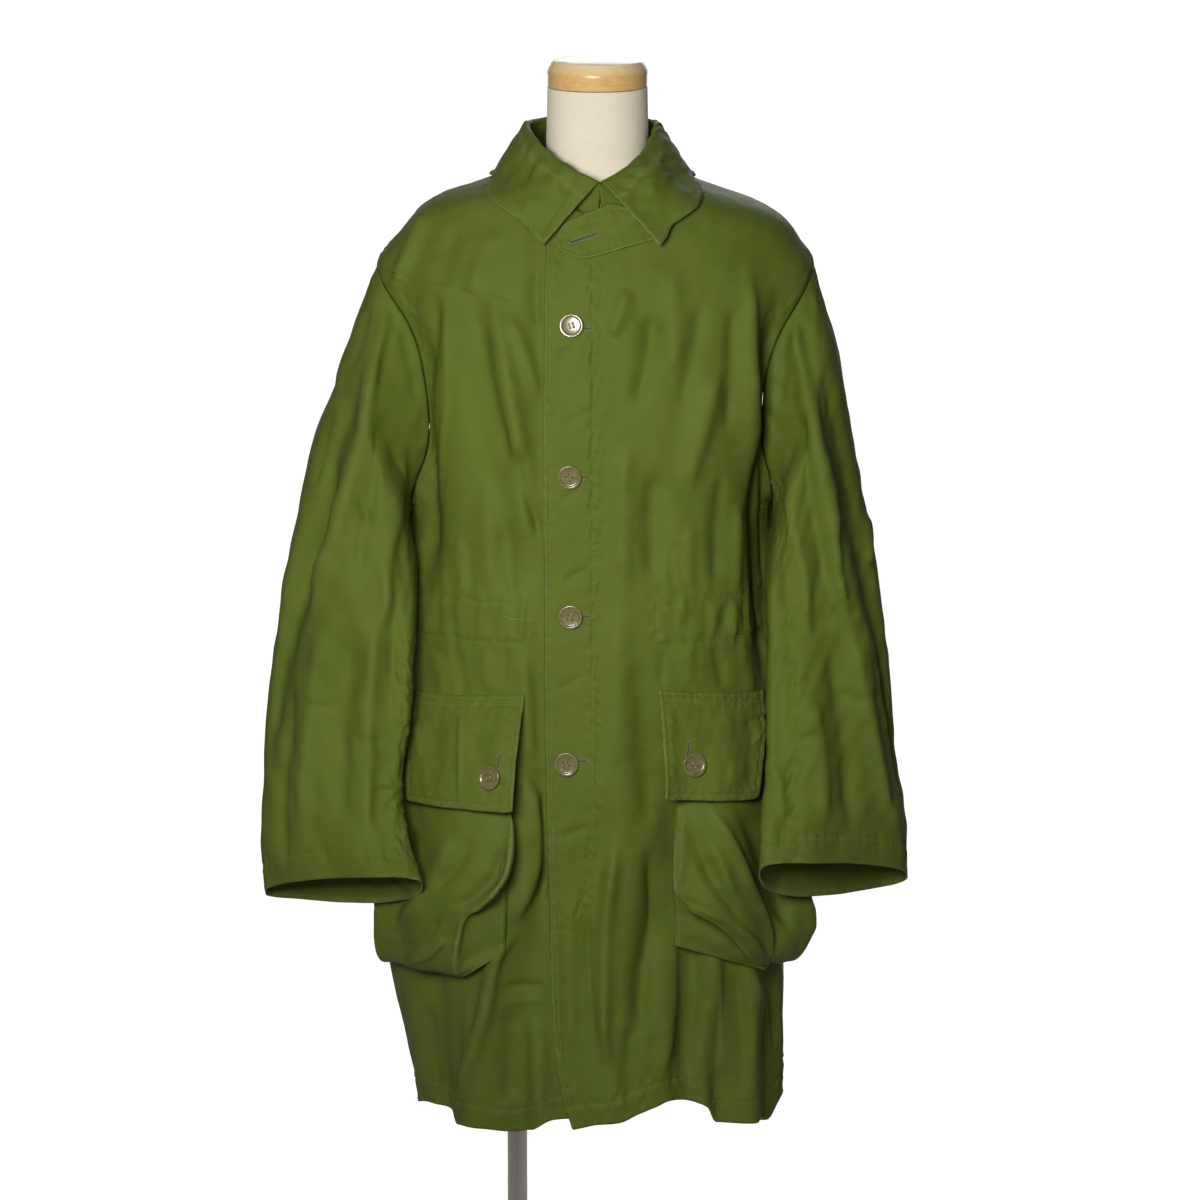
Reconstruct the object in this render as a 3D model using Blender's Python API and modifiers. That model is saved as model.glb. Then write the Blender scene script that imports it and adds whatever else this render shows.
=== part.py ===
"""A buttoned, thigh-length field coat of olive cotton on a limbless dress form.

Metres, +Z up. The coat faces -Y, so the wearer's left is at +X. The origin is at
the middle of the base's underside, straight below the neck.

The coat's body is one surface, given by level sections: at a height, the radius
around the upright axis at each turn from the front. Fronts and back are cut out
of that surface, the sleeves start at its armholes, and the pockets, flaps, tab
and buttons are moved out from it.
"""

import math
from collections import namedtuple

import bpy
import numpy as np
from mathutils import Matrix, Vector

# ---------------------------------------------------------------- driving sizes
CLOTH = 0.0018            # thickness of a garment wall
DOUBLE_CLOTH = 0.0024     # thickness of a flap or the tab, which is two layers
SEAM_GAP = 0.0003         # clearance between neighbouring pieces
SIDE_GAP = 0.0006         # width of the side seams between the edges of the cloth
SHOULDER_GAP = 0.0014     # and of the shoulder seams, where the cloth bends over a ridge
SLEEVE_GAP = 0.0030       # and of the seams between the two pieces of a sleeve
HEM_HEIGHT = 0.430        # hem above the floor
NECKLINE_FRONT = 1.364    # height of the neck seam at the centre front
NECKLINE_SIDE = 1.412     # and at the shoulder seam
NECKLINE_BACK = 1.418     # and at the centre back
ARMHOLE_TOP = 1.305       # height of the shoulder seam's outer end
ARMHOLE_LOW = 1.060       # height of the underarm point
ARMHOLE_TURN = 21.0       # degrees that an armhole reaches in front of the side line
ARMHOLE_STEPS = 10        # rows of cloth from the underarm to the shoulder
SIDE_TURN = 90.0          # turn of the side and shoulder seams
SQUARENESS = 2.4          # exponent of the body's level sections
TORSO_SQUARENESS = 2.25   # and of the padded torso's
SKIRT_ROWS = 14           # rows of cloth from the hem to the underarm
SHOULDER_ROWS = (1.330, 1.352, 1.370, 1.384, 1.398)   # heights of those over the armhole
FRONT_COLUMNS = 17
BACK_COLUMNS = 27
SLEEVE_RINGS = 17
SLEEVE_SEAM = 9           # column of a sleeve's front seam, counted from its outer edge
ARMHOLE_INSET = 0.0008    # clearance of a sleeve's first ring inside its armhole
ARMHOLE_RADIUS = 0.2      # distance of the armhole's ends from the axis
SLEEVE_START = (0.0, 0.012, 0.04)   # shares of its length at which a sleeve's rings start
SLEEVE_ROUND = (0.9, 0.75)   # exponents of a sleeve's section across and through
SLEEVE_CALM = 0.12        # share of its length in which a sleeve's folds start
FOLD_START = 0.35         # share of a body fold in which it reaches its depth
FOLD_END = 0.20           # and in which it runs out again
SLEEVE_FOLD_END = 0.30    # the same for both ends of a sleeve's fold
SHOULDER_FADE = 0.02      # height below the armhole's top in which the side gap widens
COLLAR_COLUMNS = 35
TORSO_STEPS = 28
TORSO_LOW_ROWS = (0.740, 0.760)     # heights of the torso's rings: its rounded foot,
TORSO_BODY_ROWS = (0.840, 1.325, 8)   # its body, from and to and how many,
TORSO_NECK_ROWS = (1.343, 1.418, 8)   # its shoulders in the same way,
TORSO_HIGH_ROWS = (1.440, 1.487)    # and its neck
ROLL_BEND = 0.0020        # inner radius of the collar's roll
LEAF_CLEAR = 0.0038       # clearance of the collar's leaves over the coat
TAB_CLEAR = 0.0020        # and what the tab under the left one adds to it
TAB_STEP = 0.0048         # how far the tab stands out where it crosses the collar's stand
TAB_STEP_HEIGHT = 1.350   # height at which that step starts
TAB_STEP_RUN = 0.016      # and the height in which it is reached
TAB_COLUMNS = 10
TAB_ROWS = 5
LEAF_OVER_TAB = 62.0      # turn of the leaf's edge within which it clears the tab
STAND_OVER_TAB = 50.0     # turn of the roll within which the collar clears the tab's step
OVER_TAB_RUN = 12.0       # degrees in which both clearances are reached
COLLAR_END = 1.5          # least turn of the collar's seam
LAP_TURN = 4.0            # turn of the under front's own edge, hidden by the lap
LAP_SLOPE = 9.0           # degrees in which the under front drops back beside the lap
LAP_RISE = 0.0100         # how much higher the under front's hem ends beneath the lap
LAP_RISE_TURN = -24.0     # turn at which that rise starts
LAP_RISE_SPREAD = 8.0     # and the degrees in which it is reached
HEM_FADE = 0.25           # share of a panel's height above which the hem's rise is gone
BUTTON_RADIUS = 0.0122
BUTTON_THICKNESS = 0.0036
NECK_OFFSET = -0.0026     # how far the form's neck stands to the wearer's right
NECK_LEAN = (1.36, 0.05)  # height at which the form starts to lean there, and its run
POLE_RADIUS = 0.0103
POLE_PLACE = (-0.0862, 0.015)
BASE_RADIUS = 0.185
BASE_THICKNESS = 0.012
BASE_FOOT_EDGE = 0.002    # rounding of the base's lower edge
BASE_TOP_EDGE = 0.003     # and of its upper one
FLANGE_HEIGHT = 0.020
# The pole's flange over the base, radius and height.
FLANGE_STEPS = ((0.030, 0.004), (0.018, 0.009))
FLANGE_RADIUS = 0.016     # of its collar around the pole

# ---------------------------------------------------------------- tables
# Level sections of the coat's body: how far it reaches to each side of the axis.
Section = namedtuple("Section", "height minus_x plus_x front back")
BODY = [
    Section(0.400, 0.185, 0.190, 0.173, 0.166),
    Section(0.430, 0.1845, 0.187, 0.172, 0.165),
    Section(0.500, 0.1975, 0.187, 0.169, 0.163),
    Section(0.560, 0.2115, 0.187, 0.166, 0.161),
    Section(0.620, 0.2195, 0.187, 0.163, 0.158),
    Section(0.700, 0.214, 0.190, 0.160, 0.154),
    Section(0.800, 0.210, 0.190, 0.156, 0.149),
    Section(0.900, 0.205, 0.187, 0.150, 0.143),
    Section(0.960, 0.202, 0.184, 0.147, 0.139),
    Section(1.060, 0.194, 0.178, 0.142, 0.134),
    Section(1.100, 0.195, 0.182, 0.140, 0.133),
    Section(1.150, 0.202, 0.192, 0.138, 0.131),
    Section(1.200, 0.212, 0.201, 0.133, 0.129),
    Section(1.250, 0.223, 0.210, 0.123, 0.125),
    Section(1.290, 0.2295, 0.2190, 0.113, 0.120),
    Section(1.305, 0.2275, 0.2185, 0.108, 0.118),
    Section(1.328, 0.2125, 0.2055, 0.098, 0.113),
    Section(1.350, 0.1945, 0.190, 0.089, 0.107),
    Section(1.366, 0.180, 0.1665, 0.082, 0.101),
    Section(1.378, 0.157, 0.133, 0.078, 0.096),
    Section(1.391, 0.115, 0.098, 0.074, 0.090),
    Section(1.406, 0.086, 0.076, 0.069, 0.083),
    Section(1.422, 0.074, 0.063, 0.063, 0.075),
    Section(1.440, 0.070, 0.060, 0.060, 0.070),
]

# Folds of the body: the turn and height of both ends, the half-width in degrees and
# the depth. A depth over zero is a ridge, and one under zero is a trough.
Fold = namedtuple("Fold", "high_turn high low_turn low spread depth")
BODY_FOLDS = [
    # wearer's right front
    Fold(-72.0, 1.360, -66.0, 0.960, 6.0, -0.0150),
    Fold(-59.0, 1.330, -30.0, 0.960, 6.0, -0.0050),
    Fold(-45.0, 1.320, -24.0, 1.020, 5.0, 0.0050),
    Fold(-31.0, 0.800, -47.0, 0.300, 5.5, 0.0130),
    Fold(-22.0, 0.760, -30.0, 0.300, 4.5, -0.0100),
    Fold(-54.0, 0.760, -58.0, 0.300, 4.5, -0.0080),
    Fold(-80.0, 0.800, -74.0, 0.300, 8.0, 0.0060),
    # wearer's left front
    Fold(68.0, 1.360, 67.0, 0.860, 6.0, -0.0190),
    Fold(10.0, 1.150, 4.0, 0.300, 6.5, 0.0050),
    Fold(27.0, 0.900, 33.0, 0.300, 7.5, -0.0160),
    Fold(44.0, 0.640, 43.0, 0.300, 4.5, -0.0140),
    Fold(54.0, 0.700, 52.0, 0.300, 4.5, 0.0110),
    Fold(66.0, 0.700, 64.0, 0.300, 3.5, -0.0070),
    Fold(74.0, 0.780, 76.0, 0.300, 5.0, 0.0060),
    # back
    Fold(112.0, 1.300, 118.0, 0.900, 8.0, -0.0140),
    Fold(-112.0, 1.310, -117.0, 0.880, 8.0, -0.0150),
    Fold(142.0, 1.180, 152.0, 0.300, 9.0, 0.0060),
    Fold(-150.0, 1.120, -142.0, 0.300, 9.0, 0.0070),
    Fold(128.0, 0.860, 126.0, 0.300, 7.0, -0.0130),
    Fold(-127.0, 0.920, -124.0, 0.300, 7.0, -0.0120),
    Fold(170.0, 0.800, 172.0, 0.300, 8.0, -0.0110),
    Fold(-165.0, 0.700, -166.0, 0.300, 7.0, 0.0080),
    Fold(106.0, 0.700, 108.0, 0.300, 7.0, 0.0100),
    Fold(-106.0, 0.720, -104.0, 0.300, 7.0, 0.0110),
]

# The edge of the over front: how far it lies to the wearer's right of the axis, and
# how far the under front stands back from it.
Edge = namedtuple("Edge", "height minus_x stand_off")
OVER_EDGE = [
    Edge(0.400, 0.022, 0.0060),
    Edge(0.433, 0.029, 0.0065),
    Edge(0.455, 0.037, 0.0070),
    Edge(0.490, 0.044, 0.0080),
    Edge(0.560, 0.050, 0.0090),
    Edge(0.700, 0.054, 0.0110),
    Edge(0.820, 0.057, 0.0090),
    Edge(0.950, 0.058, 0.0045),
    Edge(1.180, 0.059, 0.0040),
    Edge(1.380, 0.061, 0.0035),
]

# How far the hem rises above its usual height, by turn from the front.
Rise = namedtuple("Rise", "turn rise")
HEM_RISE = [
    Rise(-180.0, 0.004), Rise(-140.0, 0.000), Rise(-105.0, 0.002), Rise(-92.0, 0.001),
    Rise(-80.0, 0.003), Rise(-68.0, 0.0114), Rise(-60.0, 0.0125), Rise(-56.0, 0.0105),
    Rise(-51.0, 0.000), Rise(-44.0, 0.0035), Rise(-38.0, 0.0020), Rise(-30.0, -0.0005),
    Rise(-24.0, 0.0030), Rise(-16.0, 0.0050), Rise(-9.0, 0.0064), Rise(-1.0, 0.0118),
    Rise(7.0, 0.0145), Rise(12.0, 0.0205), Rise(19.0, 0.0285), Rise(24.0, 0.0330),
    Rise(31.0, 0.0306), Rise(35.0, 0.0270), Rise(39.0, 0.0200), Rise(43.0, 0.0030),
    Rise(48.0, 0.0020), Rise(56.0, 0.0005), Rise(62.0, -0.004), Rise(67.0, -0.0075),
    Rise(71.0, 0.0060), Rise(75.0, 0.0140), Rise(79.0, 0.0120), Rise(88.0, 0.0064),
    Rise(108.0, 0.004), Rise(150.0, 0.000), Rise(180.0, 0.004),
]

# Sleeves as stations from the armhole to the cuff. Outer and inner are the two edges
# of the flattened tube as seen from the front, and depth is half its thickness.
Station = namedtuple("Station", "outer inner depth")
SLEEVE_RIGHT = [
    Station((-0.2455, -0.008, 1.2580), (-0.1985, -0.012, 1.0450), 0.074),
    Station((-0.2630, -0.012, 1.2080), (-0.1945, -0.056, 1.0150), 0.070),
    Station((-0.2960, -0.024, 1.1150), (-0.1915, -0.086, 0.9800), 0.058),
    Station((-0.3195, -0.040, 1.0000), (-0.1885, -0.110, 0.9250), 0.048),
    Station((-0.3375, -0.055, 0.9000), (-0.1920, -0.124, 0.8600), 0.042),
    Station((-0.3448, -0.072, 0.7900), (-0.2015, -0.132, 0.7800), 0.038),
    Station((-0.3470, -0.084, 0.7240), (-0.1930, -0.154, 0.7340), 0.035),
    Station((-0.3442, -0.090, 0.6650), (-0.1800, -0.174, 0.6920), 0.034),
]
SLEEVE_LEFT = [
    Station((0.2312, -0.008, 1.2600), (0.1815, -0.012, 1.0450), 0.072),
    Station((0.2442, -0.012, 1.2160), (0.1770, -0.058, 1.0150), 0.068),
    Station((0.2607, -0.024, 1.1180), (0.1740, -0.088, 0.9800), 0.058),
    Station((0.2812, -0.040, 1.0100), (0.1700, -0.112, 0.9250), 0.049),
    Station((0.2943, -0.055, 0.9150), (0.1690, -0.128, 0.8650), 0.043),
    Station((0.3060, -0.070, 0.7900), (0.1680, -0.146, 0.7950), 0.038),
    Station((0.3130, -0.078, 0.7340), (0.1620, -0.172, 0.7490), 0.036),
    Station((0.3158, -0.086, 0.6820), (0.1600, -0.188, 0.7090), 0.035),
]
# How much higher than its middle the front of a cuff ends, and how much lower the back.
Drop = namedtuple("Drop", "front back")
CUFF_RIGHT = Drop(0.020, 0.021)
CUFF_LEFT = Drop(0.020, 0.029)
CUFF_SLANT = 0.38         # share by which the back drops more at the inner side

# Folds of a sleeve: turn around the tube (0 at the outer edge, 90 at the front, 180 at
# the inner edge) and share of its length at both ends, half-width and depth.
SleeveFold = namedtuple("SleeveFold", "start_turn start end_turn end spread depth")
FOLDS_RIGHT = [
    SleeveFold(92.0, -0.20, 76.0, 0.66, 20.0, 0.0110),
    SleeveFold(62.0, 0.10, 22.0, 0.85, 17.0, -0.0080),
    SleeveFold(130.0, 0.05, 138.0, 0.95, 20.0, -0.0060),
    SleeveFold(106.0, 0.55, 112.0, 1.30, 16.0, 0.0050),
    SleeveFold(250.0, 0.05, 262.0, 0.80, 20.0, -0.0090),
    SleeveFold(292.0, 0.20, 300.0, 1.30, 20.0, 0.0070),
    SleeveFold(222.0, 0.35, 226.0, 1.30, 16.0, 0.0050),
]
FOLDS_LEFT = [
    SleeveFold(108.0, -0.20, 24.0, 1.10, 18.0, 0.0110),
    SleeveFold(76.0, 0.05, 8.0, 0.95, 15.0, -0.0080),
    SleeveFold(142.0, 0.05, 128.0, 1.00, 18.0, -0.0070),
    SleeveFold(118.0, 0.45, 96.0, 1.30, 15.0, 0.0060),
    SleeveFold(254.0, 0.05, 268.0, 0.75, 20.0, -0.0090),
    SleeveFold(296.0, 0.25, 302.0, 1.30, 20.0, 0.0070),
    SleeveFold(228.0, 0.30, 220.0, 1.30, 16.0, 0.0050),
]

# The collar from the centre back (0) to its front end (1). The roll is its top line,
# and the edge is the free edge of the leaf. Turns are degrees away from the front.
Collar = namedtuple(
    "Collar", "along roll_turn roll_minus roll_plus roll_height "
    "edge_turn edge_minus edge_plus edge_height")
COLLAR = [
    Collar(0.00, 180.0, 0.079, 0.079, 1.446, 180.0, 0.108, 0.108, 1.378),
    Collar(0.20, 140.0, 0.079, 0.072, 1.446, 142.0, 0.110, 0.104, 1.380),
    Collar(0.40, 104.0, 0.0765, 0.0600, 1.447, 106.0, 0.109, 0.095, 1.392),
    Collar(0.52, 84.0, 0.0742, 0.0568, 1.444, 86.0, 0.1092, 0.0935, 1.3960),
    Collar(0.64, 64.0, 0.0735, 0.0590, 1.436, 72.0, 0.109, 0.0975, 1.3880),
    Collar(0.80, 34.0, 0.076, 0.068, 1.419, 50.0, 0.115, 0.110, 1.368),
    Collar(1.00, 0.9, 0.084, 0.084, 1.3985, 29.0, 0.117, 0.123, 1.338),
]
# The collar's section from its seam over the roll to its free edge: the shares of those
# three lines, and how far it lies outward and up from them, in radii of the roll.
Bend = namedtuple("Bend", "seam roll edge outward up")
COLLAR_BENDS = [
    Bend(1.00, 0.00, 0.00, 0.00, 0.00),
    Bend(0.62, 0.38, 0.00, -0.38, 0.00),
    Bend(0.22, 0.78, 0.00, -0.78, -0.40),
    Bend(0.00, 1.00, 0.00, -0.90, -0.50),
    Bend(0.00, 1.00, 0.00, 0.10, 0.25),
    Bend(0.00, 1.00, 0.00, 1.10, -0.60),
    Bend(0.00, 0.74, 0.26, 0.90, 0.00),
    Bend(0.00, 0.48, 0.52, 0.90, 0.00),
    Bend(0.00, 0.22, 0.78, 0.50, 0.00),
    Bend(0.00, 0.00, 1.00, 0.00, 0.00),
]
STAND_BENDS = 5           # how many of these are the stand and the roll

# Pocket pouches from the mouth down. Inner and outer are the edges of the front face
# as x, stand_off is how far that face stands out from the coat, and sag lowers it.
Pouch = namedtuple("Pouch", "height inner outer stand_off sag")
POUCH_RIGHT = [
    Pouch(0.864, -0.090, -0.192, 0.0050, 0.000),
    Pouch(0.820, -0.090, -0.208, 0.0140, 0.000),
    Pouch(0.770, -0.089, -0.222, 0.0240, 0.000),
    Pouch(0.720, -0.092, -0.229, 0.0330, 0.002),
    Pouch(0.690, -0.108, -0.231, 0.0390, 0.004),
    Pouch(0.668, -0.136, -0.232, 0.0440, 0.008),
    Pouch(0.648, -0.146, -0.232, 0.0450, 0.015),
    Pouch(0.634, -0.148, -0.230, 0.0390, 0.025),
    Pouch(0.625, -0.146, -0.223, 0.0240, 0.031),
    Pouch(0.620, -0.143, -0.214, 0.0090, 0.029),
]
POUCH_LEFT = [
    Pouch(0.864, 0.076, 0.172, 0.0050, 0.000),
    Pouch(0.820, 0.078, 0.184, 0.0140, 0.000),
    Pouch(0.770, 0.080, 0.208, 0.0240, 0.000),
    Pouch(0.720, 0.076, 0.217, 0.0350, 0.004),
    Pouch(0.694, 0.076, 0.2145, 0.0400, 0.008),
    Pouch(0.674, 0.102, 0.2170, 0.0420, 0.010),
    Pouch(0.654, 0.131, 0.2225, 0.0430, 0.015),
    Pouch(0.638, 0.150, 0.2130, 0.0400, 0.024),
    Pouch(0.628, 0.160, 0.2020, 0.0240, 0.032),
    Pouch(0.624, 0.164, 0.1930, 0.0090, 0.034),
]
# Turns at which the gussets are sewn to the coat: at the centre side and at the far side.
ATTACH_RIGHT = (-31.0, -84.0)
ATTACH_LEFT = (27.0, 86.0)

POUCH_ROWS = 17
POUCH_COLUMNS = 7
POUCH_FOOT = 0.060        # height over the pocket's foot at which its edge starts to lift
POUCH_FOOT_RUN = 0.040    # and the height in which it does
POUCH_SIDE = 0.93         # share of the body's half-width that a pocket's face follows
POUCH_EDGE = 0.85         # fullness of the pocket's face at its edges
POUCH_BELLY = 0.35        # and what is added to it in the middle
POUCH_TUCK = 0.12         # share by which its far edge turns back to the coat
# The gusset's fold: its share of the way from the seam to the face, how far it stands
# out to the side at the most and as a share of the pocket's depth.
GUSSET_INNER = 0.45
GUSSET_OUTER = 0.50
GUSSET_BULGE = 0.012
GUSSET_SHARE = 0.30
GUSSET_OUTER_BULGE = 0.002

# Corners of the flaps and the tab as seen from the front, x and height.
Flap = namedtuple("Flap", "top_inner top_outer low_inner low_outer")
FLAP_RIGHT = Flap((-0.0755, 0.8850), (-0.186, 0.8760), (-0.0780, 0.7700), (-0.180, 0.7680))
FLAP_LEFT = Flap((0.0585, 0.8900), (0.166, 0.8780), (0.0580, 0.7820), (0.145, 0.7740))
POCKET_CLEAR = 0.0036     # outer face of a pocket's sewn edge over the coat
POCKET_LOW_CLEAR = 0.0052  # what is added to it at the pocket's foot
FLAP_LIFT = 0.0360        # how far a flap's lower edge stands out over its pocket
FLAP_EASE = 0.35          # share of that lift that is lost at the far side
FLAP_CURL = 1.6           # exponent of the flap's curve outwards on the way down
FLAP_ROWS = 9
FLAP_COLUMNS = 11
TAB_UPPER = [(-0.0461, 1.3440), (-0.0338, 1.3615), (0.0123, 1.3800), (0.0550, 1.3660)]
TAB_LOWER = [(-0.0410, 1.3325), (-0.0154, 1.3240), (0.0200, 1.3340), (0.0563, 1.3440)]

FRONT_BUTTONS = [(-0.0288, 1.2590), (-0.0309, 1.1070), (-0.0299, 0.9645), (-0.0341, 0.8140)]
# Place of each flap's button: share of the way across from the centre side, and down.
FLAP_BUTTONS = {"right": (0.22, 0.70), "left": (0.30, 0.66)}

# The padded torso: height, half-width, and reach to the front and back.
Ring = namedtuple("Ring", "height side front back")
TORSO = [
    Ring(0.740, 0.145, 0.100, 0.100),
    Ring(0.760, 0.158, 0.112, 0.112),
    Ring(0.840, 0.160, 0.116, 0.116),
    Ring(0.980, 0.138, 0.102, 0.094),
    Ring(1.100, 0.148, 0.112, 0.102),
    Ring(1.200, 0.156, 0.114, 0.108),
    Ring(1.280, 0.162, 0.100, 0.104),
    Ring(1.325, 0.166, 0.086, 0.098),
    Ring(1.350, 0.166, 0.076, 0.090),
    Ring(1.364, 0.158, 0.070, 0.084),
    Ring(1.376, 0.126, 0.066, 0.078),
    Ring(1.387, 0.092, 0.062, 0.072),
    Ring(1.400, 0.068, 0.057, 0.064),
    Ring(1.418, 0.0530, 0.0525, 0.0550),
    Ring(1.440, 0.0520, 0.0520, 0.0530),
    Ring(1.4870, 0.0510, 0.0510, 0.0510),
]
# The turned neck cap's profile, radius and height, from the underside to the top.
CAP_PROFILE = [
    (0.0000, 1.4873), (0.0490, 1.4873), (0.0506, 1.4888), (0.0508, 1.5000),
    (0.0512, 1.5020), (0.0508, 1.5045), (0.0462, 1.5130), (0.0448, 1.5142), (0.0000, 1.5150),
]
BUTTON_PROFILE = [
    (0.0000, 0.0), (0.0105, 0.0), (0.0122, 0.0016), (0.0113, 0.0035), (0.0098, 0.0034),
    (0.0088, 0.0026), (0.0000, 0.0022),
]


# ---------------------------------------------------------------- curves through rows
def through(places, values, at):
    """Values on a smooth curve through the rows that never overshoots them."""
    places = np.asarray(places, float)
    values = np.asarray(values, float)
    at = np.clip(np.asarray(at, float), places[0], places[-1])
    step = np.diff(places)
    slope = np.diff(values) / step
    before, after = slope[:-1], slope[1:]
    same_way = before * after > 0
    inner = np.where(same_way, 2 * before * after / np.where(same_way, before + after, 1), 0)
    tangent = np.concatenate([[slope[0]], inner, [slope[-1]]])
    i = np.clip(np.searchsorted(places, at, side="right") - 1, 0, len(step) - 1)
    f = (at - places[i]) / step[i]
    return (values[i] * (1 + 2 * f) * (1 - f) ** 2 + tangent[i] * step[i] * f * (1 - f) ** 2
            + values[i + 1] * f ** 2 * (3 - 2 * f) - tangent[i + 1] * step[i] * f ** 2 * (1 - f))


def column(rows, name, at, key="height"):
    """One named column of a table, at any place between its rows."""
    return through([getattr(row, key) for row in rows],
                   [getattr(row, name) for row in rows], at)


def ease(value):
    """A smooth step from 0 to 1 as the value goes from 0 to 1."""
    value = np.clip(value, 0.0, 1.0)
    return value * value * (3 - 2 * value)


# ---------------------------------------------------------------- the body's surface
def fold_depth(turn, height):
    """How far the folds move the body's surface out."""
    depth = np.zeros(np.broadcast(turn, height).shape)
    for fold in BODY_FOLDS:
        share = (fold.high - height) / (fold.high - fold.low)
        middle = fold.high_turn + (fold.low_turn - fold.high_turn) * share
        away = (turn - middle + 180.0) % 360.0 - 180.0
        window = ease(share / FOLD_START) * ease((1 - share) / FOLD_END)
        depth += fold.depth * window * np.exp(-(away / fold.spread) ** 2)
    return depth


def body_point(turn, height, out=0.0):
    """Points of the coat's body at turns from the front and heights, moved out."""
    turn, height = np.broadcast_arrays(np.asarray(turn, float), np.asarray(height, float))
    across = np.sin(np.radians(turn))
    along = -np.cos(np.radians(turn))
    side = np.where(across < 0, column(BODY, "minus_x", height), column(BODY, "plus_x", height))
    depth = np.where(along < 0, column(BODY, "front", height), column(BODY, "back", height))
    radius = ((np.abs(across) / side) ** SQUARENESS
              + (np.abs(along) / depth) ** SQUARENESS) ** (-1 / SQUARENESS)
    x, y = radius * across, radius * along
    normal = np.stack([x / side ** 2, y / depth ** 2], axis=-1)
    normal /= np.linalg.norm(normal, axis=-1, keepdims=True)
    move = fold_depth(turn, height) + out
    return np.stack([x + normal[..., 0] * move, y + normal[..., 1] * move, height], axis=-1)


def turn_at(x, height):
    """The turn at which the front of the body's section reaches x."""
    x, height = np.broadcast_arrays(np.asarray(x, float), np.asarray(height, float))
    side = np.where(x < 0, column(BODY, "minus_x", height), column(BODY, "plus_x", height))
    share = np.clip(np.abs(x) / side, 0.0, 0.999)
    y = column(BODY, "front", height) * (1 - share ** SQUARENESS) ** (1 / SQUARENESS)
    return np.degrees(np.arctan2(x, y))


def armhole_reach(height):
    """Degrees that the armhole reaches away from the side line at a height."""
    middle = (ARMHOLE_TOP + ARMHOLE_LOW) / 2
    half = (ARMHOLE_TOP - ARMHOLE_LOW) / 2
    share = np.clip(1 - ((height - middle) / half) ** 2, 0.0, None)
    return ARMHOLE_TURN * np.sqrt(share)


def half_gap(height):
    """Degrees between the side or shoulder seam's middle and the edge of a panel."""
    widening = ease((height - ARMHOLE_TOP) / SHOULDER_FADE + 1)
    width = SIDE_GAP + (SHOULDER_GAP - SIDE_GAP) * widening
    return np.degrees(width / 2 / column(BODY, "plus_x", height))


def hem_height(turn):
    """Height of the hem at a turn from the front."""
    turn = (np.asarray(turn, float) + 180.0) % 360.0 - 180.0
    return HEM_HEIGHT + column(HEM_RISE, "rise", turn, "turn")


def neck_height(turn):
    """Height of the neck seam at a turn from the front."""
    turn = np.abs(np.asarray(turn, float))
    front = (NECKLINE_SIDE - NECKLINE_FRONT) * ease(turn / SIDE_TURN) ** 0.8
    behind = (NECKLINE_BACK - NECKLINE_SIDE) * ease(turn / SIDE_TURN - 1)
    return NECKLINE_FRONT + front + behind


def panel_heights(turn, shares, top, lap_rise=0.0):
    """Heights of a panel's rows: shares of the way from the hem to its top edge.

    The hem's rise fades out on the way up.
    """
    lap = lap_rise * ease((turn - LAP_RISE_TURN) / LAP_RISE_SPREAD)
    fade = 1 - ease(shares / HEM_FADE)
    level = HEM_HEIGHT + shares[:, None] * (top - HEM_HEIGHT)
    return level + (hem_height(turn) - HEM_HEIGHT + lap) * fade[:, None]


def row_shares():
    """Shares of the way from the hem to the neck seam at which a panel has its rows."""
    middle = (ARMHOLE_TOP + ARMHOLE_LOW) / 2
    half = (ARMHOLE_TOP - ARMHOLE_LOW) / 2
    skirt = list(np.linspace(HEM_HEIGHT, ARMHOLE_LOW, SKIRT_ROWS + 1)[:-1])
    arm = [middle - half * math.cos(math.pi * k / ARMHOLE_STEPS)
           for k in range(ARMHOLE_STEPS + 1)]
    heights = np.array([*skirt, *arm, *SHOULDER_ROWS, NECKLINE_SIDE])
    return (heights - HEM_HEIGHT) / (NECKLINE_SIDE - HEM_HEIGHT)


# ---------------------------------------------------------------- meshes
def material(name, colour, roughness, metallic=0.0):
    """A Principled material."""
    made = bpy.data.materials.new(name)
    made.use_nodes = True
    shader = made.node_tree.nodes["Principled BSDF"]
    shader.inputs["Base Color"].default_value = (*colour, 1.0)
    shader.inputs["Roughness"].default_value = roughness
    shader.inputs["Metallic"].default_value = metallic
    return made


def new_object(name, mesh, finish, group):
    """An object of the mesh with its material, in the coat's collection."""
    made = bpy.data.objects.new(name, mesh)
    mesh.materials.append(finish)
    group.objects.link(made)
    return made


def sheet(name, grid, finish, group, thickness=CLOTH):
    """A cloth piece: the open surface through a grid of points, thickened inwards.

    The grid's rows run along the piece and its columns across it.
    """
    rows, columns = grid.shape[:2]
    points = grid.reshape(-1, 3).tolist()
    faces = []
    for r in range(rows - 1):
        for c in range(r * columns, (r + 1) * columns - 1):
            faces.append((c, c + 1, c + columns + 1, c + columns))
    mesh = bpy.data.meshes.new(name)
    mesh.from_pydata(points, [], faces)
    mesh.shade_smooth()
    made = new_object(name, mesh, finish, group)
    wall = made.modifiers.new("wall", "SOLIDIFY")
    wall.thickness = thickness
    wall.offset = -1.0
    wall.use_rim = True
    return made


def turned(name, profile, finish, group, steps=32):
    """A solid turned about its own Z axis from a profile of radius and height."""
    mesh = bpy.data.meshes.new(name)
    outline = [(radius, 0.0, height) for radius, height in reversed(profile)]
    edges = [(i, i + 1) for i in range(len(outline) - 1)]
    mesh.from_pydata(outline, edges, [])
    made = new_object(name, mesh, finish, group)
    spin = made.modifiers.new("turn", "SCREW")
    spin.axis = "Z"
    spin.steps = steps
    spin.render_steps = steps
    spin.use_merge_vertices = True
    spin.merge_threshold = 0.00001
    spin.use_smooth_shade = True
    return made


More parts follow.
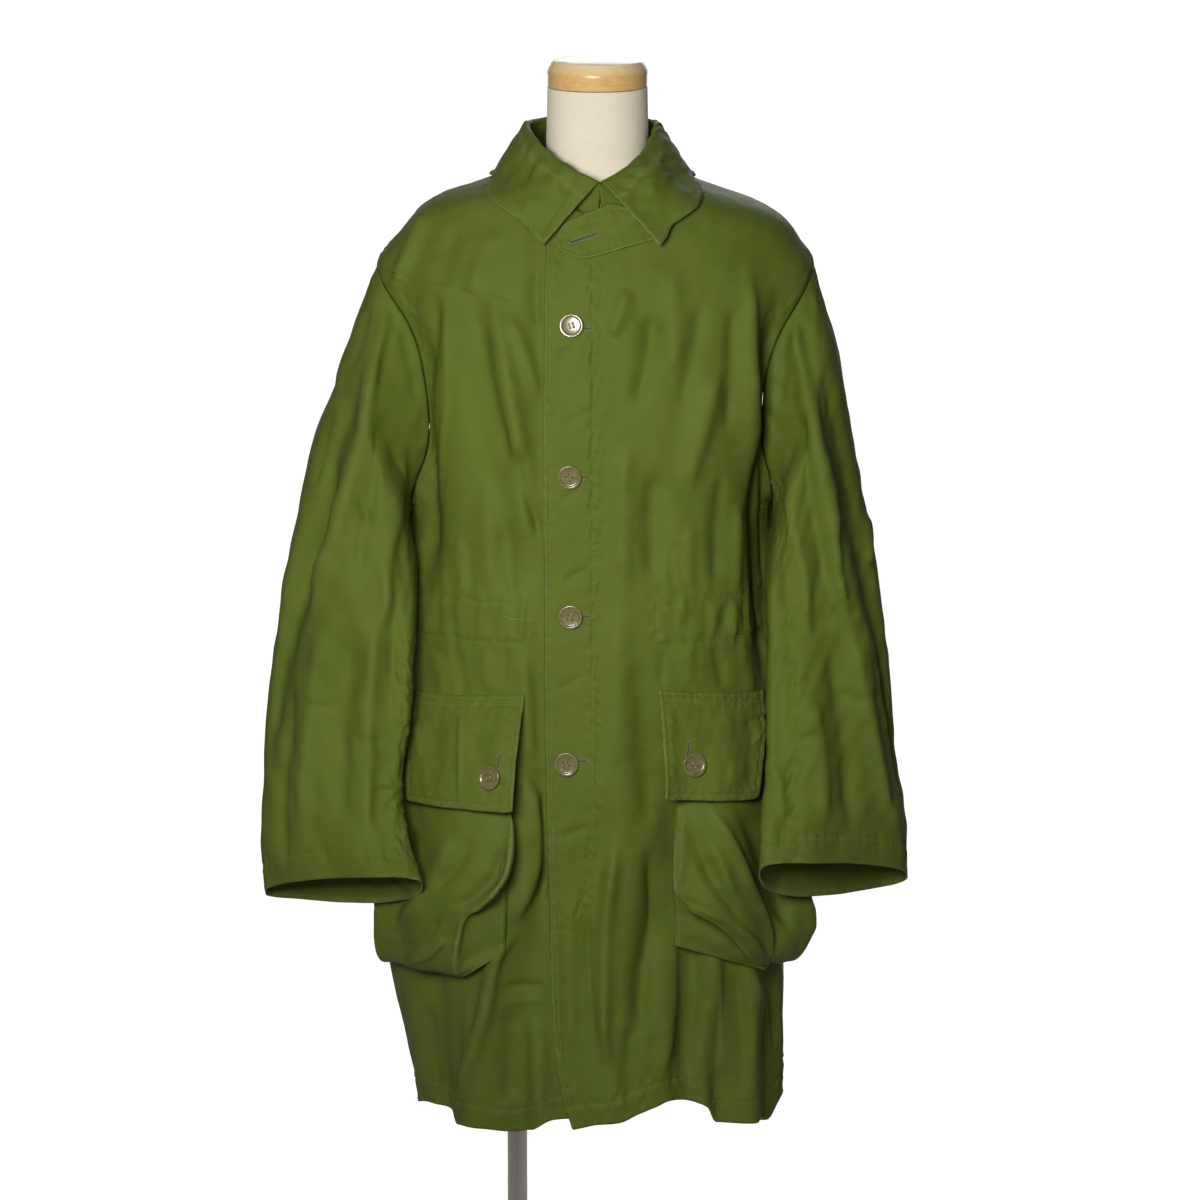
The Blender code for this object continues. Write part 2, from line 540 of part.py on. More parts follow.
# ---------------------------------------------------------------- the coat's panels
def over_edge_turn(height):
    """Turn of the over front's free edge."""
    x = column(OVER_EDGE, "minus_x", height)
    return -np.degrees(np.arctan2(x, column(BODY, "front", height)))


def under_lap(turn, height):
    """How far the under front stands back where the over front covers it."""
    start = over_edge_turn(height) - LAP_SLOPE
    return -ease((turn - start) / (LAP_SLOPE - 1.0)) * column(OVER_EDGE, "stand_off", height)


def front_grid(side):
    """Points of a front, from its own edge to the side seam; side is -1 or 1 as x."""
    shares = row_shares()
    s = np.linspace(0.0, 1.0, FRONT_COLUMNS)
    seam_height = HEM_HEIGHT + shares * (NECKLINE_SIDE - HEM_HEIGHT)
    seam_turn = side * (SIDE_TURN - half_gap(seam_height) - armhole_reach(seam_height))
    if side > 0:
        edge_turn = over_edge_turn(HEM_HEIGHT + shares * (NECKLINE_FRONT - HEM_HEIGHT))
    else:
        edge_turn = np.full(len(shares), LAP_TURN)
    turn = edge_turn[:, None] + (seam_turn - edge_turn)[:, None] * s
    heights = panel_heights(turn, shares, neck_height(turn[-1]), LAP_RISE if side < 0 else 0.0)
    out = under_lap(turn, heights) if side < 0 else 0.0
    grid = body_point(turn, heights, out)
    return grid if side > 0 else grid[:, ::-1]


def back_grid():
    """Points of the back, from the wearer's left side seam round to the right one."""
    shares = row_shares()
    s = np.linspace(0.0, 1.0, BACK_COLUMNS)
    seam_height = HEM_HEIGHT + shares * (NECKLINE_SIDE - HEM_HEIGHT)
    start = SIDE_TURN + half_gap(seam_height) + armhole_reach(seam_height)
    turn = start[:, None] + (360.0 - 2 * start)[:, None] * s
    turn = (turn + 180.0) % 360.0 - 180.0
    return body_point(turn, panel_heights(turn, shares, neck_height(turn[-1])))


def armhole_ring(side, steps, inset):
    """Points round an armhole from its top down the front and up the back."""
    middle = (ARMHOLE_TOP + ARMHOLE_LOW) / 2
    half = (ARMHOLE_TOP - ARMHOLE_LOW) / 2 - inset
    angle = np.linspace(0.0, 2 * math.pi, steps, endpoint=False)
    reach = ARMHOLE_TURN - math.degrees(inset / ARMHOLE_RADIUS)
    turn = side * (SIDE_TURN - reach * np.sin(angle))
    return body_point(turn, middle + half * np.cos(angle))


def sleeve_grid(side, stations, folds, cuff):
    """Points of a sleeve: rings through its stations, from the armhole to the cuff."""
    steps, rings = 2 * ARMHOLE_STEPS, SLEEVE_RINGS
    angle = np.linspace(0.0, 2 * math.pi, steps, endpoint=False)
    wide, deep = (np.sign(wave) * np.abs(wave) ** power
                  for wave, power in zip((np.cos(angle), np.sin(angle)), SLEEVE_ROUND))
    loops = [armhole_ring(side, steps, ARMHOLE_INSET)]
    for number, station in enumerate(stations):
        outer, inner = np.array(station.outer), np.array(station.inner)
        loop = (outer + inner) / 2 + wide[:, None] * (outer - inner) / 2
        loop[:, 1] -= deep * station.depth
        if number == len(stations) - 1:
            back = cuff.back * (1 - CUFF_SLANT * np.cos(angle))
            loop[:, 2] += np.where(deep > 0, cuff.front, back) * deep
        loops.append(loop)
    loops = np.array(loops)
    along = np.concatenate([[0], np.cumsum(
        np.linalg.norm(np.diff(loops[:, steps // 4], axis=0), axis=1))])
    along /= along[-1]
    first = SLEEVE_START[:-1]
    at = np.concatenate([first, np.linspace(SLEEVE_START[-1], 1.0, rings - len(first))])
    grid = np.empty((rings, steps, 3))
    for k in range(steps):
        for axis in range(3):
            grid[:, k, axis] = through(along, loops[:, k, axis], at)
    turn = np.degrees(angle)
    depth = np.zeros((rings, steps))
    for fold in folds:
        share = (at[:, None] - fold.start) / (fold.end - fold.start)
        middle = fold.start_turn + (fold.end_turn - fold.start_turn) * share
        away = (turn - middle + 180.0) % 360.0 - 180.0
        window = ease(share / SLEEVE_FOLD_END) * ease((1 - share) / SLEEVE_FOLD_END)
        depth += fold.depth * window * np.exp(-(away / fold.spread) ** 2)
    depth *= ease(at / SLEEVE_CALM)[:, None]
    grid[:, :, 1] -= depth * np.sign(deep) * np.abs(deep) ** 0.5
    grid[:, :, 0] += side * depth * np.clip(np.cos(angle), 0, 1)
    return grid


def sleeve_halves(side, grid):
    """The top and the under piece of a sleeve, which meet along its front and back seams."""
    steps = grid.shape[1]
    halves = []
    for first in (SLEEVE_SEAM + steps // 2, SLEEVE_SEAM):
        half = grid[:, np.arange(first, first + steps // 2 + 1) % steps]
        for edge, beside in ((0, 1), (-1, -2)):
            inward = half[:, beside] - half[:, edge]
            length = np.linalg.norm(inward, axis=1, keepdims=True)
            half[:, edge] += inward / length * SLEEVE_GAP / 2
        halves.append(half if side > 0 else half[:, ::-1])
    return halves


def collar_grid():
    """Points of the collar: across it the stand, the roll and the leaf."""
    places = np.linspace(-1.0, 1.0, COLLAR_COLUMNS)
    grid = []
    for place in places:
        side = -1.0 if place < 0 else 1.0
        along = abs(place)
        names = ("roll_minus", "edge_minus") if side < 0 else ("roll_plus", "edge_plus")
        roll_turn = side * column(COLLAR, "roll_turn", along, "along")
        edge_turn = side * column(COLLAR, "edge_turn", along, "along")
        roll_radius, edge_radius = (column(COLLAR, name, along, "along") for name in names)
        roll_height = column(COLLAR, "roll_height", along, "along")
        edge_height = column(COLLAR, "edge_height", along, "along")
        seam_turn = side * max(abs(roll_turn), COLLAR_END)
        seam_height = neck_height(seam_turn)
        back_off = under_lap(seam_turn, seam_height) if side < 0 and along > 0.5 else 0.0
        seam = body_point(seam_turn, seam_height, back_off)
        seam[2] += 2 * SEAM_GAP
        roll = polar(roll_turn, roll_radius, roll_height)
        edge = polar(edge_turn, edge_radius, edge_height)
        outward = edge - roll
        outward[2] = 0.0
        outward /= np.linalg.norm(outward)
        lift = np.array([0.0, 0.0, 1.0])
        profile = [seam * bend.seam + roll * bend.roll + edge * bend.edge
                   + (outward * bend.outward + lift * bend.up) * ROLL_BEND
                   for bend in COLLAR_BENDS]
        cover = LEAF_CLEAR + TAB_CLEAR * ease((LEAF_OVER_TAB - abs(edge_turn)) / OVER_TAB_RUN)
        front = ease((STAND_OVER_TAB - abs(roll_turn)) / OVER_TAB_RUN)
        leaf = [clear_of_body(point, cover + front * tab_step(point[2]))
                for point in profile[STAND_BENDS:]]
        grid.append(profile[:STAND_BENDS] + leaf)
    return np.array(grid)


def tab_step(height):
    """How far the tab stands out at a height, to cross the collar's stand."""
    return TAB_STEP * ease((height - TAB_STEP_HEIGHT) / TAB_STEP_RUN)


def clear_of_body(point, clear):
    """The point, moved out where it would be nearer to the body than a clearance."""
    turn = math.degrees(math.atan2(point[0], -point[1]))
    if point[2] > NECKLINE_BACK:
        return point
    limit = body_point(turn, point[2], clear)
    if np.hypot(*point[:2]) >= np.hypot(*limit[:2]):
        return point
    return limit


def polar(turn, radius, height):
    """The point at a turn from the front, a distance from the axis and a height."""
    return np.array([radius * math.sin(math.radians(turn)),
                     -radius * math.cos(math.radians(turn)), float(height)])


def pouch_grid(pouch, attach):
    """Points of a bellows pocket: across it a gusset, the front face and a gusset."""
    side = math.copysign(1.0, attach[0])
    heights = through(range(len(pouch)), [row.height for row in pouch],
                      np.linspace(0, len(pouch) - 1, POUCH_ROWS))
    key = [-row.height for row in pouch]
    limit = "minus_x" if side < 0 else "plus_x"
    grid = []
    for height in heights:
        inner, outer, stand_off, sag = (
            float(through(key, [getattr(row, name) for row in pouch], -height))
            for name in ("inner", "outer", "stand_off", "sag"))
        foot = ease((pouch[-1].height + POUCH_FOOT - height) / POUCH_FOOT_RUN)
        widest = float(column(BODY, limit, height)) * POUCH_SIDE
        clear = POCKET_CLEAR + POCKET_LOW_CLEAR * foot
        start = body_point(attach[0], height, clear)
        finish = body_point(attach[1], height, clear)
        face = []
        for share in np.linspace(0.0, 1.0, POUCH_COLUMNS):
            x = inner + (outer - inner) * share
            base = body_point(float(turn_at(side * min(abs(x), widest), height)), height)
            y = base[1] - stand_off * (POUCH_EDGE + POUCH_BELLY * math.sin(math.pi * share))
            face.append(np.array([x, y * (1 - POUCH_TUCK * share ** 3), height - sag]))
        fold_in = start * (1 - GUSSET_INNER) + face[0] * GUSSET_INNER
        fold_in[0] += side * min(GUSSET_BULGE, stand_off * GUSSET_SHARE)
        fold_out = finish * (1 - GUSSET_OUTER) + face[-1] * GUSSET_OUTER
        fold_out[0] += side * GUSSET_OUTER_BULGE
        fold_in[2] = fold_out[2] = height - sag / 2
        grid.append([clear_of_body(point, clear)
                     for point in (start, fold_in, *face, fold_out, finish)])
    grid = np.array(grid)
    return grid if side < 0 else grid[:, ::-1]


def flap_point(flap, u, v):
    """The flap's outer point, u of the way to its far side and v of the way down."""
    top_inner, top_outer, low_inner, low_outer = (np.array(corner) for corner in flap)
    top = top_inner * (1 - u) + top_outer * u
    low = low_inner * (1 - u) + low_outer * u
    place = top * (1 - v) + low * v
    lift = FLAP_LIFT * (1 - (1 - v) ** FLAP_CURL) * (1 - FLAP_EASE * u)
    return body_point(turn_at(place[0], place[1]), place[1], DOUBLE_CLOTH + 2 * SEAM_GAP + lift)


def flap_grid(flap):
    """Points of a flap, which lies on the coat at its top and over its pocket below."""
    grid = np.array([[flap_point(flap, u, v) for u in np.linspace(0.0, 1.0, FLAP_COLUMNS)]
                     for v in np.linspace(0.0, 1.0, FLAP_ROWS)])
    return grid if flap.top_inner[0] < 0 else grid[:, ::-1]


def tab_grid():
    """Points of the throat tab between its lower and its upper edge."""
    place = np.linspace(0.0, len(TAB_UPPER) - 1, TAB_COLUMNS)
    upper, lower = (np.stack([np.interp(place, range(len(line)), [p[i] for p in line])
                              for i in range(2)], axis=1) for line in (TAB_UPPER, TAB_LOWER))
    grid = []
    for v in np.linspace(0.0, 1.0, TAB_ROWS):
        place = upper * (1 - v) + lower * v
        turn = turn_at(place[:, 0], place[:, 1])
        out = DOUBLE_CLOTH + 3 * SEAM_GAP + tab_step(place[:, 1])
        grid.append(body_point(turn, place[:, 1], out))
    return np.array(grid)[:, ::-1]


# ---------------------------------------------------------------- assembling
def place_button(name, point, normal, finish, group):
    """A turned button standing on a surface point along its normal."""
    button = turned(name, BUTTON_PROFILE, finish, group, 16)
    facing = Vector(normal).normalized()
    turn = Vector((0.0, 0.0, 1.0)).rotation_difference(facing).to_matrix().to_4x4()
    button.matrix_world = Matrix.Translation(Vector(point) + facing * SEAM_GAP) @ turn
    return button


def surface_normal(x, height, out):
    """The body's outward normal at a place on its front."""
    turn = float(turn_at(x, height))
    here = body_point(turn, height, out)
    aside = body_point(turn + 0.5, height, out) - here
    above = body_point(turn, height + 0.002, out) - here
    normal = np.cross(aside, above)
    return here, normal / np.linalg.norm(normal)


def build_coat(group, cloth, button_finish):
    """All pieces of the garment."""
    sheet("front_left", front_grid(1.0), cloth, group)
    sheet("front_right", front_grid(-1.0), cloth, group)
    sheet("back", back_grid(), cloth, group)
    for name, side, stations, folds, cuff in (
            ("right", -1.0, SLEEVE_RIGHT, FOLDS_RIGHT, CUFF_RIGHT),
            ("left", 1.0, SLEEVE_LEFT, FOLDS_LEFT, CUFF_LEFT)):
        top, under = sleeve_halves(side, sleeve_grid(side, stations, folds, cuff))
        sheet(f"sleeve_{name}", top, cloth, group)
        sheet(f"under_sleeve_{name}", under, cloth, group)
    sheet("collar", collar_grid(), cloth, group)
    sheet("throat_tab", tab_grid(), cloth, group, DOUBLE_CLOTH)
    sheet("pocket_right", pouch_grid(POUCH_RIGHT, ATTACH_RIGHT), cloth, group)
    sheet("pocket_left", pouch_grid(POUCH_LEFT, ATTACH_LEFT), cloth, group)
    for name, flap in (("right", FLAP_RIGHT), ("left", FLAP_LEFT)):
        sheet(f"flap_{name}", flap_grid(flap), cloth, group, DOUBLE_CLOTH)
        u, v = FLAP_BUTTONS[name]
        here = flap_point(flap, u, v)
        normal = np.cross(flap_point(flap, u, v + 0.01) - here,
                          flap_point(flap, u + 0.01, v) - here)
        normal *= -math.copysign(1.0, normal[1])
        here = here + normal / np.linalg.norm(normal) * SEAM_GAP * 2
        place_button(f"flap_button_{name}", here, normal, button_finish, group)
    for number, (x, height) in enumerate(FRONT_BUTTONS, 1):
        point, normal = surface_normal(x, height, 0.0)
        place_button(f"button_{number}", point, normal, button_finish, group)


def build_form(group):
    """The padded torso, its neck cap, and the pole on its base."""
    linen = material("linen", (0.62, 0.55, 0.42), 0.85)
    wood = material("wood", (0.60, 0.38, 0.13), 0.35)
    chrome = material("chrome", (0.62, 0.60, 0.56), 0.18, 1.0)
    steps = TORSO_STEPS
    angle = np.linspace(0.0, 2 * math.pi, steps, endpoint=False)
    heights = np.concatenate([TORSO_LOW_ROWS, np.linspace(*TORSO_BODY_ROWS),
                              np.linspace(*TORSO_NECK_ROWS), TORSO_HIGH_ROWS])
    grid = []
    for height in heights:
        side = column(TORSO, "side", height)
        depth = np.where(np.cos(angle) > 0, column(TORSO, "front", height),
                         column(TORSO, "back", height))
        radius = ((np.abs(np.sin(angle)) / side) ** TORSO_SQUARENESS
                  + (np.abs(np.cos(angle)) / depth) ** TORSO_SQUARENESS) ** (-1 / TORSO_SQUARENESS)
        lean = NECK_OFFSET * ease((height - NECK_LEAN[0]) / NECK_LEAN[1])
        grid.append(np.stack([lean + radius * np.sin(angle), -radius * np.cos(angle),
                              np.full(steps, height)], axis=-1))
    points = [tuple(p) for ring in grid for p in ring]
    faces = [(r * steps + c, r * steps + (c + 1) % steps,
              (r + 1) * steps + (c + 1) % steps, (r + 1) * steps + c)
             for r in range(len(grid) - 1) for c in range(steps)]
    faces.append(tuple(reversed(range(steps))))
    faces.append(tuple(range((len(grid) - 1) * steps, len(grid) * steps)))
    mesh = bpy.data.meshes.new("torso")
    mesh.from_pydata(points, [], faces)
    new_object("torso", mesh, linen, group)
    cap = turned("neck_cap", CAP_PROFILE, wood, group, 32)
    cap.location.x = NECK_OFFSET
    pole_top = TORSO[0].height - SEAM_GAP
    flange_top = BASE_THICKNESS + FLANGE_HEIGHT
    pole = turned("pole", [(0.0, flange_top + SEAM_GAP), (POLE_RADIUS, flange_top + SEAM_GAP),
                           (POLE_RADIUS, pole_top), (0.0, pole_top)], chrome, group, 24)
    pole.location = (*POLE_PLACE, 0.0)
    flange_foot = BASE_THICKNESS + SEAM_GAP
    flange = turned("pole_flange", [
        (0.0, flange_foot), (FLANGE_STEPS[0][0], flange_foot),
        *((radius, BASE_THICKNESS + height) for radius, height in FLANGE_STEPS),
        (FLANGE_RADIUS, flange_top), (0.0, flange_top)], chrome, group, 24)
    flange.location = (*POLE_PLACE, 0.0)
    turned("base", [(0.0, 0.0), (BASE_RADIUS - BASE_FOOT_EDGE, 0.0),
                    (BASE_RADIUS, BASE_FOOT_EDGE),
                    (BASE_RADIUS, BASE_THICKNESS - BASE_TOP_EDGE),
                    (BASE_RADIUS - BASE_TOP_EDGE, BASE_THICKNESS), (0.0, BASE_THICKNESS)],
           chrome, group, 48)


def main():
    """Clear the scene and build the coat on its form."""
    for leftover in list(bpy.data.objects):
        bpy.data.objects.remove(leftover, do_unlink=True)
    group = bpy.data.collections.new("field_coat_on_dress_form")
    bpy.context.scene.collection.children.link(group)
    cloth = material("olive_cotton", (0.085, 0.105, 0.022), 0.78)
    button_finish = material("olive_brown_button", (0.14, 0.11, 0.045), 0.25)
    build_coat(group, cloth, button_finish)
    build_form(group)


main()
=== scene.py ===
"""Looks of an olive cotton field coat on its dress form: cloth, seams, buttons, form and studio.

Metres, +Z up, the coat facing -Y, so the wearer's left is at +X. The coat's body is one surface
given by level sections; every piece of cloth is laid on it or stands out from it, gets its listed
creases, and is then given a wall, its hems, its stitches and its buttonholes.
"""

import logging
import math
from dataclasses import dataclass, field
from enum import Enum
from typing import NamedTuple, Sequence

import bmesh
import bpy
import numpy as np
from mathutils import Matrix, Vector

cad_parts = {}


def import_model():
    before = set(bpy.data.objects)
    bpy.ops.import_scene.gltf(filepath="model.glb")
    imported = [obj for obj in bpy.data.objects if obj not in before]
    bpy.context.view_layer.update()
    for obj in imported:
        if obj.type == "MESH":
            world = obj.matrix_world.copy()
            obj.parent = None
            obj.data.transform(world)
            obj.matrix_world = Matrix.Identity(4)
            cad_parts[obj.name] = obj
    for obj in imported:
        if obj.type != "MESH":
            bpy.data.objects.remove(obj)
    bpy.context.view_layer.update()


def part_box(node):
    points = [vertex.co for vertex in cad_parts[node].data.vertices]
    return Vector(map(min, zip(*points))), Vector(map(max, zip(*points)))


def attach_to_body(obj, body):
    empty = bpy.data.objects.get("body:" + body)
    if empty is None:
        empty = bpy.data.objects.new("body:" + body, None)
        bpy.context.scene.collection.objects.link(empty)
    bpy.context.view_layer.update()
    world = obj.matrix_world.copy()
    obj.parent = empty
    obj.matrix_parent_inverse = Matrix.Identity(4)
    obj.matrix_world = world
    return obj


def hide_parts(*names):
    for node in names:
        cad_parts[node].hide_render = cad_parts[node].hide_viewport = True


log = logging.getLogger("field_coat")

Array = np.ndarray


# ------------------------------------------------------------------ rows of the tables
class Section(NamedTuple):
    """A level section of the coat's body."""

    height: float
    minus_x: float
    plus_x: float
    front: float
    back: float


class Fold(NamedTuple):
    """A large fold of the body, from one turn and height to another; troughs are negative."""

    high_turn: float
    high: float
    low_turn: float
    low: float
    spread: float
    depth: float


class Edge(NamedTuple):
    """The over front's free edge at a height, and how far the under front stands back."""

    height: float
    minus_x: float
    stand_off: float


class Rise(NamedTuple):
    """How far the hem rises at a turn from the front."""

    turn: float
    rise: float


class Station(NamedTuple):
    """A station of a sleeve: its outer and inner edge as seen from the front, and half its depth."""

    outer: tuple[float, float, float]
    inner: tuple[float, float, float]
    depth: float


class Drop(NamedTuple):
    """How much higher than its middle a cuff's front ends, and how much lower its back."""

    front: float
    back: float


class SleeveFold(NamedTuple):
    """A fold of a sleeve: turn round the tube and share of its length at both ends."""

    start_turn: float
    start: float
    end_turn: float
    end: float
    spread: float
    depth: float


class CollarRow(NamedTuple):
    """The collar's roll line and leaf edge, at a share of the way to its front end."""

    along: float
    roll_turn: float
    roll_minus: float
    roll_plus: float
    roll_height: float
    edge_turn: float
    edge_minus: float
    edge_plus: float
    edge_height: float


class Pouch(NamedTuple):
    """A level of a pocket: the edges of its front face, its stand-off and how far it sags."""

    height: float
    inner: float
    outer: float
    stand_off: float
    sag: float


class Flap(NamedTuple):
    """Corners of a flap as seen from the front, x and height."""

    top_inner: tuple[float, float]
    top_outer: tuple[float, float]
    low_inner: tuple[float, float]
    low_outer: tuple[float, float]


Path = tuple[tuple[float, float], ...]


class Crease(NamedTuple):
    """A crease as it is seen, in millimetres: its path, its half-width and its depth.

    The path gives x and height of each point that the crease runs through. A depth over zero
    is a ridge. An edge of 1 makes one flank steeper, as on a fold that lies over.
    """

    path: tuple[int, ...]
    width: float
    depth: float
    edge: float = 0.0


# ------------------------------------------------------------------ small mathematics
RIPPLE_WAVES = 9
RIPPLE_LENGTHS = (0.6, 1.6)
RIPPLE_PEAK = 1.2


def through(places: Sequence[float], values: Sequence[float], at: Array) -> Array:
    """Values on a smooth curve through rows that never overshoots them.

    Args:
        places: The rows' places, rising.
        values: The rows' values.
        at: Places to read.

    Returns:
        The values there.
    """
    places = np.asarray(places, float)
    values = np.asarray(values, float)
    at = np.clip(np.asarray(at, float), places[0], places[-1])
    step = np.diff(places)
    slope = np.diff(values) / step
    before, after = slope[:-1], slope[1:]
    same_way = before * after > 0
    inner = np.where(same_way, 2 * before * after / np.where(same_way, before + after, 1), 0)
    tangent = np.concatenate([[slope[0]], inner, [slope[-1]]])
    i = np.clip(np.searchsorted(places, at, side="right") - 1, 0, len(step) - 1)
    f = (at - places[i]) / step[i]
    return (values[i] * (1 + 2 * f) * (1 - f) ** 2 + tangent[i] * step[i] * f * (1 - f) ** 2
            + values[i + 1] * f ** 2 * (3 - 2 * f) - tangent[i + 1] * step[i] * f ** 2 * (1 - f))


def column(rows: Sequence[NamedTuple], name: str, at: Array, key: str = "height") -> Array:
    """One named column of a table, read at any place between its rows."""
    return through([getattr(row, key) for row in rows], [getattr(row, name) for row in rows], at)


def ease(value: Array) -> Array:
    """A smooth step from 0 to 1 as the value goes from 0 to 1."""
    value = np.clip(value, 0.0, 1.0)
    return value * value * (3 - 2 * value)


def bell(distance: Array, width: float) -> Array:
    """A soft bump of height 1 and the half-width given."""
    return np.exp(-(distance / width) ** 2)


def ripple(u: Array, v: Array, length: float, seed: int, stretch: float = 1.0) -> Array:
    """A smooth uneven field of about -1 to 1, the same each run.

    Args:
        u: Places across, in metres.
        v: Places along, in metres.
        length: Typical length of its waves.
        seed: Which field.
        stretch: How many times longer the waves are along v.

    Returns:
        The field's values.
    """
    chance = np.random.RandomState(seed)
    total = np.zeros(np.broadcast(u, v).shape)
    for _ in range(RIPPLE_WAVES):
        heading = chance.uniform(0, math.pi)
        turns = 2 * math.pi / (length * chance.uniform(*RIPPLE_LENGTHS))
        phase = chance.uniform(0, 2 * math.pi)
        total += np.sin(turns * (u * math.cos(heading) + v / stretch * math.sin(heading)) + phase)
    return total / math.sqrt(RIPPLE_WAVES) / RIPPLE_PEAK


def wrapped(turn: Array) -> Array:
    """A turn in degrees, brought to between -180 and 180."""
    return (turn + 180.0) % 360.0 - 180.0


def turn_of(points: Array) -> Array:
    """Degrees from the front at which points stand about the axis."""
    return np.degrees(np.arctan2(points[..., 0], -points[..., 1]))


def rounded_radius(across: Array, along: Array, side: Array, depth: Array, squareness: float
                   ) -> Array:
    """Distance from the axis of a rounded-square section, in a direction.

    Args:
        across: The direction's part across.
        along: The direction's part along.
        side: Half the section's width.
        depth: Half its depth.
        squareness: 2 for an ellipse, and more for a squarer one.

    Returns:
        The distance.
    """
    return ((np.abs(across) / side) ** squareness
            + (np.abs(along) / depth) ** squareness) ** (-1 / squareness)


def soften(points: Array, rounds: int) -> Array:
    """A line of points, each moved a number of times towards its neighbours."""
    soft = points.copy()
    for _ in range(rounds):
        soft[1:-1] = (soft[:-2] + 2 * soft[1:-1] + soft[2:]) / 4
    return soft


def run_along(points: Array) -> Array:
    """Length run from the first point of a line to each."""
    return np.concatenate([[0], np.cumsum(np.linalg.norm(np.diff(points, axis=0), axis=1))])


def flat_run(points: Array) -> Array:
    """Length run from the first point of a flat line to each."""
    return np.concatenate([[0], np.cumsum(np.hypot(*np.diff(points, axis=0).T))])


def read_line(values: Array, run: Array, places: Array) -> Array:
    """A line's points or normals, read at lengths along it."""
    return np.stack([np.interp(places, run, values[:, k]) for k in range(3)], axis=1)


@dataclass(frozen=True)
class Viewpoint:
    """Where the coat is looked at from: straight in front and a little above."""

    distance: float = 9.0
    aim: float = 0.955
    elevation: float = 10.5

    def plane(self, points: Array) -> tuple[Array, Array]:
        """Where points are seen on the plane through the axis, metres across and up."""
        tilt = math.radians(self.elevation)
        rise = points[..., 2] - self.aim
        up = rise * math.cos(tilt) + points[..., 1] * math.sin(tilt)
        away = self.distance + points[..., 1] * math.cos(tilt) - rise * math.sin(tilt)
        return points[..., 0] * self.distance / away, up * self.distance / away


VIEW = Viewpoint()


def trace(path: Path, steps: int = 9) -> Array:
    """Points of a smooth line through a path."""
    points = np.array(path, float)
    run = flat_run(points)
    at = np.linspace(0, run[-1], steps * (len(points) - 1) + 1)
    return np.stack([through(run, points[:, k], at) if len(points) > 2
                     else np.interp(at, run, points[:, k]) for k in range(2)], axis=1)


def nearest_on(line: Array, u: Array, v: Array) -> tuple[Array, Array]:
    """Signed distances of places to a line, and the share of it where they are nearest.

    Args:
        line: The line's points.
        u: Places across.
        v: Places up.

    Returns:
        The distances and the shares.
    """
    run = flat_run(line)
    nearest = np.full(u.shape, np.inf)
    share = np.zeros(u.shape)
    for number, (start, end) in enumerate(zip(line[:-1], line[1:])):
        (du, dv), long = end - start, run[number + 1] - run[number]
        t = np.clip(((u - start[0]) * du + (v - start[1]) * dv) / long ** 2, 0.0, 1.0)
        off_u, off_v = u - start[0] - du * t, v - start[1] - dv * t
        distance = np.hypot(off_u, off_v)
        closer = distance < np.abs(nearest)
        signed = np.where(du * off_v - dv * off_u < 0, -distance, distance)
        nearest = np.where(closer, signed, nearest)
        share = np.where(closer, (run[number] + t * long) / run[-1], share)
    return nearest, share


@dataclass(frozen=True)
class CreaseStyle:
    """How a crease varies along its path: shares of its width and depth, and lengths in metres."""

    reach: float = 3.2
    wander: float = 0.10
    wander_length: float = 0.019
    wander_phase: float = 1.7
    narrow: float = 0.74
    swell: float = 0.46
    swell_at: float = 0.45
    swell_spread: float = 0.35
    steep: float = 0.5
    gentle: float = 0.35
    even: float = 0.87
    uneven: float = 0.13
    uneven_length: float = 0.031
    uneven_phase: float = 2.3
    fade: float = 0.22


CREASE = CreaseStyle()


def crease_depth(creases: Sequence[Crease], u: Array, v: Array) -> Array:
    """How far creases move a surface out at places as they are seen.

    Args:
        creases: The creases.
        u: Places across.
        v: Places up.

    Returns:
        The moves, in metres.
    """
    total = np.zeros(u.shape)
    for number, crease in enumerate(creases):
        line = trace(np.reshape(crease.path, (-1, 2)) / 1000)
        full, depth = crease.width / 1000, crease.depth / 1000
        reach = CREASE.reach * full
        low, high = line.min(axis=0) - reach, line.max(axis=0) + reach
        near = (u > low[0]) & (u < high[0]) & (v > low[1]) & (v < high[1])
        if not near.any():
            continue
        side, share = nearest_on(line, u[near], v[near])
        long = np.hypot(*np.diff(line, axis=0).T).sum()
        side = side - CREASE.wander * full * np.sin(
            share * long / CREASE.wander_length + number * CREASE.wander_phase)
        swell = CREASE.swell * bell(share - CREASE.swell_at, CREASE.swell_spread)
        width = full * (CREASE.narrow + swell)
        flank = np.where(side > 0, 1 - CREASE.steep * crease.edge, 1 + CREASE.gentle * crease.edge)
        uneven = CREASE.even + CREASE.uneven * np.sin(
            share * long / CREASE.uneven_length + number * CREASE.uneven_phase)
        fade = ease(share / CREASE.fade) * ease((1 - share) / CREASE.fade)
        total[near] += depth * uneven * fade * np.exp(-(side / (width * flank)) ** 2)
    return total


def refine(grid: Array, rows: int, columns: int) -> Array:
    """A grid of points read at more rows and columns on smooth curves through it."""
    for axis, number in ((0, rows), (1, columns)):
        source = np.moveaxis(grid, axis, 0)
        places = np.arange(len(source), dtype=float)
        at = np.linspace(0, len(source) - 1, number)
        shape = source.shape[1:]
        flat = source.reshape(len(source), -1)
        made = np.stack([through(places, line, at) for line in flat.T], axis=1)
        grid = np.moveaxis(made.reshape(number, *shape), 0, axis)
    return grid


def polar(turn: float, radius: float, height: float) -> Array:
    """The point at a turn from the front, a distance from the axis and a height."""
    return np.array([radius * math.sin(math.radians(turn)),
                     -radius * math.cos(math.radians(turn)), float(height)])


def unit(vectors: Array) -> Array:
    """Vectors made one long."""
    return vectors / np.maximum(np.linalg.norm(vectors, axis=-1, keepdims=True), 1e-12)


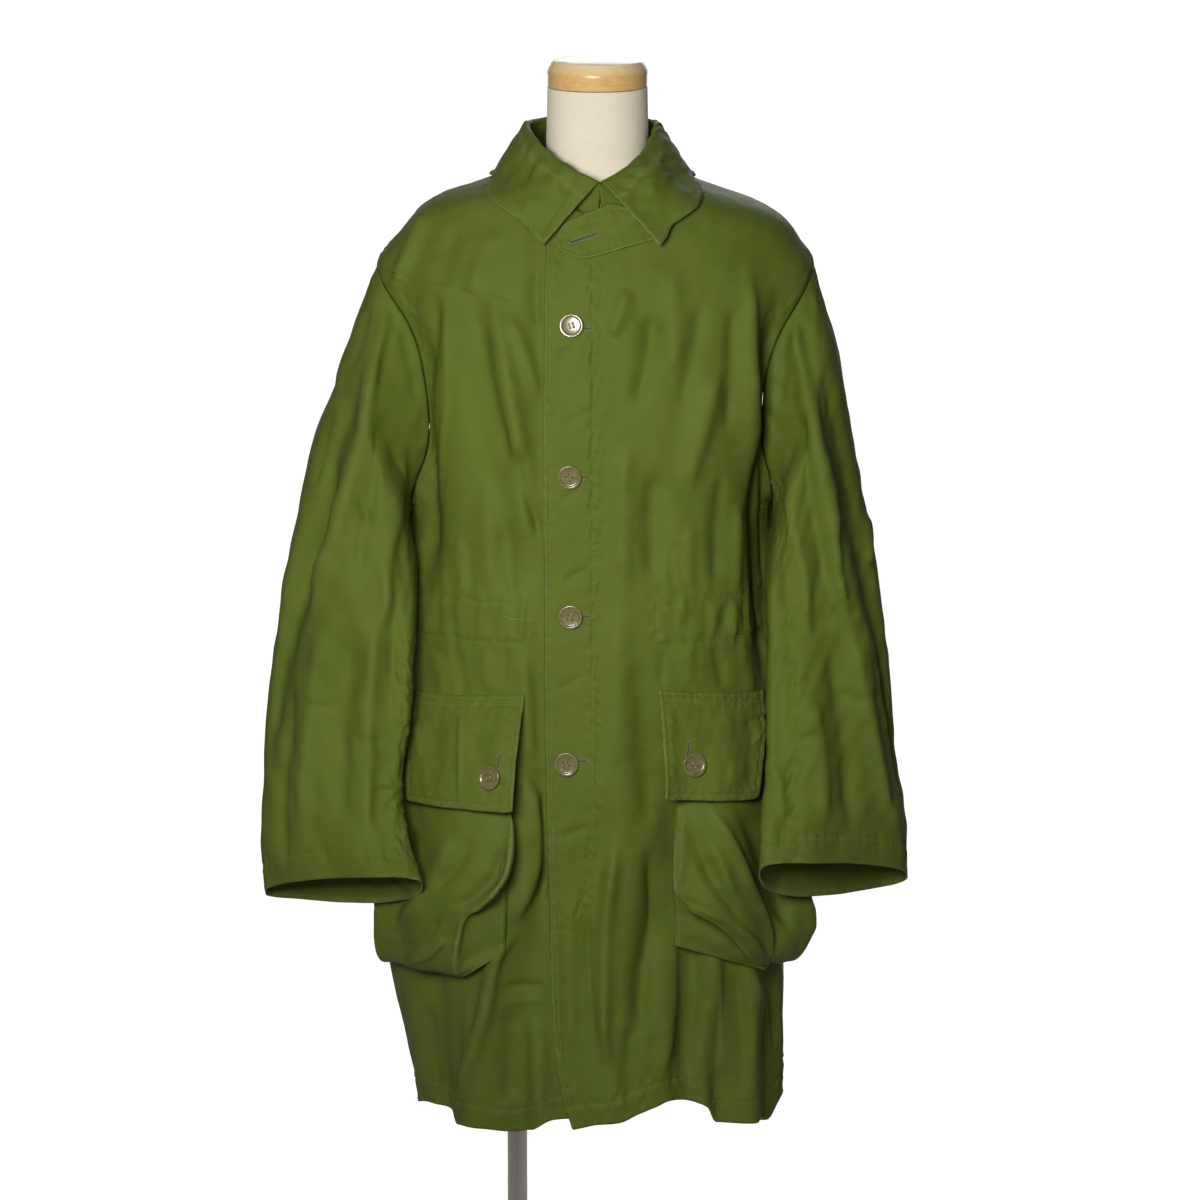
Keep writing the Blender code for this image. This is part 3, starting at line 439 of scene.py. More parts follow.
# ------------------------------------------------------------------ the body's surface
@dataclass
class BodySurface:
    """The coat's body as one surface, given by level sections and its large folds."""

    squareness: float = 2.4
    hem: float = 0.430
    neck_front: float = 1.364
    neck_side: float = 1.412
    neck_back: float = 1.418
    armhole_top: float = 1.305
    armhole_low: float = 1.060
    armhole_turn: float = 21.0
    side_turn: float = 90.0
    lap_turn: float = 4.0
    lap_slope: float = 9.0
    lap_rise: float = 0.0100
    lap_start: float = 24.0
    lap_blend: float = 8.0
    fold_start: float = 0.35
    fold_end: float = 0.2
    neck_curve: float = 0.8
    hem_reach: float = 4.0
    sections: list[Section] = field(default_factory=lambda: [
        Section(0.400, 0.185, 0.190, 0.173, 0.166),
        Section(0.430, 0.1845, 0.187, 0.172, 0.165),
        Section(0.500, 0.1975, 0.187, 0.169, 0.163),
        Section(0.560, 0.2115, 0.187, 0.166, 0.161),
        Section(0.620, 0.2195, 0.187, 0.163, 0.158),
        Section(0.700, 0.214, 0.190, 0.160, 0.154),
        Section(0.800, 0.210, 0.190, 0.156, 0.149),
        Section(0.900, 0.205, 0.187, 0.150, 0.143),
        Section(0.960, 0.202, 0.184, 0.147, 0.139),
        Section(1.060, 0.194, 0.178, 0.142, 0.134),
        Section(1.100, 0.195, 0.182, 0.140, 0.133),
        Section(1.150, 0.202, 0.192, 0.138, 0.131),
        Section(1.200, 0.212, 0.201, 0.133, 0.129),
        Section(1.250, 0.223, 0.210, 0.123, 0.125),
        Section(1.290, 0.2295, 0.2190, 0.113, 0.120),
        Section(1.305, 0.2275, 0.2185, 0.108, 0.118),
        Section(1.328, 0.2125, 0.2055, 0.098, 0.113),
        Section(1.350, 0.1945, 0.190, 0.089, 0.107),
        Section(1.366, 0.180, 0.1665, 0.082, 0.101),
        Section(1.378, 0.157, 0.133, 0.078, 0.096),
        Section(1.391, 0.115, 0.098, 0.074, 0.090),
        Section(1.406, 0.086, 0.076, 0.069, 0.083),
        Section(1.422, 0.074, 0.063, 0.063, 0.075),
        Section(1.440, 0.070, 0.060, 0.060, 0.070),
    ])
    folds: list[Fold] = field(default_factory=lambda: [
        Fold(-72.0, 1.360, -66.0, 0.960, 6.0, -0.0150),
        Fold(-59.0, 1.330, -30.0, 0.960, 6.0, -0.0050),
        Fold(-45.0, 1.320, -24.0, 1.020, 5.0, 0.0050),
        Fold(-31.0, 0.800, -47.0, 0.300, 5.5, 0.0130),
        Fold(-22.0, 0.760, -30.0, 0.300, 4.5, -0.0100),
        Fold(-54.0, 0.760, -58.0, 0.300, 4.5, -0.0080),
        Fold(-80.0, 0.800, -74.0, 0.300, 8.0, 0.0060),
        Fold(68.0, 1.360, 67.0, 0.860, 6.0, -0.0190),
        Fold(10.0, 1.150, 4.0, 0.300, 6.5, 0.0050),
        Fold(27.0, 0.900, 33.0, 0.300, 7.5, -0.0160),
        Fold(44.0, 0.640, 43.0, 0.300, 4.5, -0.0140),
        Fold(54.0, 0.700, 52.0, 0.300, 4.5, 0.0110),
        Fold(66.0, 0.700, 64.0, 0.300, 3.5, -0.0070),
        Fold(74.0, 0.780, 76.0, 0.300, 5.0, 0.0060),
        Fold(112.0, 1.300, 118.0, 0.900, 8.0, -0.0140),
        Fold(-112.0, 1.310, -117.0, 0.880, 8.0, -0.0150),
        Fold(142.0, 1.180, 152.0, 0.300, 9.0, 0.0060),
        Fold(-150.0, 1.120, -142.0, 0.300, 9.0, 0.0070),
        Fold(128.0, 0.860, 126.0, 0.300, 7.0, -0.0130),
        Fold(-127.0, 0.920, -124.0, 0.300, 7.0, -0.0120),
        Fold(170.0, 0.800, 172.0, 0.300, 8.0, -0.0110),
        Fold(-165.0, 0.700, -166.0, 0.300, 7.0, 0.0080),
        Fold(106.0, 0.700, 108.0, 0.300, 7.0, 0.0100),
        Fold(-106.0, 0.720, -104.0, 0.300, 7.0, 0.0110),
    ])
    over_edge: list[Edge] = field(default_factory=lambda: [
        Edge(0.400, 0.022, 0.0060),
        Edge(0.433, 0.029, 0.0065),
        Edge(0.455, 0.037, 0.0070),
        Edge(0.490, 0.044, 0.0080),
        Edge(0.560, 0.050, 0.0090),
        Edge(0.700, 0.054, 0.0110),
        Edge(0.820, 0.057, 0.0090),
        Edge(0.950, 0.058, 0.0045),
        Edge(1.180, 0.059, 0.0040),
        Edge(1.380, 0.061, 0.0035),
    ])
    hem_rise: list[Rise] = field(default_factory=lambda: [
        Rise(-180.0, 0.004), Rise(-140.0, 0.000), Rise(-105.0, 0.002), Rise(-92.0, 0.001),
        Rise(-80.0, 0.003), Rise(-68.0, 0.0114), Rise(-60.0, 0.0125), Rise(-56.0, 0.0105),
        Rise(-51.0, 0.000), Rise(-44.0, 0.0035), Rise(-38.0, 0.0020), Rise(-30.0, -0.0005),
        Rise(-24.0, 0.0030), Rise(-16.0, 0.0050), Rise(-9.0, 0.0064), Rise(-1.0, 0.0118),
        Rise(7.0, 0.0145), Rise(12.0, 0.0205), Rise(19.0, 0.0285), Rise(24.0, 0.0330),
        Rise(31.0, 0.0306), Rise(35.0, 0.0270), Rise(39.0, 0.0200), Rise(43.0, 0.0030),
        Rise(48.0, 0.0020), Rise(56.0, 0.0005), Rise(62.0, -0.004), Rise(67.0, -0.0075),
        Rise(71.0, 0.0060), Rise(75.0, 0.0140), Rise(79.0, 0.0120), Rise(88.0, 0.0064),
        Rise(108.0, 0.004), Rise(150.0, 0.000), Rise(180.0, 0.004),
    ])

    def fold_depth(self, turn: Array, height: Array) -> Array:
        """How far the large folds move the surface out."""
        depth = np.zeros(np.broadcast(turn, height).shape)
        for fold in self.folds:
            share = (fold.high - height) / (fold.high - fold.low)
            middle = fold.high_turn + (fold.low_turn - fold.high_turn) * share
            away = wrapped(turn - middle)
            window = ease(share / self.fold_start) * ease((1 - share) / self.fold_end)
            depth += fold.depth * window * bell(away, fold.spread)
        return depth

    @property
    def armhole_middle(self) -> float:
        """Height of the armholes' middle."""
        return (self.armhole_top + self.armhole_low) / 2

    @property
    def armhole_half(self) -> float:
        """Half the armholes' height."""
        return (self.armhole_top - self.armhole_low) / 2

    def point(self, turn: Array, height: Array, out: Array = 0.0) -> Array:
        """Points at turns from the front and heights, moved out.

        Args:
            turn: Degrees from the front, rising towards the wearer's left.
            height: Heights.
            out: How far the points are moved out.

        Returns:
            The points.
        """
        turn, height = np.broadcast_arrays(np.asarray(turn, float), np.asarray(height, float))
        across = np.sin(np.radians(turn))
        along = -np.cos(np.radians(turn))
        side = np.where(across < 0, column(self.sections, "minus_x", height),
                        column(self.sections, "plus_x", height))
        depth = np.where(along < 0, column(self.sections, "front", height),
                         column(self.sections, "back", height))
        radius = rounded_radius(across, along, side, depth, self.squareness)
        x, y = radius * across, radius * along
        normal = np.stack([x / side ** 2, y / depth ** 2], axis=-1)
        normal /= np.linalg.norm(normal, axis=-1, keepdims=True)
        move = self.fold_depth(turn, height) + out
        return np.stack([x + normal[..., 0] * move, y + normal[..., 1] * move, height], axis=-1)

    def turn_at(self, x: Array, height: Array) -> Array:
        """The turn at which the front of the section reaches x."""
        x, height = np.broadcast_arrays(np.asarray(x, float), np.asarray(height, float))
        side = np.where(x < 0, column(self.sections, "minus_x", height),
                        column(self.sections, "plus_x", height))
        share = np.clip(np.abs(x) / side, 0.0, 0.999)
        y = column(self.sections, "front", height) * (1 - share ** self.squareness) ** (
            1 / self.squareness)
        return np.degrees(np.arctan2(x, y))

    def armhole_reach(self, height: Array) -> Array:
        """Degrees that the armhole reaches away from the side line at a height."""
        off = (height - self.armhole_middle) / self.armhole_half
        share = np.clip(1 - off ** 2, 0.0, None)
        return self.armhole_turn * np.sqrt(share)

    def hem_height(self, turn: Array) -> Array:
        """Height of the hem at a turn from the front."""
        turn = wrapped(np.asarray(turn, float))
        return self.hem + column(self.hem_rise, "rise", turn, "turn")

    def neck_height(self, turn: Array) -> Array:
        """Height of the neck seam at a turn from the front."""
        turn = np.abs(np.asarray(turn, float))
        front = (self.neck_side - self.neck_front) * ease(
            turn / self.side_turn) ** self.neck_curve
        behind = (self.neck_back - self.neck_side) * ease(turn / self.side_turn - 1)
        return self.neck_front + front + behind

    def panel_heights(self, turn: Array, shares: Array, top: Array, lap: float = 0.0) -> Array:
        """Heights of a panel's rows, which follow the hem below and the neck seam above."""
        rise = self.hem_height(turn) - self.hem + lap * ease(
            (turn + self.lap_start) / self.lap_blend)
        fade = (1 - ease(shares * self.hem_reach))[:, None]
        return self.hem + shares[:, None] * (top - self.hem) + rise * fade

    def edge_turn(self, height: Array) -> Array:
        """Turn of the over front's free edge."""
        x = column(self.over_edge, "minus_x", height)
        return -np.degrees(np.arctan2(x, column(self.sections, "front", height)))

    def under_lap(self, turn: Array, height: Array) -> Array:
        """How far the under front stands back where the over front covers it."""
        start = self.edge_turn(height) - self.lap_slope
        return -ease((turn - start) / (self.lap_slope - 1.0)) * column(
            self.over_edge, "stand_off", height)

    def clear(self, point: Array, distance: float) -> Array:
        """The point, moved out where it would be nearer to the body than a distance."""
        if point[2] > self.neck_back:
            return point
        turn = math.degrees(math.atan2(point[0], -point[1]))
        limit = self.point(turn, point[2], distance)
        return point if np.hypot(*point[:2]) >= np.hypot(*limit[:2]) else limit


# ------------------------------------------------------------------ finishes
class NodeBook:
    """A material's node tree, filled node by node."""

    def __init__(self, name: str) -> None:
        """Starts a material of that name with an empty tree."""
        self.material = bpy.data.materials.new(name)
        self.material.use_nodes = True
        self.tree = self.material.node_tree
        self.tree.nodes.clear()
        self.place = self.add("ShaderNodeTexCoord").outputs["Object"]

    def add(self, kind: str, **values: object) -> bpy.types.Node:
        """Adds a node and sets its sockets by name and its settings by attribute.

        Args:
            kind: The node's type.
            values: Socket values, with _ for spaces, or settings in lower case.

        Returns:
            The node.
        """
        node = self.tree.nodes.new(kind)
        for name, value in values.items():
            socket = name.replace("_", " ")
            if socket in node.inputs:
                node.inputs[socket].default_value = value
            else:
                setattr(node, name, value)
        return node

    def join(self, source: bpy.types.NodeSocket, target: bpy.types.NodeSocket) -> None:
        """Links one socket to another."""
        self.tree.links.new(source, target)

    def noise(self, place: bpy.types.NodeSocket, scale: float, detail: float = 2.0,
              roughness: float = 0.5) -> bpy.types.NodeSocket:
        """A noise of that scale, read at a place."""
        node = self.add("ShaderNodeTexNoise", Scale=scale, Detail=detail, Roughness=roughness)
        self.join(place, node.inputs["Vector"])
        return node.outputs["Fac"]

    def stretch(self, place: bpy.types.NodeSocket, scale: tuple[float, float, float],
                turn: float = 0.0) -> bpy.types.NodeSocket:
        """A place scaled along its axes and turned about the third."""
        node = self.add("ShaderNodeMapping")
        node.inputs["Scale"].default_value = scale
        node.inputs["Rotation"].default_value = (0.0, 0.0, turn)
        self.join(place, node.inputs["Vector"])
        return node.outputs["Vector"]

    def maths(self, kind: str, first: object, second: object, clamp: bool = False
              ) -> bpy.types.NodeSocket:
        """A Math node on two sockets or numbers."""
        node = self.add("ShaderNodeMath", operation=kind, use_clamp=clamp)
        for slot, value in enumerate((first, second)):
            if isinstance(value, (int, float)):
                node.inputs[slot].default_value = value
            else:
                self.join(value, node.inputs[slot])
        return node.outputs[0]

    def span(self, value: bpy.types.NodeSocket, low: float, high: float, to_low: float = 0.0,
             to_high: float = 1.0) -> bpy.types.NodeSocket:
        """A value moved from one span to another, held at its ends."""
        node = self.add("ShaderNodeMapRange")
        for name, number in (("From Min", low), ("From Max", high), ("To Min", to_low),
                             ("To Max", to_high)):
            node.inputs[name].default_value = number
        self.join(value, node.inputs["Value"])
        return node.outputs["Result"]

    def mix(self, share: object, first: object, second: object, kind: str = "MIX"
            ) -> bpy.types.NodeSocket:
        """A mix of two colours, each a socket or a colour."""
        node = self.add("ShaderNodeMix", data_type="RGBA", blend_type=kind)
        for slot, value in ((0, share), (6, first), (7, second)):
            if isinstance(value, (int, float)):
                node.inputs[slot].default_value = value
            elif isinstance(value, tuple):
                node.inputs[slot].default_value = (*value, 1.0)
            else:
                self.join(value, node.inputs[slot])
        return node.outputs[2]

    def bump(self, height: bpy.types.NodeSocket, strength: float, distance: float,
             over: bpy.types.NodeSocket | None = None) -> bpy.types.NodeSocket:
        """A bump of that depth, on top of another where one is given."""
        node = self.add("ShaderNodeBump", Strength=strength, Distance=distance)
        self.join(height, node.inputs["Height"])
        if over is not None:
            self.join(over, node.inputs["Normal"])
        return node.outputs["Normal"]

    def finish(self, colour: object, normal: bpy.types.NodeSocket | None,
               roughness: object, **constants: object) -> bpy.types.Material:
        """Ends the tree in a Principled shader.

        Args:
            colour: A socket or a colour.
            normal: The bumped normal.
            roughness: A socket or a number.
            constants: Other sockets of the shader, with _ for spaces.

        Returns:
            The material.
        """
        shader = self.add("ShaderNodeBsdfPrincipled", **constants)
        for name, value in (("Base Color", colour), ("Roughness", roughness)):
            if isinstance(value, (int, float)):
                shader.inputs[name].default_value = value
            elif isinstance(value, tuple):
                shader.inputs[name].default_value = (*value, 1.0)
            else:
                self.join(value, shader.inputs[name])
        if normal is not None:
            self.join(normal, shader.inputs["Normal"])
        out = self.add("ShaderNodeOutputMaterial")
        self.join(shader.outputs["BSDF"], out.inputs["Surface"])
        return self.material


@dataclass(frozen=True)
class CottonFinish:
    """Close olive cotton, faded on its high places and worn pale along its edges."""

    colour: tuple[float, float, float] = (0.083, 0.112, 0.015)
    shade: tuple[float, float, float] = (0.063, 0.087, 0.010)
    faded: tuple[float, float, float] = (0.112, 0.143, 0.028)
    worn: tuple[float, float, float] = (0.19, 0.215, 0.08)
    thread: float = 0.00055
    roughness: float = 0.60

    def build(self, name: str, fade: float = 0.0) -> bpy.types.Material:
        """The material of one piece.

        Args:
            name: Its name.
            fade: How much more faded the piece is than the rest, from 0 to 1.

        Returns:
            The material.
        """
        book = NodeBook(name)
        place = book.place
        cloth = book.add("ShaderNodeUVMap", uv_map="cloth").outputs["UV"]
        broad = book.span(book.noise(place, 7.0, 3.0), 0.35, 0.65)
        mottle = book.span(book.noise(place, 46.0, 4.0, 0.6), 0.32, 0.68)
        slub = book.noise(book.stretch(cloth, (900.0, 60.0, 1.0)), 1.0, 2.0, 0.7)
        slub_across = book.noise(book.stretch(cloth, (60.0, 900.0, 1.0)), 1.0, 2.0, 0.7)
        tone = book.mix(book.span(broad, 0.0, 1.0, 0.15, 0.85), self.shade, self.colour)
        tone = book.mix(book.span(mottle, 0.0, 1.0, 0.0, 0.22), tone, self.faded)
        yarn = book.maths("ADD", slub, slub_across)
        tone = book.mix(book.span(yarn, 0.7, 1.3, 0.0, 0.16), tone, self.faded)
        if fade:
            tone = book.mix(fade, tone, self.faded)
        wear = book.add("ShaderNodeAttribute", attribute_name="wear").outputs["Fac"]
        patchy = book.span(book.noise(place, 130.0, 3.0, 0.7), 0.38, 0.62, 0.25, 1.0)
        rubbed = book.maths("MULTIPLY", wear, patchy, clamp=True)
        tone = book.mix(book.span(rubbed, 0.0, 1.0, 0.0, 0.55), tone, self.worn)
        period = 2 * math.pi / (20 * self.thread)
        weft = book.add("ShaderNodeTexWave", bands_direction="Y", Scale=period)
        warp = book.add("ShaderNodeTexWave", bands_direction="X", Scale=period)
        for node in (weft, warp):
            book.join(cloth, node.inputs["Vector"])
        weave = book.maths("MULTIPLY", weft.outputs["Fac"], warp.outputs["Fac"])
        crumple = book.noise(place, 38.0, 4.0, 0.55)
        seam = book.add("ShaderNodeAttribute", attribute_name="seam").outputs["Fac"]
        pucker = book.maths("MULTIPLY", seam, book.noise(place, 210.0, 2.0, 0.5))
        normal = book.bump(crumple, 0.20, 0.0030)
        normal = book.bump(pucker, 0.55, 0.0016, normal)
        normal = book.bump(yarn, 0.20, 0.00030, normal)
        normal = book.bump(weave, 0.30, 0.00018, normal)
        dull = book.span(mottle, 0.0, 1.0, self.roughness - 0.05, self.roughness + 0.05)
        return book.finish(tone, normal, dull, Specular_IOR_Level=0.20,
                           Specular_Tint=(0.72, 0.90, 0.38, 1.0))


@dataclass(frozen=True)
class ThreadFinish:
    """Sewing thread, a little paler and shinier than the cotton."""

    colour: tuple[float, float, float] = (0.135, 0.150, 0.050)

    def build(self, name: str) -> bpy.types.Material:
        """The thread's material."""
        book = NodeBook(name)
        place = book.place
        pale = tuple(min(1.0, part * 1.5) for part in self.colour)
        tone = book.mix(book.noise(place, 160.0, 2.0), self.colour, pale)
        normal = book.bump(book.noise(place, 2600.0, 1.0), 0.4, 0.0002)
        return book.finish(tone, normal, 0.62, Sheen_Weight=0.2)


@dataclass(frozen=True)
class ButtonFinish:
    """Moulded olive-brown plastic with faint clouds and a polished face."""

    colour: tuple[float, float, float] = (0.100, 0.082, 0.026)
    cloud: tuple[float, float, float] = (0.170, 0.148, 0.055)

    def build(self, name: str) -> bpy.types.Material:
        """The buttons' material."""
        book = NodeBook(name)
        place = book.place
        streak = book.noise(book.stretch(place, (140.0, 140.0, 420.0)), 1.0, 3.0, 0.6)
        tone = book.mix(book.span(streak, 0.35, 0.7), self.colour, self.cloud)
        scratch = book.noise(book.stretch(place, (2200.0, 300.0, 700.0), 0.6), 1.0, 2.0)
        normal = book.bump(scratch, 0.08, 0.0002)
        rough = book.span(book.noise(place, 300.0, 2.0), 0.3, 0.7, 0.17, 0.30)
        return book.finish(tone, normal, rough, Coat_Weight=0.5, Coat_Roughness=0.12)


@dataclass(frozen=True)
class LinenFinish:
    """Pale plain linen stretched over the form's padding."""

    colour: tuple[float, float, float] = (0.68, 0.62, 0.49)
    shade: tuple[float, float, float] = (0.57, 0.51, 0.39)

    def build(self, name: str) -> bpy.types.Material:
        """The linen's material."""
        book = NodeBook(name)
        place = book.place
        upright = book.noise(book.stretch(place, (1100.0, 1100.0, 110.0)), 1.0, 3.0, 0.7)
        level = book.noise(book.stretch(place, (90.0, 90.0, 1300.0)), 1.0, 3.0, 0.7)
        yarn = book.maths("ADD", upright, level)
        cloud = book.noise(place, 24.0, 3.0)
        share = book.maths("MULTIPLY", book.span(yarn, 0.7, 1.3), book.span(cloud, 0.2, 0.9))
        tone = book.mix(share, self.colour, self.shade)
        normal = book.bump(yarn, 0.45, 0.0005)
        return book.finish(tone, normal, 0.86, Sheen_Weight=0.15)


@dataclass(frozen=True)
class WoodFinish:
    """Varnished maple, with rings on the top and long grain round the rim; the top's paler tone is a
    painted highlight.
    """

    pale: tuple[float, float, float] = (0.80, 0.66, 0.42)
    deep: tuple[float, float, float] = (0.55, 0.33, 0.115)

    def build(self, name: str) -> bpy.types.Material:
        """The wood's material."""
        book = NodeBook(name)
        place = book.place
        grain = book.noise(book.stretch(place, (30.0, 330.0, 420.0), 0.5), 1.0, 4.0, 0.6)
        rings = book.add("ShaderNodeTexWave", wave_type="BANDS", bands_direction="Y", Scale=22.0,
                         Distortion=3.2, Detail=3.0, Detail_Scale=1.4)
        book.join(book.stretch(place, (1.0, 1.0, 1.0), 0.5), rings.inputs["Vector"])
        normal_z = book.add("ShaderNodeSeparateXYZ")
        book.join(book.add("ShaderNodeNewGeometry").outputs["Normal"], normal_z.inputs["Vector"])
        # painted highlight: faces that look up get the paler ring colour; the rings are the wood's
        # own, the paler tone stands for the varnish's bright top
        top = book.span(normal_z.outputs["Z"], 0.2, 0.8)
        side = book.mix(book.span(grain, 0.3, 0.7), self.deep, (0.66, 0.43, 0.17))
        face = book.mix(book.span(rings.outputs["Fac"], 0.1, 0.9, 0.0, 0.35), self.pale,
                        (0.70, 0.53, 0.29))
        tone = book.mix(top, side, face)
        normal = book.bump(grain, 0.12, 0.0004)
        return book.finish(tone, normal, 0.34, Coat_Weight=0.45, Coat_Roughness=0.18)


@dataclass(frozen=True)
class ChromeFinish:
    """Bright plated steel with faint drawn lines."""

    colour: tuple[float, float, float] = (0.46, 0.42, 0.35)

    def build(self, name: str) -> bpy.types.Material:
        """The plating's material."""
        book = NodeBook(name)
        place = book.place
        drawn = book.noise(book.stretch(place, (1500.0, 1500.0, 12.0)), 1.0, 2.0)
        smear = book.noise(place, 34.0, 3.0)
        rough = book.span(smear, 0.3, 0.7, 0.10, 0.20)
        tone = book.mix(book.span(smear, 0.2, 0.8, 0.0, 0.25), self.colour, (0.36, 0.33, 0.27))
        normal = book.bump(drawn, 0.05, 0.0003)
        return book.finish(tone, normal, rough, Metallic=1.0)


@dataclass(frozen=True)
class FloorFinish:
    """Plain pale studio floor."""

    colour: tuple[float, float, float] = (0.93, 0.93, 0.925)

    def build(self, name: str) -> bpy.types.Material:
        """The floor's material."""
        book = NodeBook(name)
        place = book.place
        tone = book.mix(book.span(book.noise(place, 3.0, 3.0), 0.3, 0.7, 0.0, 0.10), self.colour,
                        (0.90, 0.90, 0.90))
        return book.finish(tone, None, 0.8)


class Slot(Enum):
    """The record's material slots."""

    COTTON = "olive_cotton"
    BUTTON = "button"
    LINEN = "linen"
    WOOD = "wood"
    CHROME = "chrome"


# ------------------------------------------------------------------ objects
def new_object(name: str, points: Array, faces: Sequence[Sequence[int]],
               edges: Sequence[tuple[int, int]] = ()) -> bpy.types.Object:
    """A mesh object of those points, faces and edges, in the scene."""
    mesh = bpy.data.meshes.new(name)
    mesh.from_pydata(np.asarray(points, float).reshape(-1, 3).tolist(), edges, faces)
    made = bpy.data.objects.new(name, mesh)
    bpy.context.scene.collection.objects.link(made)
    return made


def choose(made: bpy.types.Object) -> None:
    """Makes an object the only selected and the active one."""
    bpy.ops.object.select_all(action="DESELECT")
    bpy.context.view_layer.objects.active = made
    made.select_set(True)


def smooth_by_angle(made: bpy.types.Object, degrees: float) -> None:
    """Shades an object smooth, but for its edges sharper than an angle."""
    choose(made)
    bpy.ops.object.shade_smooth_by_angle(angle=math.radians(degrees))


def apply_modifiers(made: bpy.types.Object) -> None:
    """Applies all modifiers of an object."""
    choose(made)
    for modifier in list(made.modifiers):
        bpy.ops.object.modifier_apply(modifier=modifier.name)
    made.select_set(False)


def ride(made: bpy.types.Object, nodes: Sequence[str] = ()) -> None:
    """Lets an object ride on the part, in place of the nodes that it stands for."""
    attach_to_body(made, "root")
    if nodes:
        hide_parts(*nodes)


def lay_in_place(made: bpy.types.Object, finish: bpy.types.Material,
                 nodes: Sequence[str] = ()) -> bpy.types.Object:
    """Bakes an object's place into its mesh, dresses it and lets it ride on the part."""
    made.data.transform(made.matrix_world)
    made.matrix_world = Matrix.Identity(4)
    made.data.materials.clear()
    made.data.materials.append(finish)
    ride(made, nodes)
    return made


# ------------------------------------------------------------------ cloth
class Sewing(NamedTuple):
    """How deep a sewn line sinks and how high the cloth beside it puckers, in metres."""

    depth: float
    pucker: float


FAR = 1.0
TURN_UP = 0.0005
HEM_SEWING = Sewing(0.0008, 0.0010)
EDGE_SEWING = Sewing(0.0007, 0.0004)
PLACKET_SEWING = Sewing(0.0009, 0.0010)
CASING_SEWING = Sewing(0.0010, 0.0007)
CASING_END_SEWING = Sewing(0.0008, 0.0007)
SLEEVE_SEWING = Sewing(0.0010, 0.0011)
COLLAR_SEWING = Sewing(0.0006, 0.0005)
TAB_SEWING = Sewing(0.0006, 0.0004)
POCKET_SEWING = Sewing(0.0005, 0.0004)
FLAP_TOP_SEWING = Sewing(0.0007, 0.0005)


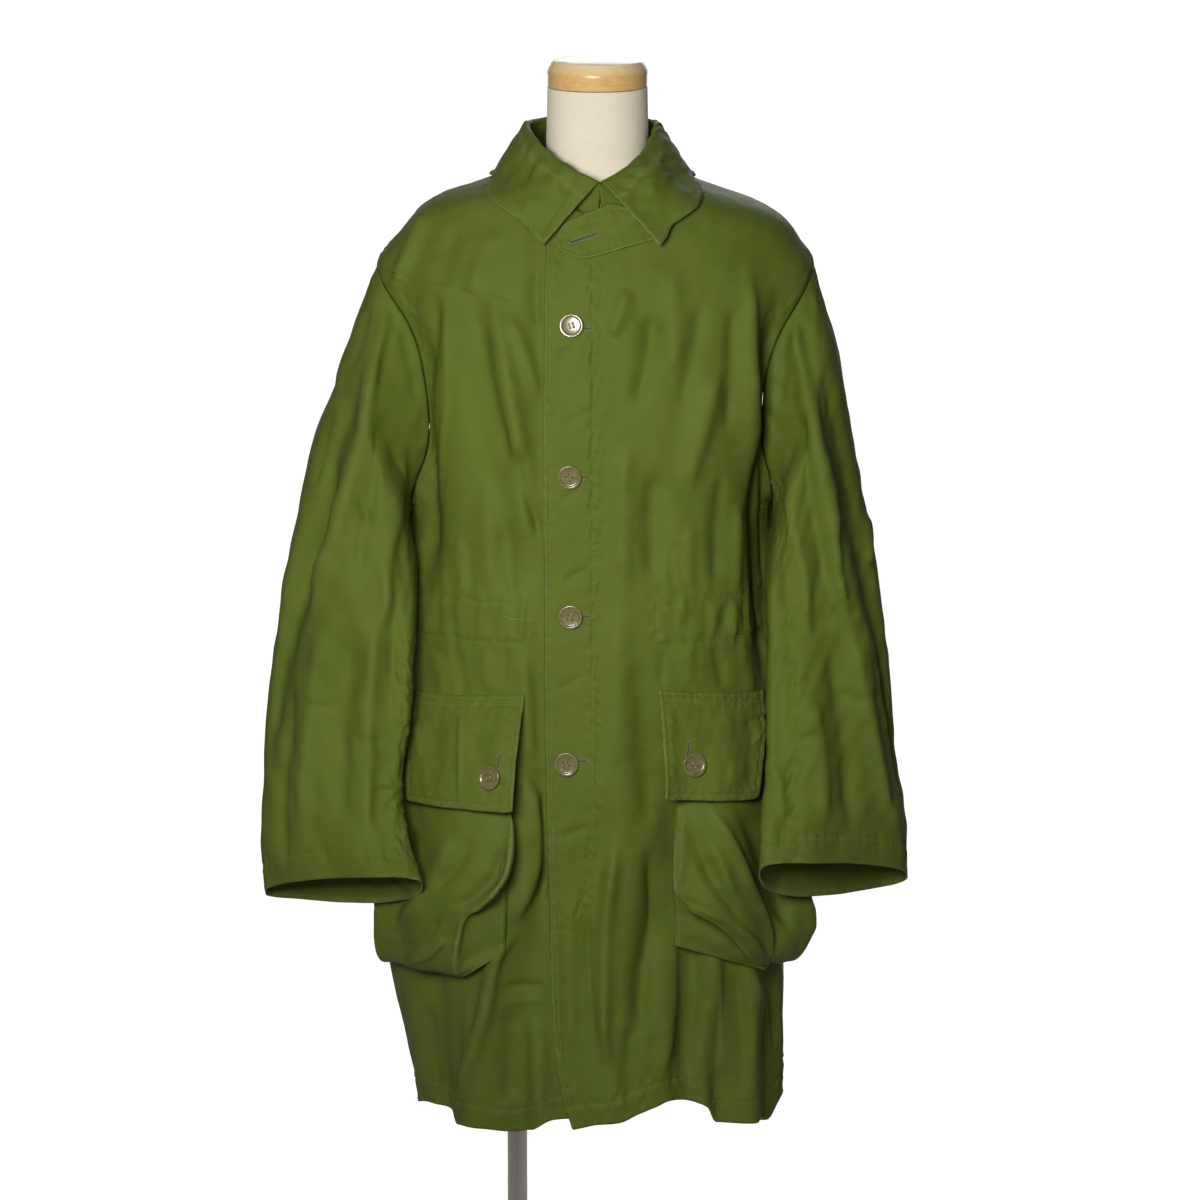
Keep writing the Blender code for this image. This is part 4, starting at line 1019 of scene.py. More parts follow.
@dataclass
class Cloth:
    """One cut piece of cloth: the grid of its outer face, its wall and what is known of it."""

    name: str
    grid: Array
    tube: bool = False
    thickness: float = 0.0014
    crease_wear: float = 0.10
    full_wear_depth: float = 0.006
    facing_start: float = 0.12
    facing_span: float = 0.34
    groove: float = 0.0019
    pucker_offset: float = 0.004
    pucker_reach: float = 0.005
    pucker_length: float = 0.011
    seam_reach: float = 0.008
    seam: Array = field(init=False)
    wear: Array = field(init=False)
    free: Array = field(init=False)

    def __post_init__(self) -> None:
        """Starts the piece with no seams and no wear, and free to be creased everywhere."""
        self.free = np.ones(self.grid.shape[:2])
        self.seam = np.zeros(self.grid.shape[:2])
        self.wear = np.zeros(self.grid.shape[:2])

    def crease(self, creases: Sequence[Crease], share: Array | float = 1.0,
               behind: bool = False) -> None:
        """Presses creases into the piece where it faces the side that they are seen from.

        Args:
            creases: The creases, as seen from the front, or as x and height from behind.
            share: How much of them the piece gets at each of its points.
            behind: Whether they are seen from behind.
        """
        facing = self.normals()[..., 1] * (1 if behind else -1)
        u, v = (self.grid[..., 0], self.grid[..., 2]) if behind else VIEW.plane(self.grid)
        seen = ease((facing + self.facing_start) / self.facing_span)
        depth = crease_depth(creases, u, v) * seen * share
        self.move(depth)
        self.mark(wear=self.crease_wear * np.clip(depth / self.full_wear_depth, 0, 1))

    def crumple(self, amount: float, seed: int, share: Array | float = 1.0) -> None:
        """Gives the piece the uneven surface of worn cloth, in three sizes."""
        u, v = self.lengths(1), self.lengths(0)
        self.move(share * amount * (ripple(u, v, 0.085, seed, 1.5)
                                    + 0.45 * ripple(u, v, 0.034, seed + 1, 1.3)
                                    + 0.16 * ripple(u, v, 0.015, seed + 2)))

    def mark(self, seam: Array | float = 0.0, wear: Array | float = 0.0) -> None:
        """Records where the piece is sewn and where it is worn."""
        self.seam = np.maximum(self.seam, seam)
        self.wear = np.maximum(self.wear, wear)

    def sewn_at(self, distance: Array, seed: int, sewing: Sewing) -> None:
        """Sinks a sewn line into the piece and puckers the cloth beside it.

        Args:
            distance: Distance of the piece's points to the line.
            seed: Which puckers.
            sewing: How deep and how puckered the line is.
        """
        u, v = self.lengths(1), self.lengths(0)
        beside = bell(np.abs(distance) - self.pucker_offset, self.pucker_reach)
        self.move(-sewing.depth * bell(distance, self.groove)
                  + sewing.pucker * beside * ripple(u, v, self.pucker_length, seed))
        self.mark(seam=bell(distance, self.seam_reach))

    def sewn_along(self, path: Path, seed: int, sewing: Sewing) -> None:
        """Sinks a sewn line that is seen to run along a path."""
        u, v = VIEW.plane(self.grid)
        distance, share = nearest_on(trace(path), u, v)
        self.sewn_at(np.where((share <= 0) | (share >= 1), FAR, distance), seed, sewing)

    def turn_up(self, distance: Array, inset: float) -> None:
        """Doubles the piece between its edge and a line inside it."""
        self.move(TURN_UP * (1 - ease((distance - inset + 0.001) / 0.002)))

    def edge_at(self, distance: Array, thick: float = 0.0004) -> None:
        """Rounds and wears the piece along a folded edge."""
        self.move(thick * bell(distance - 0.0028, 0.0024) - 0.0006 * bell(distance, 0.0010))
        self.mark(wear=bell(distance, 0.0016))

    def find(self, path: Path | Array) -> tuple[Array, Array]:
        """Row and column places where points of a path are seen on the piece.

        Args:
            path: Points as seen from the front.

        Returns:
            The rows and the columns.
        """
        u, v = VIEW.plane(self.grid)
        hidden = np.where(self.normals()[..., 1] > 0.1, 1.0, 0.0)
        rows, columns = [], []
        for at_u, at_v in path:
            r, c = np.unravel_index(np.argmin((u - at_u) ** 2 + (v - at_v) ** 2 + hidden),
                                    u.shape)
            r = min(max(r, 1), u.shape[0] - 2)
            c = min(max(c, 1), u.shape[1] - 2)
            across = np.array([u[r, c + 1] - u[r, c - 1], v[r, c + 1] - v[r, c - 1]]) / 2
            along = np.array([u[r + 1, c] - u[r - 1, c], v[r + 1, c] - v[r - 1, c]]) / 2
            rest = np.array([at_u - u[r, c], at_v - v[r, c]])
            move = np.linalg.lstsq(np.stack([along, across], axis=1), rest, rcond=None)[0]
            rows.append(r + float(np.clip(move[0], -1, 1)))
            columns.append(c + float(np.clip(move[1], -1, 1)))
        return np.array(rows), np.array(columns)

    def nearest(self, point: Array) -> tuple[float, float]:
        """Row and column of the piece's point that is nearest to a point."""
        away = np.linalg.norm(self.grid - point, axis=-1)
        r, c = np.unravel_index(np.argmin(away), away.shape)
        return float(r), float(c)

    def normals(self) -> Array:
        """Outward normals at the grid's points."""
        if self.tube:
            across = np.roll(self.grid, -1, axis=1) - np.roll(self.grid, 1, axis=1)
        else:
            across = np.gradient(self.grid, axis=1)
        return unit(np.cross(across, np.gradient(self.grid, axis=0)))

    def lengths(self, axis: int) -> Array:
        """Length run from the first row or column to each point."""
        steps = np.linalg.norm(np.diff(self.grid, axis=axis), axis=-1)
        zero = np.zeros_like(np.take(steps, [0], axis=axis))
        return np.concatenate([zero, np.cumsum(steps, axis=axis)], axis=axis)

    def move(self, out: Array) -> None:
        """Moves the grid's points out along their normals, as far as they are free."""
        self.grid = self.grid + self.normals() * (self.free * out)[..., None]

    def sample(self, rows: Array, columns: Array) -> tuple[Array, Array]:
        """Points and normals at places between rows and columns.

        Args:
            rows: Row places.
            columns: Column places.

        Returns:
            The points and the normals there.
        """
        normals = self.normals()
        top, wide = self.grid.shape[:2]
        r = np.clip(np.asarray(rows, float), 0, top - 1.001)
        c = np.asarray(columns, float)
        c = c % wide if self.tube else np.clip(c, 0, wide - 1.001)
        r0, c0 = np.floor(r).astype(int), np.floor(c).astype(int)
        c1 = (c0 + 1) % wide if self.tube else c0 + 1
        fr, fc = (r - r0)[..., None], (c - c0)[..., None]
        found = []
        for values in (self.grid, normals):
            found.append((values[r0, c0] * (1 - fr) + values[r0 + 1, c0] * fr) * (1 - fc)
                         + (values[r0, c1] * (1 - fr) + values[r0 + 1, c1] * fr) * fc)
        return found[0], unit(found[1])

    def inset_from_column(self, distance: float, from_end: bool = False) -> tuple[Array, Array]:
        """A line along the piece, a distance inside its first or last column."""
        run = self.lengths(1)
        if from_end:
            run = run[:, -1:] - run
        rows = np.arange(len(run), dtype=float)
        order = slice(None, None, -1) if from_end else slice(None)
        places = np.arange(run.shape[1], dtype=float)[order]
        columns = np.array([np.interp(distance, line[order], places) for line in run])
        return rows, columns

    def inset_from_row(self, distance: float, from_end: bool = False) -> tuple[Array, Array]:
        """A line across the piece, a distance inside its first or last row."""
        run = self.lengths(0)
        if from_end:
            run = run[-1:] - run
        order = slice(None, None, -1) if from_end else slice(None)
        places = np.arange(run.shape[0], dtype=float)[order]
        rows = np.array([np.interp(distance, line[order], places) for line in run.T])
        return rows, np.arange(run.shape[1], dtype=float)

    def build(self, finish: bpy.types.Material, nodes: Sequence[str]) -> bpy.types.Object:
        """Makes the piece: its outer face, its wall inwards, its map and its attributes.

        Args:
            finish: Its material.
            nodes: CAD nodes that it stands for.

        Returns:
            The finished object.
        """
        rows, columns = self.grid.shape[:2]
        wide = columns if self.tube else columns - 1
        r, c = np.meshgrid(np.arange(rows - 1), np.arange(wide), indexing="ij")
        d = (c + 1) % columns
        faces = np.stack([r * columns + c, r * columns + d, (r + 1) * columns + d,
                          (r + 1) * columns + c], axis=-1).reshape(-1, 4)
        made = new_object(self.name, self.grid, faces.tolist())
        mesh = made.data
        self._add_map(mesh, r, c)
        for title, values in (("seam", self.seam), ("wear", self.wear)):
            layer = mesh.attributes.new(title, "FLOAT", "POINT")
            flat = np.clip(values, 0, 1).ravel()
            layer.data.foreach_set("value", flat.astype(np.float32))
        mesh.shade_smooth()
        mesh.materials.append(finish)
        wall = made.modifiers.new("wall", "SOLIDIFY")
        wall.thickness = self.thickness
        wall.offset = -1.0
        wall.use_rim = True
        apply_modifiers(made)
        ride(made, nodes)
        return made

    def _add_map(self, mesh: bpy.types.Mesh, r: Array, c: Array) -> None:
        """Lays the cloth's own map, in metres, on the mesh's faces."""
        across = self.lengths(1)
        if self.tube:
            last = np.linalg.norm(self.grid[:, 0] - self.grid[:, -1], axis=-1)
            across = np.concatenate([across, across[:, -1:] + last[:, None]], axis=1)
        along = self.lengths(0).mean(axis=1)
        corners = []
        for dr, dc in ((0, 0), (0, 1), (1, 1), (1, 0)):
            corners.append(np.stack([across[r + dr, c + dc], along[r + dr]], axis=-1))
        layer = mesh.uv_layers.new(name="cloth")
        layer.data.foreach_set("uv", np.stack(corners, axis=2).astype(np.float32).ravel())


STITCH_FACES = np.array([(0, 1, 3), (3, 1, 2), (1, 0, 4), (4, 2, 1), (0, 3, 4), (3, 2, 4)])
STITCH_POINTS = 5


@dataclass
class StitchBook:
    """All sewing stitches of one piece, gathered in one mesh."""

    name: str
    pitch: float = 0.0031
    gap: float = 0.0007
    width: float = 0.00042
    height: float = 0.00034
    bar_width: float = 0.00034
    lift: float = 0.00012
    points: list[Array] = field(default_factory=list)
    faces: list[Array] = field(default_factory=list)
    count: int = 0

    def row(self, cloth: Cloth, rows: Array, columns: Array) -> None:
        """Sews a line on a piece of cloth.

        Args:
            cloth: The piece.
            rows: Row places of the line.
            columns: Column places of the line.
        """
        at, normal = cloth.sample(rows, columns)
        run = run_along(at)
        number = int(run[-1] / self.pitch)
        if number < 1:
            return
        starts = (np.arange(number) + 0.1) * self.pitch
        ends = starts + self.pitch - self.gap
        first, middle, last = (read_line(at, run, place)
                               for place in (starts, (starts + ends) / 2, ends))
        up = unit(read_line(normal, run, starts))
        ahead = unit(last - first)
        aside = unit(np.cross(ahead, up))
        sink = up * self.lift * 1.5
        rim = [first - sink, middle + up * (self.lift + self.height), last - sink,
               middle + aside * self.width - sink * 0.4, middle - aside * self.width - sink * 0.4]
        self.points.append(np.stack(rim, axis=1).reshape(-1, 3))
        base = self.count + np.arange(number)[:, None, None] * STITCH_POINTS
        self.faces.append((base + STITCH_FACES[None]).reshape(-1, 3))
        self.count += number * STITCH_POINTS

    def bar(self, start: Array, end: Array, up: Array, height: float) -> None:
        """Sews one stitch from a point to another, standing up by a height."""
        ahead = unit(end - start)
        aside = np.cross(ahead, up)
        middle = (start + end) / 2
        aside = aside * self.bar_width
        self.points.append(np.array([start, middle + up * height, end, middle + aside,
                                     middle - aside]))
        self.faces.append(STITCH_FACES + self.count)
        self.count += STITCH_POINTS

    def build(self, finish: bpy.types.Material) -> bpy.types.Object | None:
        """Makes the stitches' mesh."""
        if not self.points:
            return None
        made = new_object(self.name, np.concatenate(self.points),
                          np.concatenate(self.faces).tolist())
        made.data.shade_smooth()
        return lay_in_place(made, finish)


# ------------------------------------------------------------------ tables of the pieces
SLEEVE_RIGHT = [
    Station((-0.2455, -0.008, 1.2580), (-0.1940, -0.012, 1.0450), 0.074),
    Station((-0.2630, -0.012, 1.2080), (-0.1875, -0.056, 1.0150), 0.070),
    Station((-0.2960, -0.024, 1.1150), (-0.1855, -0.086, 0.9800), 0.058),
    Station((-0.3195, -0.040, 1.0000), (-0.1885, -0.110, 0.9250), 0.048),
    Station((-0.3375, -0.055, 0.9000), (-0.1920, -0.124, 0.8600), 0.042),
    Station((-0.3448, -0.072, 0.7900), (-0.2015, -0.132, 0.7800), 0.038),
    Station((-0.3470, -0.084, 0.7240), (-0.1930, -0.154, 0.7340), 0.035),
    Station((-0.3442, -0.090, 0.6650), (-0.1800, -0.174, 0.6920), 0.034),
]
SLEEVE_LEFT = [
    Station((0.2312, -0.008, 1.2600), (0.1770, -0.012, 1.0450), 0.072),
    Station((0.2442, -0.012, 1.2160), (0.1700, -0.058, 1.0150), 0.068),
    Station((0.2607, -0.024, 1.1180), (0.1680, -0.088, 0.9800), 0.058),
    Station((0.2812, -0.040, 1.0100), (0.1700, -0.112, 0.9250), 0.049),
    Station((0.2943, -0.055, 0.9150), (0.1690, -0.128, 0.8650), 0.043),
    Station((0.3060, -0.070, 0.7900), (0.1680, -0.146, 0.7950), 0.038),
    Station((0.3130, -0.078, 0.7340), (0.1620, -0.172, 0.7490), 0.036),
    Station((0.3158, -0.086, 0.6820), (0.1600, -0.188, 0.7090), 0.035),
]

FOLDS_RIGHT = [
    SleeveFold(92.0, -0.20, 76.0, 0.66, 20.0, 0.0110),
    SleeveFold(62.0, 0.10, 22.0, 0.85, 17.0, -0.0080),
    SleeveFold(130.0, 0.05, 138.0, 0.95, 20.0, -0.0060),
    SleeveFold(106.0, 0.55, 112.0, 1.30, 16.0, 0.0050),
    SleeveFold(250.0, 0.05, 262.0, 0.80, 20.0, -0.0090),
    SleeveFold(292.0, 0.20, 300.0, 1.30, 20.0, 0.0070),
    SleeveFold(222.0, 0.35, 226.0, 1.30, 16.0, 0.0050),
]
FOLDS_LEFT = [
    SleeveFold(108.0, -0.20, 24.0, 1.10, 18.0, 0.0110),
    SleeveFold(76.0, 0.05, 8.0, 0.95, 15.0, -0.0080),
    SleeveFold(142.0, 0.05, 128.0, 1.00, 18.0, -0.0070),
    SleeveFold(118.0, 0.45, 96.0, 1.30, 15.0, 0.0060),
    SleeveFold(254.0, 0.05, 268.0, 0.75, 20.0, -0.0090),
    SleeveFold(296.0, 0.25, 302.0, 1.30, 20.0, 0.0070),
    SleeveFold(228.0, 0.30, 220.0, 1.30, 16.0, 0.0050),
]

POUCH_RIGHT = [
    Pouch(0.864, -0.090, -0.192, 0.0050, 0.000),
    Pouch(0.820, -0.090, -0.208, 0.0140, 0.000),
    Pouch(0.770, -0.089, -0.222, 0.0240, 0.000),
    Pouch(0.720, -0.092, -0.229, 0.0330, 0.002),
    Pouch(0.690, -0.108, -0.231, 0.0390, 0.004),
    Pouch(0.668, -0.136, -0.232, 0.0440, 0.008),
    Pouch(0.648, -0.146, -0.232, 0.0450, 0.015),
    Pouch(0.634, -0.148, -0.230, 0.0390, 0.025),
    Pouch(0.625, -0.146, -0.223, 0.0240, 0.031),
    Pouch(0.620, -0.143, -0.214, 0.0090, 0.029),
]
POUCH_LEFT = [
    Pouch(0.864, 0.076, 0.172, 0.0050, 0.000),
    Pouch(0.820, 0.078, 0.184, 0.0140, 0.000),
    Pouch(0.770, 0.080, 0.208, 0.0240, 0.000),
    Pouch(0.720, 0.076, 0.217, 0.0350, 0.004),
    Pouch(0.694, 0.076, 0.2145, 0.0400, 0.008),
    Pouch(0.674, 0.102, 0.2170, 0.0420, 0.010),
    Pouch(0.654, 0.131, 0.2225, 0.0430, 0.015),
    Pouch(0.638, 0.150, 0.2130, 0.0400, 0.024),
    Pouch(0.628, 0.160, 0.2020, 0.0240, 0.032),
    Pouch(0.624, 0.164, 0.1930, 0.0090, 0.034),
]

FLAP_RIGHT = Flap((-0.0755, 0.8850), (-0.186, 0.8760), (-0.0780, 0.7700), (-0.180, 0.7680))
FLAP_LEFT = Flap((0.0585, 0.8900), (0.166, 0.8780), (0.0580, 0.7820), (0.145, 0.7740))


@dataclass(frozen=True)
class Cut:
    """A piece's flat cut in metres, how it is held and what it rests on."""

    flat: tuple[float, float]
    area: float | None = None
    held: str = "draped"
    rests_on: tuple[str, ...] = ("torso_linen",)


class FrontSeeds(NamedTuple):
    """Which crumples, gathers and puckers a front has."""

    crumple: int
    casing: int
    casing_end: int
    hem: int
    placket: int = 0
    edge: int = 0


@dataclass(frozen=True)
class FrontLook:
    """A front's cut, its sewn lines and its buttonholes, as seen from the front.

    The last of the casing's lines is its upright end.
    """

    cut: Cut
    seeds: FrontSeeds
    casing_lines: tuple[Path, ...]
    placket: Path = ()
    buttonholes: tuple[Path, ...] = ()
    casing_blend: float = 0.004

    @property
    def casing_end(self) -> Path:
        """The upright line at which the waist casing ends."""
        return self.casing_lines[-1]


OVER_FRONT = FrontLook(
    Cut((0.40, 0.98), 0.31),
    FrontSeeds(crumple=11, casing=21, casing_end=25, hem=29, placket=23, edge=27),
    casing_lines=(
        ((0.0597, 0.0031), (0.0927, 0.0031), (0.1215, 0.0031), (0.1607, 0.0040)),
        ((0.0597, -0.0402), (0.0927, -0.0402), (0.1185, -0.0391), (0.1658, -0.0350)),
        ((0.0587, 0.0031), (0.0587, -0.0402))),
    placket=((-0.0072, 0.3481), (-0.0072, 0.2060), (-0.0072, 0.0412), (-0.0072, -0.1030),
             (-0.0082, -0.2369), (-0.0144, -0.3018), (-0.0258, -0.3255), (-0.0443, -0.3389)),
    buttonholes=(
        ((-0.0278, 0.2791), (-0.0082, 0.2797)),
        ((-0.0299, 0.1257), (-0.0100, 0.1263)),
        ((-0.0289, -0.0175), (-0.0086, -0.0169)),
        ((-0.0330, -0.1669), (-0.0124, -0.1663))))
UNDER_FRONT = FrontLook(
    Cut((0.36, 0.98), 0.28), FrontSeeds(crumple=31, casing=41, casing_end=45, hem=49),
    casing_lines=(
        ((-0.1380, -0.0052), (-0.1051, -0.0046), (-0.0742, -0.0052)),
        ((-0.1895, -0.0422), (-0.1339, -0.0443), (-0.0742, -0.0443)),
        ((-0.0742, -0.0052), (-0.0742, -0.0443))))

SLEEVE_RIGHT_SEAM = ((-0.2029, -0.0412), (-0.2029, -0.1143), (-0.2060, -0.2142),
                     (-0.2029, -0.2575), (-0.2024, -0.2915))
SLEEVE_LEFT_SEAM = ((0.1864, 0.1236), (0.1916, 0.0505), (0.1967, 0.0072), (0.1998, -0.0783),
                    (0.1998, -0.1988), (0.2039, -0.2348), (0.2019, -0.2668))
FLAP_RIGHT_HOLE = ((-0.1061, -0.1740), (-0.1030, -0.1590))
FLAP_LEFT_HOLE = ((0.0917, -0.1462), (0.0896, -0.1700))
WAIST_THREAD = ((-0.0690, -0.0103), (-0.0649, -0.0165), (-0.0680, -0.0211), (-0.0780, -0.0203),
                (-0.0906, -0.0201), (-0.0979, -0.0170), (-0.1020, -0.0196))


# ------------------------------------------------------------------ the coat's pieces
@dataclass
class Tailor:
    """What every piece of the coat shares: the body's surface, the cotton and the thread."""

    surface: BodySurface
    cotton: bpy.types.Material
    thread: bpy.types.Material
    # painted shade: the near-black material of the strips that stand for the buttonholes' shadowed
    # slits
    slit_shade: bpy.types.Material
    purl_pitch: float = 0.00075
    purl_length: float = 0.0021
    purl_height: float = 0.0004
    end_bars: int = 3
    end_bar_step: float = 0.0005
    end_bar_half: float = 0.0022
    end_bar_height: float = 0.0005
    slit_lift: float = 0.00016

    def finish(self, cloth: Cloth, book: StitchBook, nodes: Sequence[str], cut: Cut) -> None:
        """Builds a piece with its stitches.

        Args:
            cloth: The piece.
            book: Its stitches.
            nodes: CAD nodes that it stands for.
            cut: Its flat cut and what it rests on; not used.
        """
        made = cloth.build(self.cotton, nodes)
        sewing = book.build(self.thread)
        log.info("%s: %d faces, %d stitches", cloth.name, len(made.data.polygons), 
                 book.count // STITCH_POINTS)

    def buttonhole(self, cloth: Cloth, book: StitchBook, path: Path, open_by: float = 0.0006
                   ) -> None:
        """Works a buttonhole between two places on a piece: purls round a near-black strip of
        painted shade in its slit.

        Args:
            cloth: The piece.
            book: Its stitches.
            path: The buttonhole's two ends, as seen from the front.
            open_by: Half of the slit's width.
        """
        line = np.linspace(np.array(path[0]), np.array(path[1]), 9)
        at, normal = cloth.sample(*cloth.find(line))
        run = run_along(at)
        number = int(run[-1] / self.purl_pitch)
        places = np.linspace(0, run[-1], number)
        at = read_line(at, run, places)
        up = unit(read_line(normal, run, places))
        ahead = unit(np.gradient(at, axis=0))
        aside = unit(np.cross(up, ahead))
        gape = open_by * (0.35 + 0.65 * np.sin(np.linspace(0, math.pi, number)))[:, None]
        for way in (-1.0, 1.0):
            near = at + aside * way * gape
            far = near + aside * way * self.purl_length
            for start, end, facing in zip(near, far, up):
                book.bar(start, end, facing, self.purl_height)
        for end, way in ((0, -1.0), (-1, 1.0)):
            half = aside[end] * self.end_bar_half
            for step in range(self.end_bars):
                middle = at[end] + ahead[end] * way * self.end_bar_step * step
                book.bar(middle - half, middle + half, up[end], self.end_bar_height)
        # painted shade: a near-black strip just above the cloth stands for the slit's shadowed
        # opening
        lift = up * self.slit_lift
        strip = np.concatenate([at + aside * gape + lift, at - aside * gape + lift])
        faces = [(i, i + 1, number + i + 1, number + i) for i in range(number - 1)]
        lay_in_place(new_object(f"{cloth.name}_slit", strip, faces), self.slit_shade)


@dataclass
class Panels:
    """The two fronts and the back, which are cut out of the body's surface."""

    tailor: Tailor
    skirt_rows: int = 205
    arm_rows: int = 84
    shoulder_rows: int = 40
    over_columns: int = 112
    under_columns: int = 88
    back_columns: int = 148
    seam_turn: float = 0.06
    edge_inset: float = 0.0062
    hem_inset: float = 0.0225
    casing: tuple[float, float] = (0.976, 0.937)
    casing_edge: float = 0.003
    casing_rise: float = 0.0006
    gather_rise: float = 0.0011
    gather_length: float = 0.016
    gather_reach: float = 0.045
    seam_free: float = 0.012
    front_crumple: float = 0.0006
    back_crumple: float = 0.0007
    stand_width: float = 0.047
    stand_blend: float = 0.004
    bare_start: float = 2.2
    bare_blend: float = 1.6
    back_seeds: tuple[int, int, int] = (51, 55, 57)

    def shares(self) -> Array:
        """Shares of the way from the hem to the neck seam at which there are rows."""
        body = self.tailor.surface
        skirt = np.linspace(body.hem, body.armhole_low, self.skirt_rows + 1)[:-1]
        even = np.linspace(0, 1, self.arm_rows + 1)
        arm = body.armhole_middle - body.armhole_half * (
            0.72 * np.cos(math.pi * even) + 0.28 * (1 - 2 * even))
        shoulder = np.linspace(body.armhole_top, body.neck_side, self.shoulder_rows + 1)[1:]
        heights = np.concatenate([skirt, arm, shoulder])
        return (heights - body.hem) / (body.neck_side - body.hem)

    def front(self, side: float) -> Cloth:
        """A front's outer face, from its own edge to the side seam.

        Args:
            side: 1 for the wearer's left front, which laps over, and -1 for the right one.

        Returns:
            The piece.
        """
        body = self.tailor.surface
        shares = self.shares()
        t = np.linspace(0.0, 1.0, self.over_columns if side > 0 else self.under_columns)
        s = 0.6 * t + 0.4 * t * t
        seam_height = body.hem + shares * (body.neck_side - body.hem)
        side_seam = side * (body.side_turn - self.seam_turn)
        reach = side * body.armhole_reach(seam_height)
        if side > 0:
            edge_turn = body.edge_turn(body.hem + shares * (body.neck_front - body.hem))
        else:
            edge_turn = np.full(len(shares), body.lap_turn)
        turn = (edge_turn[:, None] + (side_seam - edge_turn)[:, None] * s
                - reach[:, None] * s ** 3)
        top = body.neck_height(turn[-1])
        heights = body.panel_heights(turn, shares, top, body.lap_rise if side < 0 else 0.0)
        out = body.under_lap(turn, heights) if side < 0 else 0.0
        grid = body.point(turn, heights, out)
        cloth = Cloth("front_left" if side > 0 else "front_right",
                      grid if side > 0 else grid[:, ::-1])
        run = cloth.lengths(1)
        to_side = run[:, -1:] - run if side > 0 else run
        cloth.free = ease(to_side / self.seam_free)
        return cloth

    def back(self) -> Cloth:
        """The back's outer face, from the wearer's left side seam round to the right one."""
        body = self.tailor.surface
        shares = self.shares()
        s = np.linspace(0.0, 1.0, self.back_columns)
        seam_height = body.hem + shares * (body.neck_side - body.hem)
        start = body.side_turn + self.seam_turn
        pull = np.maximum(1 - 2 * s, 0) ** 3 - np.maximum(2 * s - 1, 0) ** 3
        turn = (start + (360.0 - 2 * start) * s
                + body.armhole_reach(seam_height)[:, None] * pull)
        turn = wrapped(turn)
        cloth = Cloth("back", body.point(turn, body.panel_heights(
            turn, shares, body.neck_height(turn[-1]))))
        run = cloth.lengths(1)
        cloth.free = ease(np.minimum(run, run[:, -1:] - run) / self.seam_free)
        return cloth

    def sew_hem(self, cloth: Cloth, seed: int) -> None:
        """Turns up the hem and sinks its stitches."""
        up = cloth.lengths(0)
        cloth.turn_up(up, self.hem_inset)
        cloth.sewn_at(up - self.hem_inset, seed, HEM_SEWING)
        cloth.edge_at(up)

    def sew_casing(self, cloth: Cloth, seed: int, free: Array) -> None:
        """Raises the waist casing between its two stitched lines and gathers it.

        Args:
            cloth: The piece.
            seed: Which gathers.
            free: Where the casing runs, from 0 to 1.
        """
        height = cloth.grid[..., 2]
        top, low = self.casing
        inside = ease((top - height) / self.casing_edge) * ease((height - low) / self.casing_edge)
        gathers = ripple(cloth.lengths(1), height * 0.25, self.gather_length, seed)
        reach = bell((height - (top + low) / 2), self.gather_reach)
        cloth.move(free * (self.casing_rise * inside + self.gather_rise * gathers * reach))
        for line in (top, low):
            cloth.sewn_at(np.where(free > 0.5, height - line, FAR), seed + 3, CASING_SEWING)

    def sew_shoulder(self, cloth: Cloth) -> None:
        """Marks the armhole and shoulder seams, whose allowance lifts the cloth a little."""
        body = self.tailor.surface
        turn = turn_of(cloth.grid)
        height = cloth.grid[..., 2]
        off = (np.abs(turn) - body.side_turn) / body.armhole_turn
        ring = np.hypot(off, (height - body.armhole_middle) / body.armhole_half)
        distance = (ring - 1) * body.armhole_half * 0.75
        cloth.move(0.0007 * bell(distance - 0.0055, 0.0040))
        u, v = cloth.lengths(1), cloth.lengths(0)
        cloth.move(0.0008 * bell(distance - 0.010, 0.012) * ripple(u, v, 0.014, 71))
        cloth.mark(seam=0.7 * bell(distance, 0.010))
        above = height > body.armhole_top - 0.004
        shoulder = np.where(above, np.abs(np.abs(turn) - body.side_turn) * 0.0030, FAR)
        cloth.move(0.0006 * bell(shoulder - 0.006, 0.005))
        cloth.mark(seam=0.7 * bell(shoulder, 0.008))

    def build_over_front(self, creases: Sequence[Crease], look: FrontLook) -> Cloth:
        """Builds the wearer's left front with its placket and its buttonholes."""
        cloth = self.front(1.0)
        cloth.crease(creases)
        cloth.crumple(self.front_crumple, look.seeds.crumple)
        run = cloth.lengths(1)
        u, _ = VIEW.plane(cloth.grid)
        self.sew_casing(cloth, look.seeds.casing,
                        ease((u - look.casing_end[0][0]) / look.casing_blend))
        cloth.sewn_along(look.casing_end, look.seeds.casing_end, CASING_END_SEWING)
        cloth.move(TURN_UP * (1 - ease((run - self.stand_width) / self.stand_blend)))
        cloth.sewn_along(look.placket, look.seeds.placket, PLACKET_SEWING)
        cloth.sewn_at(run - self.edge_inset, look.seeds.edge, EDGE_SEWING)
        cloth.edge_at(run)
        self.sew_hem(cloth, look.seeds.hem)
        self.sew_shoulder(cloth)
        book = StitchBook("front_left_stitches")
        book.row(cloth, *cloth.inset_from_column(self.edge_inset))
        book.row(cloth, *cloth.inset_from_row(self.hem_inset))
        book.row(cloth, *cloth.find(trace(look.placket)))
        for line in look.casing_lines:
            book.row(cloth, *cloth.find(trace(line)))
        for path in look.buttonholes:
            self.tailor.buttonhole(cloth, book, path)
        self.tailor.finish(cloth, book, ["front_left"], look.cut)
        return cloth

